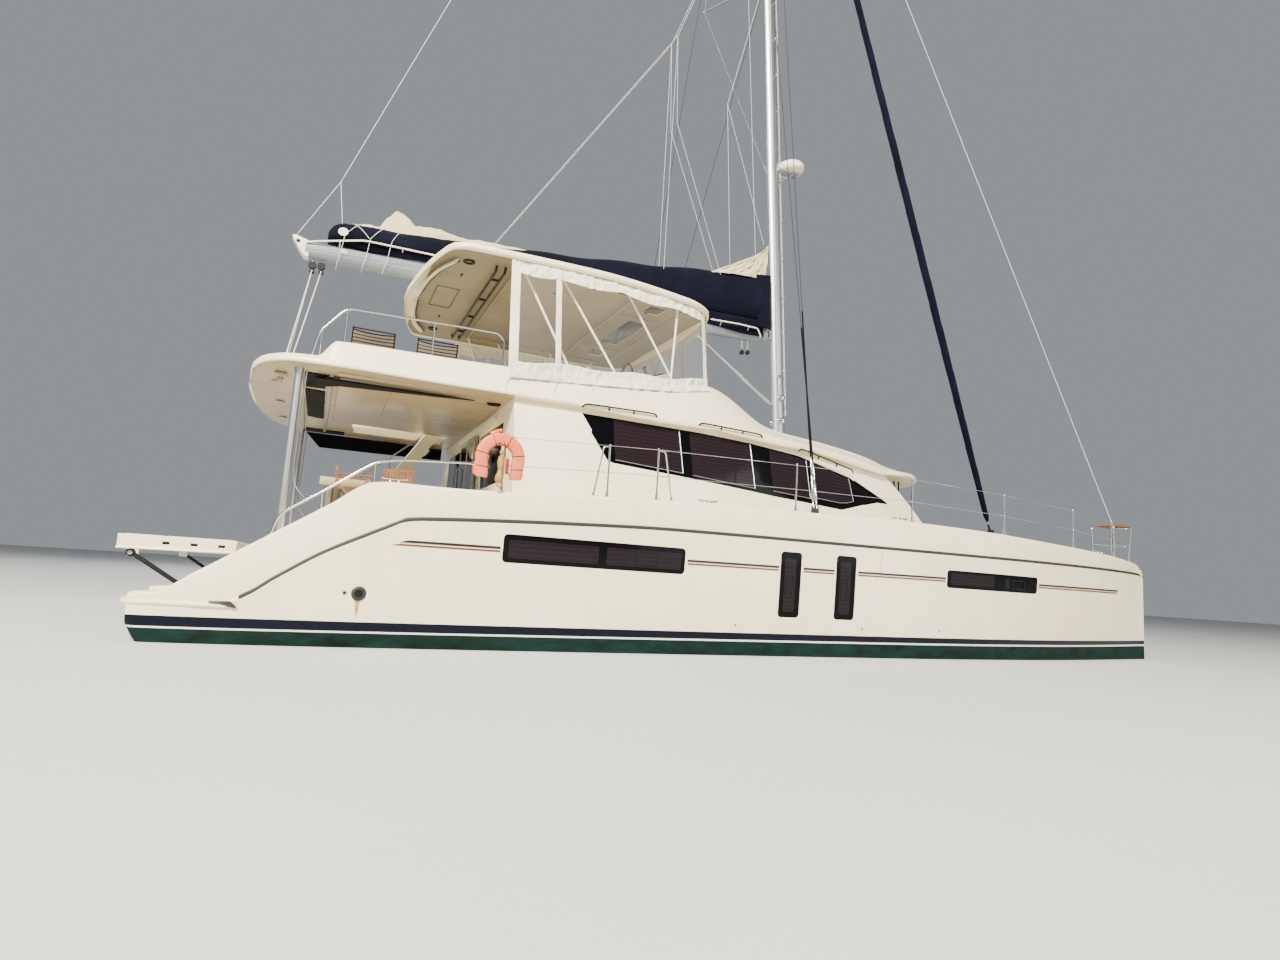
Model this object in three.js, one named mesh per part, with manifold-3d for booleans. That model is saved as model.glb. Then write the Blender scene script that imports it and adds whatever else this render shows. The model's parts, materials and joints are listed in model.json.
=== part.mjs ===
// A cruising sailing catamaran with a flybridge, in millimetres, +X to the bows, +Y to port, +Z up.
// The origin is on the centreline in the waterline plane. The starboard side is -Y.
import * as THREE from 'three';
import { mergeVertices } from 'three/addons/utils/BufferGeometryUtils.js';
import Module from 'manifold-3d';

const wasm = await Module();
wasm.setup();

// Driving dimensions. Stations are distances forward of the sterns.
const ORIGIN_STATION = 8750;
const HULL_CENTRE = 3200;
const GAP = 0.3;
const SEAT = 0.4;               // sideways gap of a wall cut to its neighbour
const FUSE = 0.02;              // corners of a cut closer than this become one
const SOLE = 1550;              // cockpit and saloon sole
const WING_UNDERSIDE = 820;     // underside of the bridgedeck
const FLY_SOLE = 3575;          // flybridge sole
const MAST_FOOT = [10735, 3900];  // station and height of the mast's heel
const RAKE = THREE.MathUtils.degToRad(4);
const MAST_LENGTH = 24300;
const HOUNDS = 19300;           // above the heel, along the mast
const LOWER_HOUNDS = 10900;
const SPREADER = 10700;
const GOOSENECK = 2430;
const GOOSENECK_BACK = 185;     // hinge line behind the mast's centre
const BOOM_LENGTH = 9120;
const BOOM_LIFT = THREE.MathUtils.degToRad(2.2);  // boom above square to the mast
const TACK = [16990, 2330];     // station and height of the headsail's tack
const BEAM_STATION = 16950;

const station = (s) => s - ORIGIN_STATION;

// Materials: colour, roughness, metalness.
const MATERIALS = {
  gelcoat: [0xf1efe6, 0.3, 0],
  antifouling: [0x1d4a45, 0.8, 0],
  navy_cloth: [0x141a33, 0.9, 0],
  aluminium: [0xb9bdc0, 0.4, 1],
  stainless: [0xc8ccd0, 0.2, 1],
  dark_glass: [0x1a1620, 0.1, 0],
  bronze: [0x9a7540, 0.4, 1],
  white_cloth: [0xe9e7df, 0.8, 0],
  teak: [0xa8794c, 0.7, 0],
  black_net: [0x24262a, 0.9, 0],
  salmon: [0xe0866a, 0.7, 0],
  grey_cushion: [0xb9b4a9, 0.9, 0],
  black_plastic: [0x17181b, 0.5, 0],
};

// Geometry helpers.
const merged = (geometry) => {
  const bare = geometry.index ? geometry.toNonIndexed() : geometry.clone();
  bare.deleteAttribute('normal');
  bare.deleteAttribute('uv');
  return mergeVertices(bare, 1e-4);
};

const solid = (geometry) => {
  const closed = merged(geometry);
  return new wasm.Manifold(new wasm.Mesh({
    numProp: 3,
    vertProperties: new Float32Array(closed.attributes.position.array),
    triVerts: new Uint32Array(closed.index.array),
  }));
};

const geometryOf = (manifold) => {
  const { vertProperties, triVerts } = manifold.getMesh();
  const geometry = new THREE.BufferGeometry();
  geometry.setAttribute('position', new THREE.BufferAttribute(new Float32Array(vertProperties), 3));
  geometry.setIndex(new THREE.BufferAttribute(new Uint32Array(triVerts), 1));
  geometry.computeVertexNormals();
  return geometry;
};

const join = (...parts) => parts.reduce((all, one) => all.add(one));
const cut = (body, ...tools) => tools.reduce((left, tool) => left.subtract(tool), body);
const moved = (body, x, y, z) => body.translate([x, y, z]);
const mirrored = (body) => body.mirror([0, 1, 0]);

// A block between two stations, two sides and two heights.
const block = (s0, s1, y0, y1, z0, z1) => solid(new THREE.BoxGeometry(s1 - s0, y1 - y0, z1 - z0)
  .translate(station((s0 + s1) / 2), (y0 + y1) / 2, (z0 + z1) / 2));

// A closed skin over rings of equal count, each end closed by a fan to the ring's middle.
const loft = (rings) => {
  const count = rings[0].length;
  const positions = rings.flat().flatMap((p) => [...p]);
  const triangles = [];
  const middle = (ring) => ring.reduce((sum, p) => sum.map((v, k) => v + p[k] / count), [0, 0, 0])
    .map((v) => Math.round(v * 1000) / 1000);
  rings.slice(1).forEach((_, r) => {
    for (let k = 0; k < count; k += 1) {
      const a = r * count + k;
      const b = r * count + (k + 1) % count;
      triangles.push(a, b, b + count, a, b + count, a + count);
    }
  });
  [[0, 1], [rings.length - 1, 0]].forEach(([r, flip]) => {
    const hub = positions.length / 3;
    positions.push(...middle(rings[r]));
    for (let k = 0; k < count; k += 1) {
      const a = r * count + k;
      const b = r * count + (k + 1) % count;
      triangles.push(...(flip ? [b, a, hub] : [a, b, hub]));
    }
  });
  const geometry = new THREE.BufferGeometry();
  geometry.setAttribute('position', new THREE.Float32BufferAttribute(positions, 3));
  geometry.setIndex(triangles);
  const body = solid(geometry);
  return body.volume() < 0 ? solid(flipped(geometry)) : body;
};

const flipped = (geometry) => {
  const index = [...geometry.index.array];
  for (let k = 0; k < index.length; k += 3) [index[k], index[k + 1]] = [index[k + 1], index[k]];
  const turned = geometry.clone();
  turned.setIndex(index);
  return turned;
};

// Rings across the boat from half sections: each row gives (half breadth, height) pairs, centreline to centreline.
const acrossRings = (rows) => rows.map(([s, half]) => [
  ...half.map(([y, z]) => [station(s), -y, z]),
  ...half.slice(1, -1).reverse().map(([y, z]) => [station(s), y, z]),
]);

// A round bar between two points given as (station, y, z).
const rod = (from, to, radius, sides = 8, endRadius = radius) => {
  const a = new THREE.Vector3(station(from[0]), from[1], from[2]);
  const b = new THREE.Vector3(station(to[0]), to[1], to[2]);
  const along = b.clone().sub(a);
  const turn = new THREE.Quaternion().setFromUnitVectors(new THREE.Vector3(0, 1, 0), along.clone().normalize());
  const bar = new THREE.CylinderGeometry(endRadius, radius, along.length(), sides);
  return solid(bar.applyQuaternion(turn).translate(...a.add(b).multiplyScalar(0.5).toArray()));
};

// A bent tube through points given as (station, y, z), with a ring square to the bend at each point.
const pipe = (points, radius, sides = 6) => {
  const path = points.map(([s, y, z]) => new THREE.Vector3(station(s), y, z));
  const legs = path.slice(1).map((p, k) => p.clone().sub(path[k]).normalize());
  let side = new THREE.Vector3(0.3, 0.5, 0.81);
  return loft(path.map((p, k) => {
    const tangent = (legs[k - 1] ?? legs[0]).clone().add(legs[k] ?? legs.at(-1)).normalize();
    side = side.projectOnPlane(tangent).normalize();
    const up = tangent.clone().cross(side);
    return Array.from({ length: sides }, (_, j) => {
      const turn = (j * 2 * Math.PI) / sides;
      return p.clone().addScaledVector(side, radius * Math.cos(turn))
        .addScaledVector(up, radius * Math.sin(turn)).toArray();
    });
  }));
};

// The starboard half of a body and its mirror image, so that both sides have the same faces.
const bothSides = (body) => {
  const half = body.intersect(block(-2000, 20000, -6000, 0, -3000, 40000));
  return half.add(mirrored(half));
};

// A body moved a little each way along some axes, to cut a gap round it.
const grown = (body, ...ways) => join(...ways.flatMap(([x, y, z]) => [1, -1].map((way) => moved(body,
  way * x, way * y, way * z))));

// An outline in the (station, z) plane, pushed across from y0 to y1.
const sidePlate = (outline, y0, y1) => {
  const shape = new THREE.Shape(outline.map(([s, z]) => new THREE.Vector2(station(s), z)));
  return solid(new THREE.ExtrudeGeometry(shape, { depth: y1 - y0, bevelEnabled: false })
    .rotateX(Math.PI / 2).translate(0, y1, 0));
};

// An outline in the (station, y) plane, raised from z0 to z1.
const deckPlate = (outline, z0, z1) => {
  const shape = new THREE.Shape(outline.map(([s, y]) => new THREE.Vector2(station(s), y)));
  return solid(new THREE.ExtrudeGeometry(shape, { depth: z1 - z0, bevelEnabled: false }).translate(0, 0, z0));
};

const boat = new THREE.Group();
const add = (name, body, material, parent = boat) => {
  const [colour, roughness, metalness] = MATERIALS[material];
  const mesh = new THREE.Mesh(geometryOf(body.simplify(FUSE)), new THREE.MeshStandardMaterial({ color: colour, roughness, metalness }));
  mesh.name = name;
  parent.add(mesh);
  return mesh;
};

// A node on each side: the starboard body is given, the port one is its mirror image.
const addPair = (name, starboard, material, parent = boat) => {
  add(`${name}_starboard`, starboard, material, parent);
  add(`${name}_port`, mirrored(starboard), material, parent);
};

// Value at a station, read from a table whose first column is the station.
const readAt = (table, s, column) => {
  const last = table.length - 1;
  const next = Math.min(Math.max(table.findIndex((row) => row[0] >= s), 1), last);
  const index = s > table[last][0] ? last : next;
  const [low, high] = [table[index - 1], table[index]];
  const share = THREE.MathUtils.clamp((s - low[0]) / (high[0] - low[0]), 0, 1);
  return THREE.MathUtils.lerp(low[column], high[column], share);
};

// Hulls: station, half breadth at the deck, half breadth afloat, heights of the deck edge, knuckle and bottom.
const HULL_ROWS = [
  [200, 715, 655, 505, 395, 130],
  [330, 745, 690, 516, 398, -60],
  [460, 765, 715, 532, 402, -120],
  [730, 800, 750, 712, 410, -190],
  [1200, 860, 790, 1028, 490, -270],
  [1590, 900, 815, 1291, 757, -340],
  [2020, 940, 835, 1582, 1044, -410],
  [2460, 974, 848, 1878, 1274, -472],
  [2700, 983, 853, 1902, 1396, -502],
  [2870, 989, 857, 1901, 1478, -522],
  [3200, 1000, 865, 1900, 1508, -560],
  [4810, 1000, 880, 1970, 1594, -680],
  [6300, 1000, 880, 2035, 1643, -735],
  [8670, 1000, 870, 2090, 1658, -760],
  [10500, 1000, 850, 2118, 1664, -755],
  [12000, 975, 790, 2100, 1670, -735],
  [13000, 915, 715, 2070, 1675, -710],
  [14000, 811, 610, 2035, 1680, -675],
  [15000, 654, 470, 2005, 1684, -620],
  [16000, 439, 300, 1970, 1686, -545],
  [16800, 224, 150, 1925, 1686, -470],
  [17250, 90, 60, 1885, 1680, -390],
  [17500, 28, 22, 1735, 1640, -300],
];
const [DECK_HALF, DECK_EDGE] = [1, 3];
const deckEdge = (s) => readAt(HULL_ROWS, s, DECK_EDGE);
const deckHalf = (s) => readAt(HULL_ROWS, s, DECK_HALF);
const KNUCKLE_STEP = 18;

const hullRing = (row) => {
  const [s, half, water, edge, knuckle, bottom] = row;
  const afloat = Math.max(0, bottom + 60);
  const inner = half - 4;
  const points = [
    [0, bottom],
    [-0.55 * water, bottom + 0.15 * (afloat - bottom)],
    [-0.9 * water, bottom + 0.5 * (afloat - bottom)],
    [-water, afloat],
    [-(0.45 * water + 0.55 * half), afloat + 0.3 * (knuckle - afloat)],
    [-half, knuckle - 20],
    [-(half - KNUCKLE_STEP), knuckle + 20],
    [-(half - 6), edge - 45],
    [-(half - 45), edge],
    [0, edge + 12],
    [inner, edge + 24],
    [inner, knuckle],
    [0.45 * water + 0.55 * half, afloat + 0.3 * (knuckle - afloat)],
    [water, afloat],
    [0.9 * water, bottom + 0.5 * (afloat - bottom)],
    [0.55 * water, bottom + 0.15 * (afloat - bottom)],
  ];
  return points.map(([y, z]) => [station(s), y - HULL_CENTRE, z]);
};
const wholeHull = loft(HULL_ROWS.map(hullRing));

// Stern steps: start station and tread height, each running forward under the next.
const STEP_OUTER = -3650;
const STEP_INNER = -2750;
const STEP_ROWS = [[100, 450], [1000, 725], [1330, 1000], [1660, 1275], [1990, SOLE]];
const COCKPIT_FORE = 4250;
const STERN_JOINT = 4600;       // joint between the stern moulding and the rest of a hull
const stepWells = STEP_ROWS.map(([s, tread], k) => {
  const end = k + 1 < STEP_ROWS.length ? STEP_ROWS[k + 1][0] : COCKPIT_FORE;
  return block(s, end + 1, STEP_OUTER, STEP_INNER, tread, 3000);
});
const cockpitWing = block(2020, COCKPIT_FORE, STEP_INNER - 1, -2000, SOLE, 3000);

// Hull windows: aft and forward station, sill and head, cut as shallow rebates in the outer side.
const HULL_WINDOWS = [
  [4010, 6510, 1060, 1415],
  [8030, 8400, 550, 1490],
  [9010, 9390, 550, 1500],
  [11200, 13410, 1130, 1420],
];
const REBATE = 22;
const windowRebates = HULL_WINDOWS.map(([s0, s1, z0, z1]) => {
  const faces = [s0, s1].map((s) => {
    const out = HULL_CENTRE + deckHalf(s);
    const lean = (z) => out - 0.05 * Math.max(0, 1600 - z) * 0.5;
    return [[station(s), -lean(z0) + REBATE, z0], [station(s), -lean(z1) + REBATE, z1],
      [station(s), -out - 300, z1], [station(s), -out - 300, z0]];
  });
  return loft(faces);
});

// Rudder boss and drive leg pad under the hull.
const RUDDER = [1560, -HULL_CENTRE];
const rudderBoss = rod([RUDDER[0], RUDDER[1], -440], [RUDDER[0], RUDDER[1], -200], 95, 16);

// Pivot block of the lifting platform's arm, on the hull's inner side.
const ARM_PIVOT = [900, 240];
const ARM_Y = 2215;
const ARM_BOSS = 30;            // half length of the arm's bosses along their pins
const armBlock = block(ARM_PIVOT[0] - 90, ARM_PIVOT[0] + 90, -2600, -(ARM_Y + ARM_BOSS + GAP), ARM_PIVOT[1] - 80,
  ARM_PIVOT[1] + 80);

// Fixed keels under the hulls: station of the leading and trailing edge at the root and tip.
const KEEL_ROWS = [[-600, 6050, 9250, 135], [-1100, 6250, 9050, 110], [-1430, 6420, 8750, 70]];
const keelRing = ([z, aft, fore, half]) => {
  const chord = fore - aft;
  return [[0, 0], [0.35, 0.7], [0.65, 1], [0.88, 0.75], [1, 0], [0.88, -0.75], [0.65, -1], [0.35, -0.7]]
    .map(([share, side]) => [station(aft + share * chord), side * half - HULL_CENTRE, z]);
};
const keel = loft(KEEL_ROWS.map(keelRing));

// Rudders: blade from table of height, leading edge and trailing edge ahead and behind the stock.
const RUDDER_ROWS = [[-470, 130, 430, 46], [-900, 120, 380, 34], [-1290, 95, 290, 18]];
const rudderRing = ([z, ahead, behind, half]) => [[-behind, 0], [-0.5 * behind, 0.6], [0, 1], [0.7 * ahead, 0.8],
  [ahead, 0], [0.7 * ahead, -0.8], [0, -1], [-0.5 * behind, -0.6]]
  .map(([along, side]) => [station(RUDDER[0] + along), side * half + RUDDER[1], z]);
const rudderStock = rod([RUDDER[0], RUDDER[1], -600], [RUDDER[0], RUDDER[1], -440 - GAP], 38, 12);
addPair('rudder', join(loft(RUDDER_ROWS.map(rudderRing)), rudderStock), 'antifouling');

// Drive legs and propellers.
const DRIVE = [3650, -HULL_CENTRE, -1010];
const driveLeg = join(
  loft([[-400, 150, 60], [-900, 120, 45], [-1010, 110, 40]].map(([z, reach, half]) => [[-1, 0], [-0.4, 0.8],
    [0.3, 1], [1, 0], [0.3, -1], [-0.4, -0.8]]
    .map(([along, side]) => [station(DRIVE[0] + along * reach), side * half + DRIVE[1], z]))),
  rod([DRIVE[0] - 170, DRIVE[1], DRIVE[2]], [DRIVE[0] + 210, DRIVE[1], DRIVE[2]], 72, 14, 30),
);

const PROPELLER_RADIUS = 250;
const HUB_AFT = DRIVE[0] - 170 - 150;
const propeller = (sense) => {
  const blade = (turn) => solid(new THREE.CylinderGeometry(95, 45, PROPELLER_RADIUS - 45, 10).scale(1, 1, 0.12)
    .translate(0, (PROPELLER_RADIUS + 45) / 2, 0).rotateY(sense * 0.9).rotateX(turn)
    .translate(station(HUB_AFT + 75), DRIVE[1], DRIVE[2]));
  const thirds = [0, 1, 2].map((k) => blade((k * 2 * Math.PI) / 3));
  return join(rod([HUB_AFT, DRIVE[1], DRIVE[2]], [DRIVE[0] - 170 - GAP, DRIVE[1], DRIVE[2]], 38, 14, 66), ...thirds);
};
addPair('propeller', propeller(1), 'bronze');

const hull = cut(
  join(wholeHull, keel, driveLeg, rudderBoss, armBlock),
  ...stepWells,
  cockpitWing,
  ...windowRebates,
);
addPair('hull', cut(hull, block(-500, STERN_JOINT, -4400, -2000, -2000, 3000)), 'gelcoat');
addPair('stern', cut(hull, block(STERN_JOINT - GAP, 18000, -4400, -2000, -2000, 3000)), 'gelcoat');
const hullBeside = join(moved(wholeHull, 0, GAP, 0), moved(wholeHull, 0, GAP, GAP));
const hullsBeside = join(hullBeside, mirrored(hullBeside));
const bothHulls = join(hull, mirrored(hull));
const hullsBelow = join(moved(bothHulls, 0, 0, GAP), grown(bothHulls, [0, SEAT, 0]));

// Bridgedeck between the hulls: station, underside and top at the hull's edge.
const WING_AFT = 1500;
const WING_FORE = 14000;
const CABIN_AFT = 4300;
const CABIN_FORE = 11600;
const WING_ROWS = [
  [WING_AFT, 1060],
  [1750, WING_UNDERSIDE],
  [4810, WING_UNDERSIDE],
  [8670, WING_UNDERSIDE],
  [10500, 840],
  [12000, 930],
  [13000, 1120],
  [WING_FORE, 1500],
];
const wingHalf = 2450;
const wingRows = WING_ROWS.map(([s, under]) => {
  const edge = deckEdge(s) + 24;
  const seam = HULL_CENTRE - deckHalf(s) + 8;
  return [s, [[0, under], [wingHalf, under + 25], [wingHalf, edge - 30], [seam, edge], [1200, edge + 28],
    [0, edge + 34]]];
});
const FORE_WELL = [CABIN_FORE - 10, 13300, 1150];
// Foredeck lockers: aft and forward station, outer and inner side of the starboard one.
const LID = [13520, 13960, -2050, -1350];
const lidBase = deckEdge(LID[0]) + 24 + 34;
const lockerCoaming = block(LID[0] - 20, LID[1] + 20, LID[2] - 20, LID[3] + 20, 1900, lidBase);
const bridgedeck = bothSides(cut(
  join(loft(acrossRings(wingRows)), lockerCoaming, mirrored(lockerCoaming)),
  block(WING_AFT - 10, CABIN_FORE, -3000, 3000, SOLE, 2600),
  block(FORE_WELL[0], FORE_WELL[1], -FORE_WELL[2], FORE_WELL[2], SOLE, 2600),
  hullsBeside,
));
add('bridgedeck', bridgedeck, 'gelcoat');
const deckBelow = join(moved(bridgedeck, 0, 0, GAP), grown(bridgedeck, [GAP, 0, 0], [0, SEAT, 0]));

// Roof moulding: overhang, flybridge coaming, coachroof and visor in one piece.
// Station, underside and its half breadth, rim half breadth and height, coaming half breadth and height, middle height.
const ROOF_ROWS = [
  [760, 3495, 520, 580, 3510, 520, 3612, 3614],
  [880, 3475, 1750, 1840, 3508, 1780, 3612, 3614],
  [1080, 3462, 2330, 2430, 3502, 2360, 3612, 3614],
  [1400, 3452, 2620, 2740, 3490, 2650, 3612, 3614],
  [1690, 3448, 2690, 2815, 3482, 2715, 3614, 3616],
  [1910, 3446, 2730, 2855, 3477, 2750, 3838, 3838],
  [2200, 3444, 2750, 2880, 3473, 2762, 3848, 3848],
  [3200, 3430, 2800, 2930, 3450, 2790, 3856, 3856],
  [4300, 3410, 2900, 3010, 3430, 2790, 3885, 3885],
  [5500, 3400, 2970, 3060, 3415, 2730, 3965, 3965],
  [7000, 3390, 2910, 3000, 3400, 2520, 4125, 4125],
  [7760, 3380, 2860, 2950, 3390, 2280, 4270, 4270],
  [8000, 3380, 2840, 2930, 3385, 2220, 4235, 4290],
  [9350, 3350, 2660, 2750, 3350, 1800, 3830, 3960],
  [10600, 3300, 2450, 2540, 3290, 1700, 3740, 3870],
  [11600, 3265, 2220, 2310, 3200, 1600, 3640, 3760],
  [12500, 3265, 1890, 1960, 3275, 1500, 3450, 3560],
  [13070, 3270, 1470, 1540, 3290, 1250, 3365, 3430],
  [13420, 3275, 950, 1010, 3295, 800, 3330, 3370],
  [13560, 3280, 420, 470, 3297, 350, 3315, 3335],
];
const [ROOF_UNDER, , , , COAMING_HALF, COAMING_TOP] = [1, 2, 3, 4, 5, 6];
const roofRows = ROOF_ROWS.map(([s, under, underHalf, rimHalf, rim, half, top, middle]) => [s, [
  [0, under],
  [underHalf, under],
  [rimHalf, rim],
  [rimHalf - 25, rim + 75],
  [half, top - 25],
  [half - 30, top],
  [half - 150, top + 4],
  [0, middle + 5],
]]);
const roofOuter = bothSides(loft(acrossRings(roofRows)));
const FLY_WELL_AFT = 1250;
const FLY_WELL_FORE = 7560;
const flyWell = loft(acrossRings([FLY_WELL_AFT, 2000, 3200, 4300, 5500, 7000, FLY_WELL_FORE].map((s) => {
  const half = readAt(ROOF_ROWS, s, COAMING_HALF) - 160;
  return [s, [[0, FLY_SOLE], [half - 40, FLY_SOLE], [half, 4900], [0, 4900]]];
})));
// Stairwell from the cockpit to the flybridge, to port.
const STAIRWELL = [2350, 4050, 1250, 2150];
const stairHole = block(STAIRWELL[0], STAIRWELL[1], STAIRWELL[2], STAIRWELL[3], 3200, 5000);
// Recess of the saloon's ceiling under the coachroof.
const ceilingRecess = block(8300, 11300, -1450, 1450, 3100, 3600);
const roof = cut(roofOuter, bothSides(flyWell), stairHole, ceilingRecess);
add('roof', roof, 'gelcoat');
const roofAbove = moved(roof, 0, 0, -GAP);

// Cabin: sides and front wall. Station, half breadth at the deck, half breadth under the roof.
const CABIN_ROWS = [
  [CABIN_AFT, 3220, 2880],
  [5500, 3210, 2945],
  [7300, 3120, 2870],
  [8300, 3020, 2780],
  [9350, 2870, 2640],
  [10600, 2640, 2430],
  [CABIN_FORE, 2400, 2195],
  [12400, 2170, 2010],
  [13100, 1950, 1860],
];
const WALL = 70;
const cabinSkin = (inset, rows = CABIN_ROWS, foot = 1500) => loft(acrossRings(rows.map(([s, base, top]) => [s, [
  [0, foot],
  [base - inset, foot],
  [base - inset, 2060],
  [base - inset - 45, 2550],
  [top - inset, readAt(ROOF_ROWS, s, ROOF_UNDER) + 12],
  [0, readAt(ROOF_ROWS, s, ROOF_UNDER) + 12],
]])));
const insideRows = CABIN_ROWS.filter(([s]) => s <= CABIN_FORE);
const widened = (rows, aft, fore) => rows.map(([s, ...rest], k) => [
  s + (k === 0 ? aft : 0) + (k === rows.length - 1 ? fore : 0), ...rest]);
const saloonSpace = cabinSkin(WALL, widened(insideRows, -50, -WALL), 1400);
const foreRows = CABIN_ROWS.filter(([s]) => s >= CABIN_FORE);
const foreSpace = cabinSkin(90, widened(foreRows, 0, 60), 1400);
// Saloon side window: station and height round its edge.
const SIDE_WINDOW = [[5300, 3325], [7300, 3315], [8260, 3290], [9350, 3225], [10590, 3000], [11440, 2700],
  [11300, 2640], [10300, 2380], [8700, 2440], [7240, 2530], [5790, 2615], [5700, 2660]];
const windowThrough = sidePlate(SIDE_WINDOW, -3600, 3600);
// Front wall: door and two windows, as side, side, sill and head.
const DOOR = [-340, 340, SOLE + 30, 3130];
const FRONT_WINDOWS = [[-1750, -560, 2300, 3080], [560, 1750, 2300, 3080]];
const slopeTop = sidePlate([[CABIN_FORE + 20, 3600], [CABIN_FORE + 20, 3200], [13060, 2180], [13300, 2100],
  [13300, 3600]], -2600, 2600);
const cabinWalls = bothSides(cut(
  cabinSkin(0),
  saloonSpace,
  foreSpace,
  windowThrough,
  block(CABIN_FORE - 200, CABIN_FORE + 100, DOOR[0], DOOR[1], DOOR[2], DOOR[3]),
  ...FRONT_WINDOWS.flatMap(([y0, y1, z0, z1]) => [
    block(CABIN_FORE - 200, CABIN_FORE - 37, y0, y1, z0, z1),
    block(CABIN_FORE - 25, CABIN_FORE + 100, y0, y1, z0, z1),
  ]),
  slopeTop,
  block(CABIN_FORE, 13400, -3000, 3000, 1000, 1960),
  hullsBelow,
  deckBelow,
  roofAbove,
));
// Hinge of the front door: its pin line stands off the wall, between two fixed knuckles.
const FRONT_HINGE = [CABIN_FORE + 14, DOOR[0] - 14];
const HINGE_SPAN = [2150, 2450];
const KNUCKLE = 9;
const doorKnuckles = [[HINGE_SPAN[0] - 30, HINGE_SPAN[0] - GAP], [HINGE_SPAN[1] + GAP, HINGE_SPAN[1] + 30]]
  .map(([z0, z1]) => join(
    rod([...FRONT_HINGE, z0], [...FRONT_HINGE, z1], KNUCKLE, 10),
    block(CABIN_FORE - 5, FRONT_HINGE[0], FRONT_HINGE[1] - KNUCKLE, FRONT_HINGE[1] + 2, z0, z1),
  ));
add('cabin_walls', join(cabinWalls, ...doorKnuckles), 'gelcoat');

// Saloon side glass, one wrap pane to a side, following the leaning wall.
const paneSkin = cut(cabinSkin(20), cabinSkin(34));
const sideGlass = cut(
  paneSkin.intersect(sidePlate(SIDE_WINDOW, -3600, -1200)),
  grown(cabinWalls, [GAP, 0, 0], [0, 0, GAP]),
);
addPair('saloon_glass', sideGlass, 'dark_glass');

// Front door, hinged at its starboard edge and opening into the forward cockpit.
const frontDoor = join(
  block(CABIN_FORE - 55, CABIN_FORE - 5, DOOR[0] + 8, DOOR[1] - 8, DOOR[2] + 6, DOOR[3] - 8),
  rod([...FRONT_HINGE, HINGE_SPAN[0]], [...FRONT_HINGE, HINGE_SPAN[1]], KNUCKLE, 10),
  block(CABIN_FORE - 6, CABIN_FORE + 20, DOOR[0] + 8, DOOR[0] + 30, ...HINGE_SPAN),
  block(CABIN_FORE + 8, CABIN_FORE + 20, FRONT_HINGE[1], DOOR[0] + 30, ...HINGE_SPAN),
);
add('front_door', frontDoor, 'gelcoat');

// Aft bulkhead with its fixed window frames, door track and sill.
const SLIDE = [-610, 610, SOLE + 60, 3180];
const TRACK = 3200;
const AFT_WINDOWS = [[-2350, -760, 2250, 3150], [760, 2350, 2250, 3150]];
const bulkhead = cut(
  join(
    cabinSkin(WALL - 10, [[CABIN_AFT, 3220, 2880], [CABIN_AFT + 60, 3220, 2880]], SOLE + GAP),
    block(CABIN_AFT - 95, CABIN_AFT + 30, -640 - 1290, 640, TRACK, TRACK + 60),
  ),
  block(CABIN_AFT - 200, CABIN_AFT + 200, SLIDE[0], SLIDE[1], SLIDE[2], SLIDE[3]),
  ...AFT_WINDOWS.flatMap(([y0, y1, z0, z1]) => [
    block(CABIN_AFT - 200, CABIN_AFT + 24, y0, y1, z0, z1),
    block(CABIN_AFT + 36, CABIN_AFT + 200, y0, y1, z0, z1),
  ]),
  hullsBelow,
  deckBelow,
  roofAbove,
  grown(cabinWalls, [0, SEAT, 0]),
);
add('aft_bulkhead', bulkhead, 'gelcoat');
const DOOR_RUN = [CABIN_AFT - 75, CABIN_AFT - 25];
add('saloon_door', block(DOOR_RUN[0], DOOR_RUN[1], -650, 650, SOLE + 12, TRACK - 0.5), 'dark_glass');

// Posts that carry the flybridge overhang.
const POST = [1490, -2560];
const post = cut(
  join(
    rod([POST[0], POST[1], 900], [POST[0], POST[1], 3500], 48, 12),
    rod([POST[0], POST[1], 3380], [POST[0], POST[1], 3500], 75, 12),
  ),
  hullsBelow,
  roofAbove,
);
addPair('overhang_post', post, 'stainless');

// Stairs from the cockpit to the flybridge: treads between two strings.
const STAIR_Y = [1330, 2070];
const stairs = join(
  ...[STAIR_Y[0], STAIR_Y[1] - 30].map((y) => sidePlate([[2420, SOLE + GAP], [2760, SOLE + GAP], [3990, 3575],
    [3747, 3575]], y, y + 30)),
  ...[0, 1, 2, 3, 4, 5, 6].map((k) => block(2560 + k * 185, 2830 + k * 185, STAIR_Y[0] + 5, STAIR_Y[1] - 5,
    1790 + k * 265, 1825 + k * 265)),
);
add('flybridge_stairs', stairs, 'gelcoat');

// Hardtop over the flybridge: station, half breadth, rim underside, middle top.
const HARDTOP_ROWS = [
  [2930, 300, 5590, 5690],
  [3030, 1150, 5600, 5750],
  [3200, 2000, 5612, 5790],
  [3340, 2380, 5622, 5812],
  [3560, 2470, 5636, 5840],
  [5500, 2500, 5660, 5880],
  [7250, 2340, 5610, 5860],
  [7760, 2100, 5580, 5830],
  [8000, 1500, 5560, 5790],
  [8090, 620, 5555, 5740],
];
const RIM = 110;
const RIM_EDGE = 40;            // lowest edge of the rim, in from the side
const RIM_LIP = 95;             // inner edge of the rim, in from the side
const RIM_RISE = 20;            // inner edge over the lowest one
const hardtop = bothSides(loft(acrossRings(HARDTOP_ROWS.map(([s, half, rim, top]) => [s, [
  [0, Math.min(rim + 90, top - 45)],
  [half * 0.55, Math.min(rim + 75, top - 50)],
  [half - RIM_LIP, rim + RIM_RISE],
  [half - RIM_EDGE, rim],
  [half, rim + 40],
  [half - 25, Math.min(rim + RIM, top - 15)],
  [half * 0.6, top - 10],
  [0, top],
]]))));
add('hardtop', hardtop, 'gelcoat');
const hardtopAbove = moved(hardtop, 0, 0, -GAP);

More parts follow.
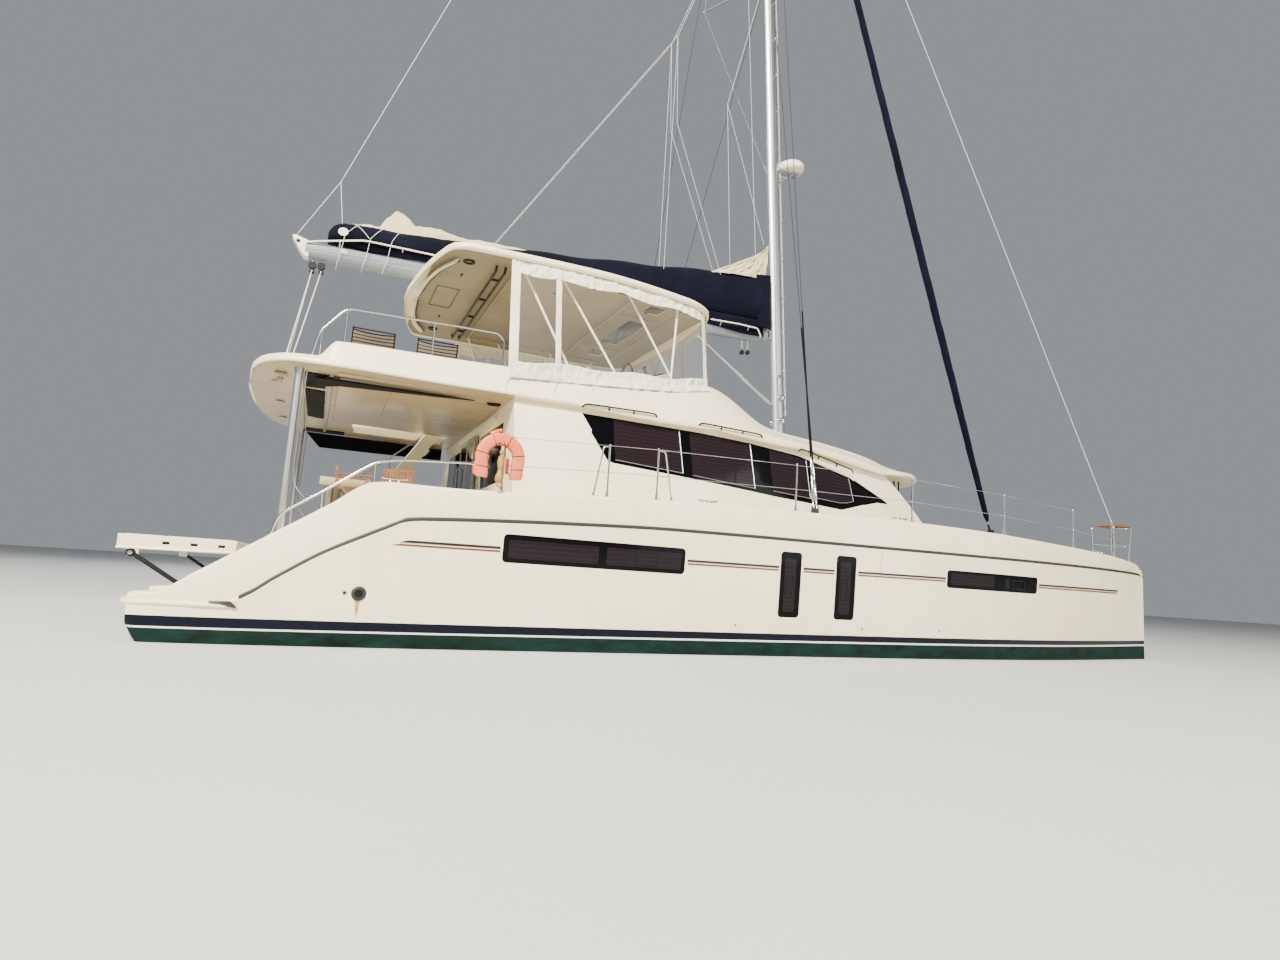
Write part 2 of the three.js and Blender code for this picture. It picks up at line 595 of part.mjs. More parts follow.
// Raked struts of the hardtop on a rail along the coaming: stations of the top and of the foot.
const STRUT_ROWS = [[4430, 5210], [5060, 6000], [6190, 7040], [7150, 7040]];
const STRUT_TOP = 5740;
const STRUT_SPREAD = -2150;
const coamingTop = (s) => readAt(ROOF_ROWS, s, COAMING_TOP);
const railFoot = (s) => [s, -(readAt(ROOF_ROWS, s, COAMING_HALF) - 110), coamingTop(s) + 24];
const struts = cut(
  join(
    pipe([railFoot(5000), railFoot(5500), railFoot(7000), railFoot(7200)], 18, 8),
    ...STRUT_ROWS.map(([top, foot]) => rod([top, STRUT_SPREAD, STRUT_TOP], railFoot(foot), 19)),
  ),
  hardtopAbove,
  moved(roof, 0, 0, GAP),
);
addPair('hardtop_struts', struts, 'stainless');

// Clear side curtains of the flybridge, hung outside the coaming, and the front curtain.
const CURTAIN = 14;
const CURTAIN_ROWS = [[4200, 3690], [5500, 3800], [7000, 3980], [7250, 4040], [7700, 4150]];
const CURTAIN_INSET = 70;       // head of the curtain inside the hardtop's rim
const hardtopHalf = (s) => readAt(HARDTOP_ROWS, s, 1);
const hardtopUnder = (s, y) => readAt(HARDTOP_ROWS, s, 2)
  + (hardtopHalf(s) - RIM_EDGE - y) * (RIM_RISE / (RIM_LIP - RIM_EDGE));
const curtainRing = ([s, hem]) => {
  const half = readAt(ROOF_ROWS, s, COAMING_HALF);
  const lip = coamingTop(s);
  const foot = half + (lip - hem) * 0.62 + 12;
  const head = hardtopHalf(s) - CURTAIN_INSET;
  const inner = [[foot, hem], [half + 18, lip], [head, hardtopUnder(s, head) - GAP]];
  const outer = [[foot, hem], [half + 18, lip], [head, hardtopUnder(s, head + CURTAIN) - GAP]];
  return [
    ...outer.map(([y, z]) => [station(s), -y - CURTAIN, z]),
    ...inner.reverse().map(([y, z]) => [station(s), -y, z]),
  ];
};
const sideCurtain = loft(CURTAIN_ROWS.map(curtainRing));
addPair('side_curtain', sideCurtain, 'white_cloth');

// Front curtain: y, station of its foot and its head.
const FRONT_CURTAIN = [[-1980, 7870, 7790], [-1450, 8030, 7930], [-600, 8080, 8010], [600, 8080, 8010],
  [1450, 8030, 7930], [1980, 7870, 7790]];
const frontCurtain = cut(
  loft(FRONT_CURTAIN.map(([y, foot, head]) => [
    [station(foot), y, 4200], [station(foot - CURTAIN), y, 4200],
    [station(head - CURTAIN), y, 5650], [station(head), y, 5650],
  ])),
  hardtopAbove,
  moved(roofOuter, 0, 0, GAP),
);
add('front_curtain', frontCurtain, 'white_cloth');

// Helm on the flybridge, to starboard of the middle.
const HELM_Y = -900;
const WHEEL = [6780, 4480];
const console = join(
  sidePlate([[6900, FLY_SOLE + GAP], [7520, FLY_SOLE + GAP], [7520, 4420], [7380, 4640], [7020, 4500], [6900, 4300]],
    HELM_Y - 480, HELM_Y + 480),
  rod([WHEEL[0] + 36, HELM_Y, WHEEL[1]], [7100, HELM_Y, WHEEL[1]], 45, 14),
);
add('helm_console', console, 'gelcoat');
const wheelRing = (radius, tube, sides = 22) => solid(new THREE.TorusGeometry(radius, tube, 6, sides)
  .rotateY(Math.PI / 2).translate(station(WHEEL[0]), HELM_Y, WHEEL[1]));
const spokes = [0, 1, 2, 3, 4].map((k) => {
  const turn = Math.PI / 2 + (k * 2 * Math.PI) / 5;
  return rod([WHEEL[0], HELM_Y, WHEEL[1]], [WHEEL[0], HELM_Y + 330 * Math.cos(turn), WHEEL[1] + 330 * Math.sin(turn)], 8, 6);
});
add('helm_wheel', join(
  wheelRing(330, 15),
  rod([WHEEL[0] - 40, HELM_Y, WHEEL[1]], [WHEEL[0] + 36 - GAP, HELM_Y, WHEEL[1]], 40, 14),
  ...spokes,
), 'stainless');
add('helm_seat', join(
  block(5900, 6400, HELM_Y - 500, HELM_Y + 500, FLY_SOLE + GAP, 4120),
  block(5860, 5960, HELM_Y - 500, HELM_Y + 500, 4100, 4560),
), 'grey_cushion');
add('flybridge_settee', join(
  block(4900, 7250, 900, 2130, FLY_SOLE + GAP, 4030),
  block(4900, 7250, 1990, 2130, 4000, 4290),
), 'grey_cushion');

// Chairs with four legs, a seat, a back and arm rests: one faces forward, the others face port.
const chair = (s, y, floor, seat, back, wide, deep) => join(
  ...[[-1, -1], [-1, 1], [1, -1], [1, 1]].map(([a, b]) => block(s + a * deep * 0.42 - 16, s + a * deep * 0.42 + 16,
    y + b * wide * 0.46 - 16, y + b * wide * 0.46 + 16, floor + GAP, floor + (a < 0 ? back : seat + 160))),
  block(s - deep / 2, s + deep / 2, y - wide / 2, y + wide / 2, floor + seat - 30, floor + seat),
  block(s - deep / 2 - 10, s - deep / 2 + 20, y - wide / 2, y + wide / 2, floor + seat - 30, floor + back),
  ...[-1, 1].map((b) => block(s - deep * 0.45, s + deep * 0.5, y + b * wide * 0.46 - 22, y + b * wide * 0.46 + 22,
    floor + seat + 140, floor + seat + 165)),
);
const facingPort = (s, y, ...sizes) => solid(geometryOf(chair(ORIGIN_STATION, 0, ...sizes)).rotateZ(Math.PI / 2)
  .translate(station(s), y, 0));
add('sling_chair_aft', facingPort(2400, -1450, FLY_SOLE, 400, 800, 640, 560), 'stainless');
add('sling_chair_fore', facingPort(3330, -1450, FLY_SOLE, 400, 800, 640, 560), 'stainless');
add('teak_chair_aft', chair(2320, -2150, SOLE, 420, 680, 480, 460), 'teak');
add('teak_chair_fore', facingPort(2930, -1740, SOLE, 420, 760, 460, 460), 'teak');
add('cockpit_table', join(
  block(1900, 3500, -1350, -450, 2130, 2175),
  rod([2700, -900, SOLE + GAP], [2700, -900, 2140], 60, 12),
  rod([2700, -900, SOLE + GAP], [2700, -900, SOLE + 20], 240, 16),
), 'teak');
add('cockpit_settee', join(
  block(2060, 4150, 2300, 3000, SOLE + GAP, 1990),
  block(2060, 2310, 2299, 3000, 1900, 2380),
), 'grey_cushion');

// Flybridge rails: sides of the aft well.
const flyRail = (() => {
  const y = -2620;
  return cut(join(
    pipe([[1610, y, 3590], [1680, y, 3960], [1950, y, 4300], [2050, y, 4345], [3560, y, 4385], [4050, y, 4390],
      [4140, y, 4300], [4150, y, 3700]], 15),
    rod([1705, y, 3590], [1705, y, 3985], 13),
    rod([1990, y, 3700], [1990, y, 4318], 13),
    rod([3140, y, 3700], [3140, y, 4370], 13),
  ), moved(roof, 0, 0, GAP));
})();
addPair('flybridge_rail', flyRail, 'stainless');

// On each side: the stern handrail, then the guard rail of stanchions joined by two wires and the bow pulpit with its seat.
const STANCHION_STATIONS = [3950, 5340, 6050, 8300, 10510, 12600, 14600, 16100];
const STANCHION_HEIGHT = 700;
const STANCHION = 13;
const WIRE = 6;
const stanchionFoot = (s) => [s, -(HULL_CENTRE + deckHalf(s) - 85), deckEdge(s)];
const lifted = ([s, y, z], by) => [s, y, z + by];
const wireEnds = (height) => [...STANCHION_STATIONS.map((s) => lifted(stanchionFoot(s), height)),
  [16250, -3480, 1930 + height]];
const sternRail = cut(join(
  pipe([[1440, -3860, 900], [1500, -3860, 1430], [1930, -3880, 1735], [2470, -3900, 2140],
    [2760, -3905, 2205], [3600, -3920, 2262], [3690, -3920, 2225], [3700, -3920, 1500]], 15),
  rod([1930, -3882, 1400], [1930, -3882, 1725], 13),
  rod([2470, -3900, 1500], [2470, -3900, 2130], 13),
), hullsBelow);
addPair('stern_rail', sternRail, 'stainless');
const guardRail = cut(join(
  ...STANCHION_STATIONS.map((s) => rod(lifted(stanchionFoot(s), -60), lifted(stanchionFoot(s), STANCHION_HEIGHT), STANCHION)),
  pipe(wireEnds(STANCHION_HEIGHT - 15), WIRE, 4),
  pipe(wireEnds(330), WIRE, 4),
  pipe([[16250, -3480, 1800], [16250, -3480, 2620], [16900, -3400, 2620], [17180, -3200, 2600],
    [16900, -3000, 2620], [16350, -2960, 2620], [16350, -2975, 1800]], 15),
  rod([16900, -3400, 2620], [16900, -3330, 1800], 13),
  rod([16900, -3000, 2620], [16900, -3070, 1800], 13),
  deckPlate([[16380, -3462], [16880, -3402], [16880, -3000], [16380, -2963]], 2596, 2622),
), hullsBelow);
addPair('guard_rail', guardRail, 'stainless');

// Mast crossbeam between the bows with its striker, and the walkway beam behind it.
const crossbeam = cut(join(
  rod([BEAM_STATION, -3150, 1745], [BEAM_STATION, 3150, 1745], 105, 16),
  rod([BEAM_STATION, -2500, 1760], [BEAM_STATION, -60, 2290], 16, 8),
  rod([BEAM_STATION, 2500, 1760], [BEAM_STATION, 60, 2290], 16, 8),
  rod([BEAM_STATION, 0, 1745], [BEAM_STATION + 20, 0, 2300], 45, 12),
), hullsBeside);
add('crossbeam', crossbeam, 'aluminium');
const walkway = cut(join(
  block(WING_FORE + GAP, BEAM_STATION - 105 - GAP, -160, 160, 1640, 1850),
  block(BEAM_STATION - 420, BEAM_STATION - 105 - GAP, -200, 200, 1850, 1900),
), moved(bridgedeck, GAP, 0, 0));
add('walkway_beam', walkway, 'gelcoat');

// Trampolines either side of the walkway.
const NET_STATIONS = [WING_FORE + 40, 15000, 16000, BEAM_STATION - 150];
const net = deckPlate([
  ...NET_STATIONS.map((s) => [s, -(HULL_CENTRE - deckHalf(s) - 45)]),
  [NET_STATIONS[3], -(160 + GAP)],
  [NET_STATIONS[0], -(160 + GAP)],
], 1815, 1829);
addPair('trampoline', net, 'black_net');

// Foredeck locker lids over their coamings, hinged along the aft edge.
addPair('locker_lid', block(LID[0] - 30, LID[1] + 30, LID[2] - 30, LID[3] + 30, lidBase + GAP, lidBase + 32), 'gelcoat');

// Horseshoe buoy on the starboard rail: an arch over two straight legs.
const BUOY_CENTRE = [3885, 2335];
const BUOY_ARCH = [310, 148];   // outer and inner radius
const BUOY_LEG = [-255, 288, 136];      // height of the foot, its outer and inner half width
const horseshoe = (() => {
  const [foot, footOuter, footInner] = BUOY_LEG;
  const shape = new THREE.Shape();
  shape.moveTo(footOuter, foot);
  shape.absarc(0, 0, BUOY_ARCH[0], 0, Math.PI, false);
  shape.lineTo(-footOuter, foot);
  shape.lineTo(-footInner, foot);
  shape.absarc(0, 0, BUOY_ARCH[1], Math.PI, 0, true);
  shape.lineTo(footInner, foot);
  shape.closePath();
  return solid(new THREE.ExtrudeGeometry(shape, { depth: 90, bevelEnabled: false, curveSegments: 18 })
    .rotateX(Math.PI / 2)
    .translate(BUOY_CENTRE[0] - ORIGIN_STATION, stanchionFoot(3950)[1] - STANCHION - GAP, BUOY_CENTRE[1]));
})();
add('horseshoe_buoy', horseshoe, 'salmon');

// Lifting platform between the sterns, on two arms.
const PLATFORM = [-310, 1000, 2120, 950, 1130];
const PLATFORM_PIVOT = [-130, 905];
const platformSlots = [0, 1, 2].map((k) => block(170 + k * 310, 250 + k * 310, -2600, 2600, 1025, 1062));
const platform = join(
  cut(
    block(PLATFORM[0], PLATFORM[1], -PLATFORM[2], PLATFORM[2], PLATFORM[3], PLATFORM[4]),
    ...platformSlots.map((slot) => slot.intersect(block(-400, 1100, PLATFORM[2] - 60, 2700, 900, 1200))),
    ...platformSlots.map((slot) => slot.intersect(block(-400, 1100, -2700, -PLATFORM[2] + 60, 900, 1200))),
  ),
  ...[-1, 1].map((side) => block(PLATFORM_PIVOT[0] - 60, PLATFORM_PIVOT[0] + 60,
    Math.min(side * 2060, side * 2120), Math.max(side * 2060, side * 2120), 860, 1000)),
  ...[-1, 1].map((side) => rod([PLATFORM_PIVOT[0], side * 2100, PLATFORM_PIVOT[1]],
    [PLATFORM_PIVOT[0], side * (ARM_Y - ARM_BOSS - GAP), PLATFORM_PIVOT[1]], 28, 14)),
);
add('lifting_platform', platform, 'gelcoat');
const armBoss = ([s, z], radius) => rod([s, -ARM_Y + ARM_BOSS, z], [s, -ARM_Y - ARM_BOSS, z], radius, 16);
addPair('platform_arm', join(
  armBoss(PLATFORM_PIVOT, 50),
  armBoss(ARM_PIVOT, 55),
  rod([PLATFORM_PIVOT[0], -ARM_Y, PLATFORM_PIVOT[1]], [ARM_PIVOT[0], -ARM_Y, ARM_PIVOT[1]], 29),
), 'black_plastic');

// The rig stands in a frame raked aft about the mast's heel.
const rig = new THREE.Group();
rig.position.set(station(MAST_FOOT[0]), 0, MAST_FOOT[1]);
rig.rotation.y = -RAKE;
boat.add(rig);
const raked = (body) => solid(geometryOf(body).applyMatrix4(
  new THREE.Matrix4().makeRotationY(-RAKE).setPosition(station(MAST_FOOT[0]), 0, MAST_FOOT[1])));

// In the rig's frame: x forward of the mast's centre, z up the mast.
const upright = (x, y, z) => [x + ORIGIN_STATION, y, z];
const mastRing = ([z, half, side]) => Array.from({ length: 12 }, (_, k) => {
  const turn = (k * Math.PI) / 6;
  return [half * Math.cos(turn), side * Math.sin(turn), z];
});
const mastTube = loft([[0, 145, 90], [HOUNDS, 145, 90], [MAST_LENGTH, 95, 62]].map(mastRing));
const SPREADER_SWEEP = 850;
const SPREADER_REACH = 1500;
const spreaders = [-1, 1].map((side) => rod(upright(-60, side * 60, SPREADER),
  upright(-SPREADER_SWEEP, side * SPREADER_REACH, SPREADER + 40), 42, 8, 24));
const diamonds = [-1, 1].map((side) => join(
  rod(upright(-40, side * 82, 6000), upright(-SPREADER_SWEEP, side * SPREADER_REACH, SPREADER + 40), 7, 6),
  rod(upright(-SPREADER_SWEEP, side * SPREADER_REACH, SPREADER + 40), upright(-20, side * 85, HOUNDS - 250), 7, 6),
));
const goosePlates = [52, -72].map((dz) => block(ORIGIN_STATION - GOOSENECK_BACK - 45, ORIGIN_STATION - 100, -45, 45,
  GOOSENECK + dz, GOOSENECK + dz + 20));
const goosePin = rod(upright(-GOOSENECK_BACK, 0, GOOSENECK + 50 + GAP), upright(-GOOSENECK_BACK, 0, GOOSENECK + 90), 20, 12);
const mastHead = join(
  block(ORIGIN_STATION - 330, ORIGIN_STATION + 170, -55, 55, MAST_LENGTH - 60, MAST_LENGTH + 60),
  rod(upright(-250, 0, MAST_LENGTH), upright(-250, 0, MAST_LENGTH + 700), 8, 6),
);
const hitch = block(ORIGIN_STATION - 100, ORIGIN_STATION + 190, -32, 32, HOUNDS - 60, HOUNDS + 60);
const radarBracket = block(ORIGIN_STATION + 100, ORIGIN_STATION + 420, -60, 60, 6180, 6215);
const vangLug = block(ORIGIN_STATION - GOOSENECK_BACK - 30, ORIGIN_STATION - 100, -30, 30, 915, 935);
const heel = block(ORIGIN_STATION - 210, ORIGIN_STATION + 210, -150, 150, -60, 60);
const rakedToUpright = new THREE.Matrix4().makeRotationY(-RAKE)
  .setPosition(station(MAST_FOOT[0]), 0, MAST_FOOT[1]).invert();
const roofInRig = solid(geometryOf(moved(roofOuter, 0, 0, GAP)).applyMatrix4(rakedToUpright));
add('mast', cut(join(mastTube, ...spreaders, ...diamonds, ...goosePlates, goosePin, mastHead, hitch, radarBracket,
  vangLug, heel), roofInRig), 'aluminium', rig);

const radome = solid(new THREE.LatheGeometry([[0, 0], [250, 0], [300, 50], [300, 130], [240, 210], [0, 240]]
  .map(([r, z]) => new THREE.Vector2(r, z)), 20).rotateX(Math.PI / 2).translate(460, 0, 6215 + GAP));
add('radar_dome', radome, 'gelcoat', rig);

// Boom, sail bag and vang turn about the gooseneck's line, square to the rig's frame.
const boomFrame = new THREE.Group();
boomFrame.position.set(-GOOSENECK_BACK, 0, GOOSENECK);
boomFrame.rotation.y = BOOM_LIFT;
rig.add(boomFrame);
const aft = (x, y, z) => [ORIGIN_STATION - x, y, z];
// Distance aft of the hinge, depth below and above the middle line, half breadth.
const BOOM_ROWS = [[140, 170, 200, 115], [500, 205, 200, 128], [4500, 190, 170, 128], [BOOM_LENGTH - 350, 130, 130, 120],
  [BOOM_LENGTH, 110, 120, 110]];
const boomTube = loft(BOOM_ROWS.map(([x, below, above, half]) => [[-0.55, -below], [-1, -0.45 * below], [-1, 0.6 * above],
  [-0.7, above], [0.7, above], [1, 0.6 * above], [1, -0.45 * below], [0.55, -below]]
  .map(([y, z]) => [-x, y * half, z])));
const tongue = join(
  block(ORIGIN_STATION - 160, ORIGIN_STATION, -38, 38, -48, 44),
  rod(upright(0, 0, -48), upright(0, 0, 44), 38, 16),
);
add('boom', join(boomTube, tongue), 'aluminium', boomFrame);

// Sail bag: distance aft, height of the crown above the boom's middle line, half breadth.
const BAG_ROWS = [[170, 1280, 150], [420, 1270, 215], [2500, 1050, 235], [5000, 815, 240], [7300, 655, 225],
  [8000, 622, 220], [8550, 585, 205], [8720, 500, 170], [8790, 380, 110]];
const bag = loft(BAG_ROWS.map(([x, crown, half]) => {
  const foot = 200 + GAP * 2;
  const rise = crown - foot;
  return [[-0.45, 0], [-0.85, 0.12], [-1, 0.32], [-0.85, 0.62], [-0.42, 0.92], [0, 1], [0.42, 0.92], [0.85, 0.62],
    [1, 0.32], [0.85, 0.12], [0.45, 0]].map(([y, z]) => [-x, y * half, foot + z * rise]);
}));
add('sail_bag', bag, 'navy_cloth', boomFrame);

// Vang from a lug low on the mast to the boom, on the hinge's own line so that it swings with the boom.
const vangFoot = new THREE.Vector3(0, 0, 925 - GOOSENECK).applyAxisAngle(new THREE.Vector3(0, 1, 0), -BOOM_LIFT);
const VANG_HEAD = [1850, -198];
const vang = join(
  rod([ORIGIN_STATION + vangFoot.x - 30, 0, vangFoot.z + 45], aft(VANG_HEAD[0], 0, VANG_HEAD[1] - 25), 34, 10),
  rod([ORIGIN_STATION + vangFoot.x - 700, 0, vangFoot.z + 570], aft(VANG_HEAD[0], 0, VANG_HEAD[1] - 25), 44, 10),
);
add('vang', cut(vang, moved(solid(geometryOf(boomTube)), 0, 0, -GAP)), 'aluminium', boomFrame);

// Standing rigging. Points on the mast are turned into the boat's frame.
const onMast = (x, y, z) => {
  const p = new THREE.Vector3(x, y, z).applyAxisAngle(new THREE.Vector3(0, 1, 0), -RAKE);
  return [p.x + MAST_FOOT[0], p.y, p.z + MAST_FOOT[1]];
};
const CHAINPLATE = [8650, -4110];
const chainplate = [CHAINPLATE[0], CHAINPLATE[1], deckEdge(CHAINPLATE[0]) + 90];
const towards = (a, b, reach) => {
  const whole = Math.hypot(...b.map((v, k) => v - a[k]));
  return b.map((v, k) => a[k] + ((v - a[k]) * reach) / whole);
};
const mastInBoat = raked(mastTube);
const shrouds = cut(join(
  ...[HOUNDS, LOWER_HOUNDS].map((height, k) => join(
    rod([chainplate[0] + (k ? 30 : -30), chainplate[1], chainplate[2]], onMast(0, -70, height), 8, 6),
    rod([chainplate[0] + (k ? 30 : -30), chainplate[1], chainplate[2]],
      towards(chainplate, onMast(0, -70, height), 620), 17, 8),
  )),
  block(CHAINPLATE[0] - 80, CHAINPLATE[0] + 80, CHAINPLATE[1] - 7, CHAINPLATE[1] + 7, deckEdge(8650) - 60, chainplate[2] + 30),
), hullsBelow, moved(mastInBoat, 0, -GAP, 0));
addPair('shrouds', shrouds, 'stainless');

// Furled headsail on its foil, with its drum: share of the way up and radius.
const tack = [TACK[0], 0, TACK[1]];
const hounds = onMast(190 + 12, 0, HOUNDS);
const between = (a, b, share) => a.map((v, k) => v + (b[k] - v) * share);
const ROLL_ROWS = [[0.0225, 15], [0.0249, 15], [0.0252, 22], [0.032, 62], [0.3, 88], [0.7, 66], [0.955, 34],
  [0.9648, 16], [0.9652, 13], [0.99998, 13]];
const stay = new THREE.Vector3(...hounds).sub(new THREE.Vector3(...tack)).normalize();
const roll = loft(ROLL_ROWS.map(([share, radius]) => {
  const [s, , z] = between(tack, hounds, share);
  return Array.from({ length: 12 }, (_, k) => {
    const turn = ((k + 0.5) * Math.PI) / 6;
    const out = radius * Math.sin(turn);
    return [station(s) - out * stay.z, radius * Math.cos(turn), z + out * stay.x];
  });
}));
add('furled_headsail', roll, 'navy_cloth');
add('furler_drum', cut(join(
  rod(between(tack, hounds, 0.004), between(tack, hounds, 0.0225 - 0.00002), 22, 10),
  rod(between(tack, hounds, 0.006), between(tack, hounds, 0.008), 95, 16),
  rod(between(tack, hounds, 0.013), between(tack, hounds, 0.015), 95, 16),
  rod(between(tack, hounds, 0.006), between(tack, hounds, 0.014), 60, 14),
  rod(tack, between(tack, hounds, 0.005), 14, 8),
), moved(crossbeam, 0, 0, GAP)), 'black_plastic');

export default boat;
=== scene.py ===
# A cruising sailing catamaran with a flybridge, afloat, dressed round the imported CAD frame.
# Tables are in millimetres, with stations forward of the sterns; at() turns them to the frame's metres.
import json
import math
import bmesh
import bpy
from mathutils import Matrix, Vector, noise


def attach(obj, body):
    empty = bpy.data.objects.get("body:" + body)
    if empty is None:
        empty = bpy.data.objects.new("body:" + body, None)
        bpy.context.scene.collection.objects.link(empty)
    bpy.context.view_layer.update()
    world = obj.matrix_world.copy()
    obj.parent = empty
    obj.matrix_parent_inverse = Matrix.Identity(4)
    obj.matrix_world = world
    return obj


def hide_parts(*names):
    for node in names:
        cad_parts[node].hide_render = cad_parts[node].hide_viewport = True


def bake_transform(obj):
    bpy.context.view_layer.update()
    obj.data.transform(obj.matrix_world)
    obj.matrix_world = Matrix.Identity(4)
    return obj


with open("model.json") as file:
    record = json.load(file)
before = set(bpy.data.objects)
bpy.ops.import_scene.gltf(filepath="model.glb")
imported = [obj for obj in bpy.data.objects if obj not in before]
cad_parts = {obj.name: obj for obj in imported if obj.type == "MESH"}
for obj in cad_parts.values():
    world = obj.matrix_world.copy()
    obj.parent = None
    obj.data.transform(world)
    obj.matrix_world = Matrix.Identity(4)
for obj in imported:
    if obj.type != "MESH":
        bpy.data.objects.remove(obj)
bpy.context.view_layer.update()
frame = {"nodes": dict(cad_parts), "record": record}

# The frame's origin lies at this station, on the waterline. Each hull's middle lies HULL_CENTRE to one side.
MIDSHIP = 8750
HULL_CENTRE = 3200
# Heights of the cockpit's and the flybridge's floors.
SOLE = 1550
FLY_SOLE = 3575
PAIR = ("starboard", "port")
# The camera's place in metres, its heading, tilt and roll in degrees, and its focal length in millimetres.
EYE = (-6.89, -13.21, 0.97)
EYE_TURNS = (23.4, 7.5, 3.6)
FOCAL_LENGTH = 21.07


def at(station, y, z):
    """A point given in millimetres, as metres in the frame."""
    return Vector((station - MIDSHIP, y, z)) / 1000


# Camera and stage

def camera_from_photograph():
    """The camera: seen from off the starboard quarter, low over the water, turned a little upwards."""
    yaw, pitch, roll = (math.radians(angle) for angle in EYE_TURNS)
    ahead = Vector((math.sin(yaw) * math.cos(pitch), math.cos(yaw) * math.cos(pitch), math.sin(pitch)))
    level = Vector((math.cos(yaw), -math.sin(yaw), 0))
    upright = level.cross(ahead)
    right = math.cos(roll) * level + math.sin(roll) * upright
    top = -math.sin(roll) * level + math.cos(roll) * upright
    lens = bpy.data.cameras.new("camera")
    lens.lens = FOCAL_LENGTH
    lens.sensor_width = 36
    lens.clip_end = 400
    camera = bpy.data.objects.new("camera", lens)
    bpy.context.scene.collection.objects.link(camera)
    turn = Matrix((right, top, -ahead)).transposed().to_4x4()
    camera.matrix_world = Matrix.Translation(EYE) @ turn
    bpy.context.scene.camera = camera


def soft_lamp(name, place, target, size, power, colour):
    """A soft square lamp that faces a point."""
    light = bpy.data.lights.new(name, "AREA")
    light.size = size
    light.energy = power
    light.color = colour
    lamp = bpy.data.objects.new(name, light)
    bpy.context.scene.collection.objects.link(lamp)
    lamp.location = place
    lamp.rotation_euler = (Vector(target) - Vector(place)).to_track_quat("-Z", "Y").to_euler()


def studio():
    """Pale floor at the waterline, pale surroundings, one large soft key and two fills."""
    world = bpy.data.worlds.new("studio")
    bpy.context.scene.world = world
    world.use_nodes = True
    surroundings = world.node_tree.nodes["Background"]
    surroundings.inputs["Color"].default_value = hex_colour("#DDE3EA")
    surroundings.inputs["Strength"].default_value = 0.42
    soft_lamp("key", (-19, -24, 27), (0, -2, 2), 10, 56000, (1.0, 0.94, 0.8))
    soft_lamp("fill", (16, -26, 9), (2, -3, 2), 18, 3200, (0.93, 0.96, 1.0))
    soft_lamp("far_side", (-4, 30, 22), (-2, 22, 0), 18, 5600, (0.95, 0.97, 1.0))
    bm = bmesh.new()
    bmesh.ops.create_grid(bm, x_segments=1, y_segments=1, size=150)
    floor = piece_from("studio_floor", bm, painted_floor(), body=None)


# Colours and materials

def hex_colour(text, alpha=1.0):
    """An sRGB hex colour as linear light."""
    shares = [int(text[k:k + 2], 16) / 255 for k in (1, 3, 5)]
    return (*[s / 12.92 if s <= 0.04045 else ((s + 0.055) / 1.055) ** 2.4 for s in shares], alpha)


def add_node(tree, kind, values=None, feeds=None, **settings):
    """A node with its settings, its socket values and what feeds it."""
    made = tree.nodes.new(kind)
    for key, value in settings.items():
        setattr(made, key, value)
    for socket, value in (values or {}).items():
        made.inputs[socket].default_value = value
    for socket, source in (feeds or {}).items():
        tree.links.new(source, made.inputs[socket])
    return made


def finish_of(name, colour, roughness, **sockets):
    """A new material with its constants on the shader's own sockets."""
    made = bpy.data.materials.new(name)
    made.use_nodes = True
    shader = made.node_tree.nodes["Principled BSDF"]
    shader.inputs["Base Color"].default_value = hex_colour(colour)
    shader.inputs["Roughness"].default_value = roughness
    for socket, value in sockets.items():
        shader.inputs[socket.replace("_", " ")].default_value = value
    return made, made.node_tree, shader


def cloudy(tree, size_mm, detail=4, stretch=(1, 1, 1)):
    """Soft patches about size_mm across, longer along an axis whose stretch is under 1."""
    place = add_node(tree, "ShaderNodeTexCoord").outputs["Object"]
    drawn = add_node(tree, "ShaderNodeMapping", {"Scale": stretch}, {"Vector": place}).outputs["Vector"]
    return add_node(tree, "ShaderNodeTexNoise",
                    {"Scale": 1000 / size_mm, "Detail": detail, "Roughness": 0.55},
                    {"Vector": drawn}).outputs["Fac"]


def stripes(tree, spacing_mm, turn=(0, 0, 0), profile="SIN", distortion=0.0):
    """Even stripes across X, spacing_mm apart, after a turn given in degrees."""
    place = add_node(tree, "ShaderNodeTexCoord").outputs["Object"]
    turned = add_node(tree, "ShaderNodeMapping", {"Rotation": [math.radians(angle) for angle in turn]},
                      {"Vector": place}).outputs["Vector"]
    # One wave of this texture is a tenth of pi across at scale 1.
    wave = add_node(tree, "ShaderNodeTexWave",
                    {"Scale": 100 * math.pi / spacing_mm, "Distortion": distortion}, {"Vector": turned},
                    wave_profile=profile)
    return wave.outputs["Fac"]


def woven(tree, thread_mm):
    """Threads over and under: stripes along and across, multiplied."""
    warp = stripes(tree, thread_mm, (0, 45, 30))
    weft = stripes(tree, thread_mm, (0, -45, 30))
    return add_node(tree, "ShaderNodeMath", None, {0: warp, 1: weft}, operation="MULTIPLY").outputs[0]


def shaded_between(tree, pattern, low, high, start=0.3, end=0.7):
    """A colour between two, by a pattern."""
    ramp = add_node(tree, "ShaderNodeValToRGB", None, {"Fac": pattern})
    ramp.color_ramp.elements[0].position = start
    ramp.color_ramp.elements[0].color = hex_colour(low)
    ramp.color_ramp.elements[1].position = end
    ramp.color_ramp.elements[1].color = hex_colour(high)
    return ramp.outputs["Color"]


def spread(tree, pattern, low, high):
    """A number between two, by a pattern."""
    return add_node(tree, "ShaderNodeMapRange",
                    {"From Min": 0.3, "From Max": 0.7, "To Min": low, "To Max": high},
                    {"Value": pattern}).outputs["Result"]


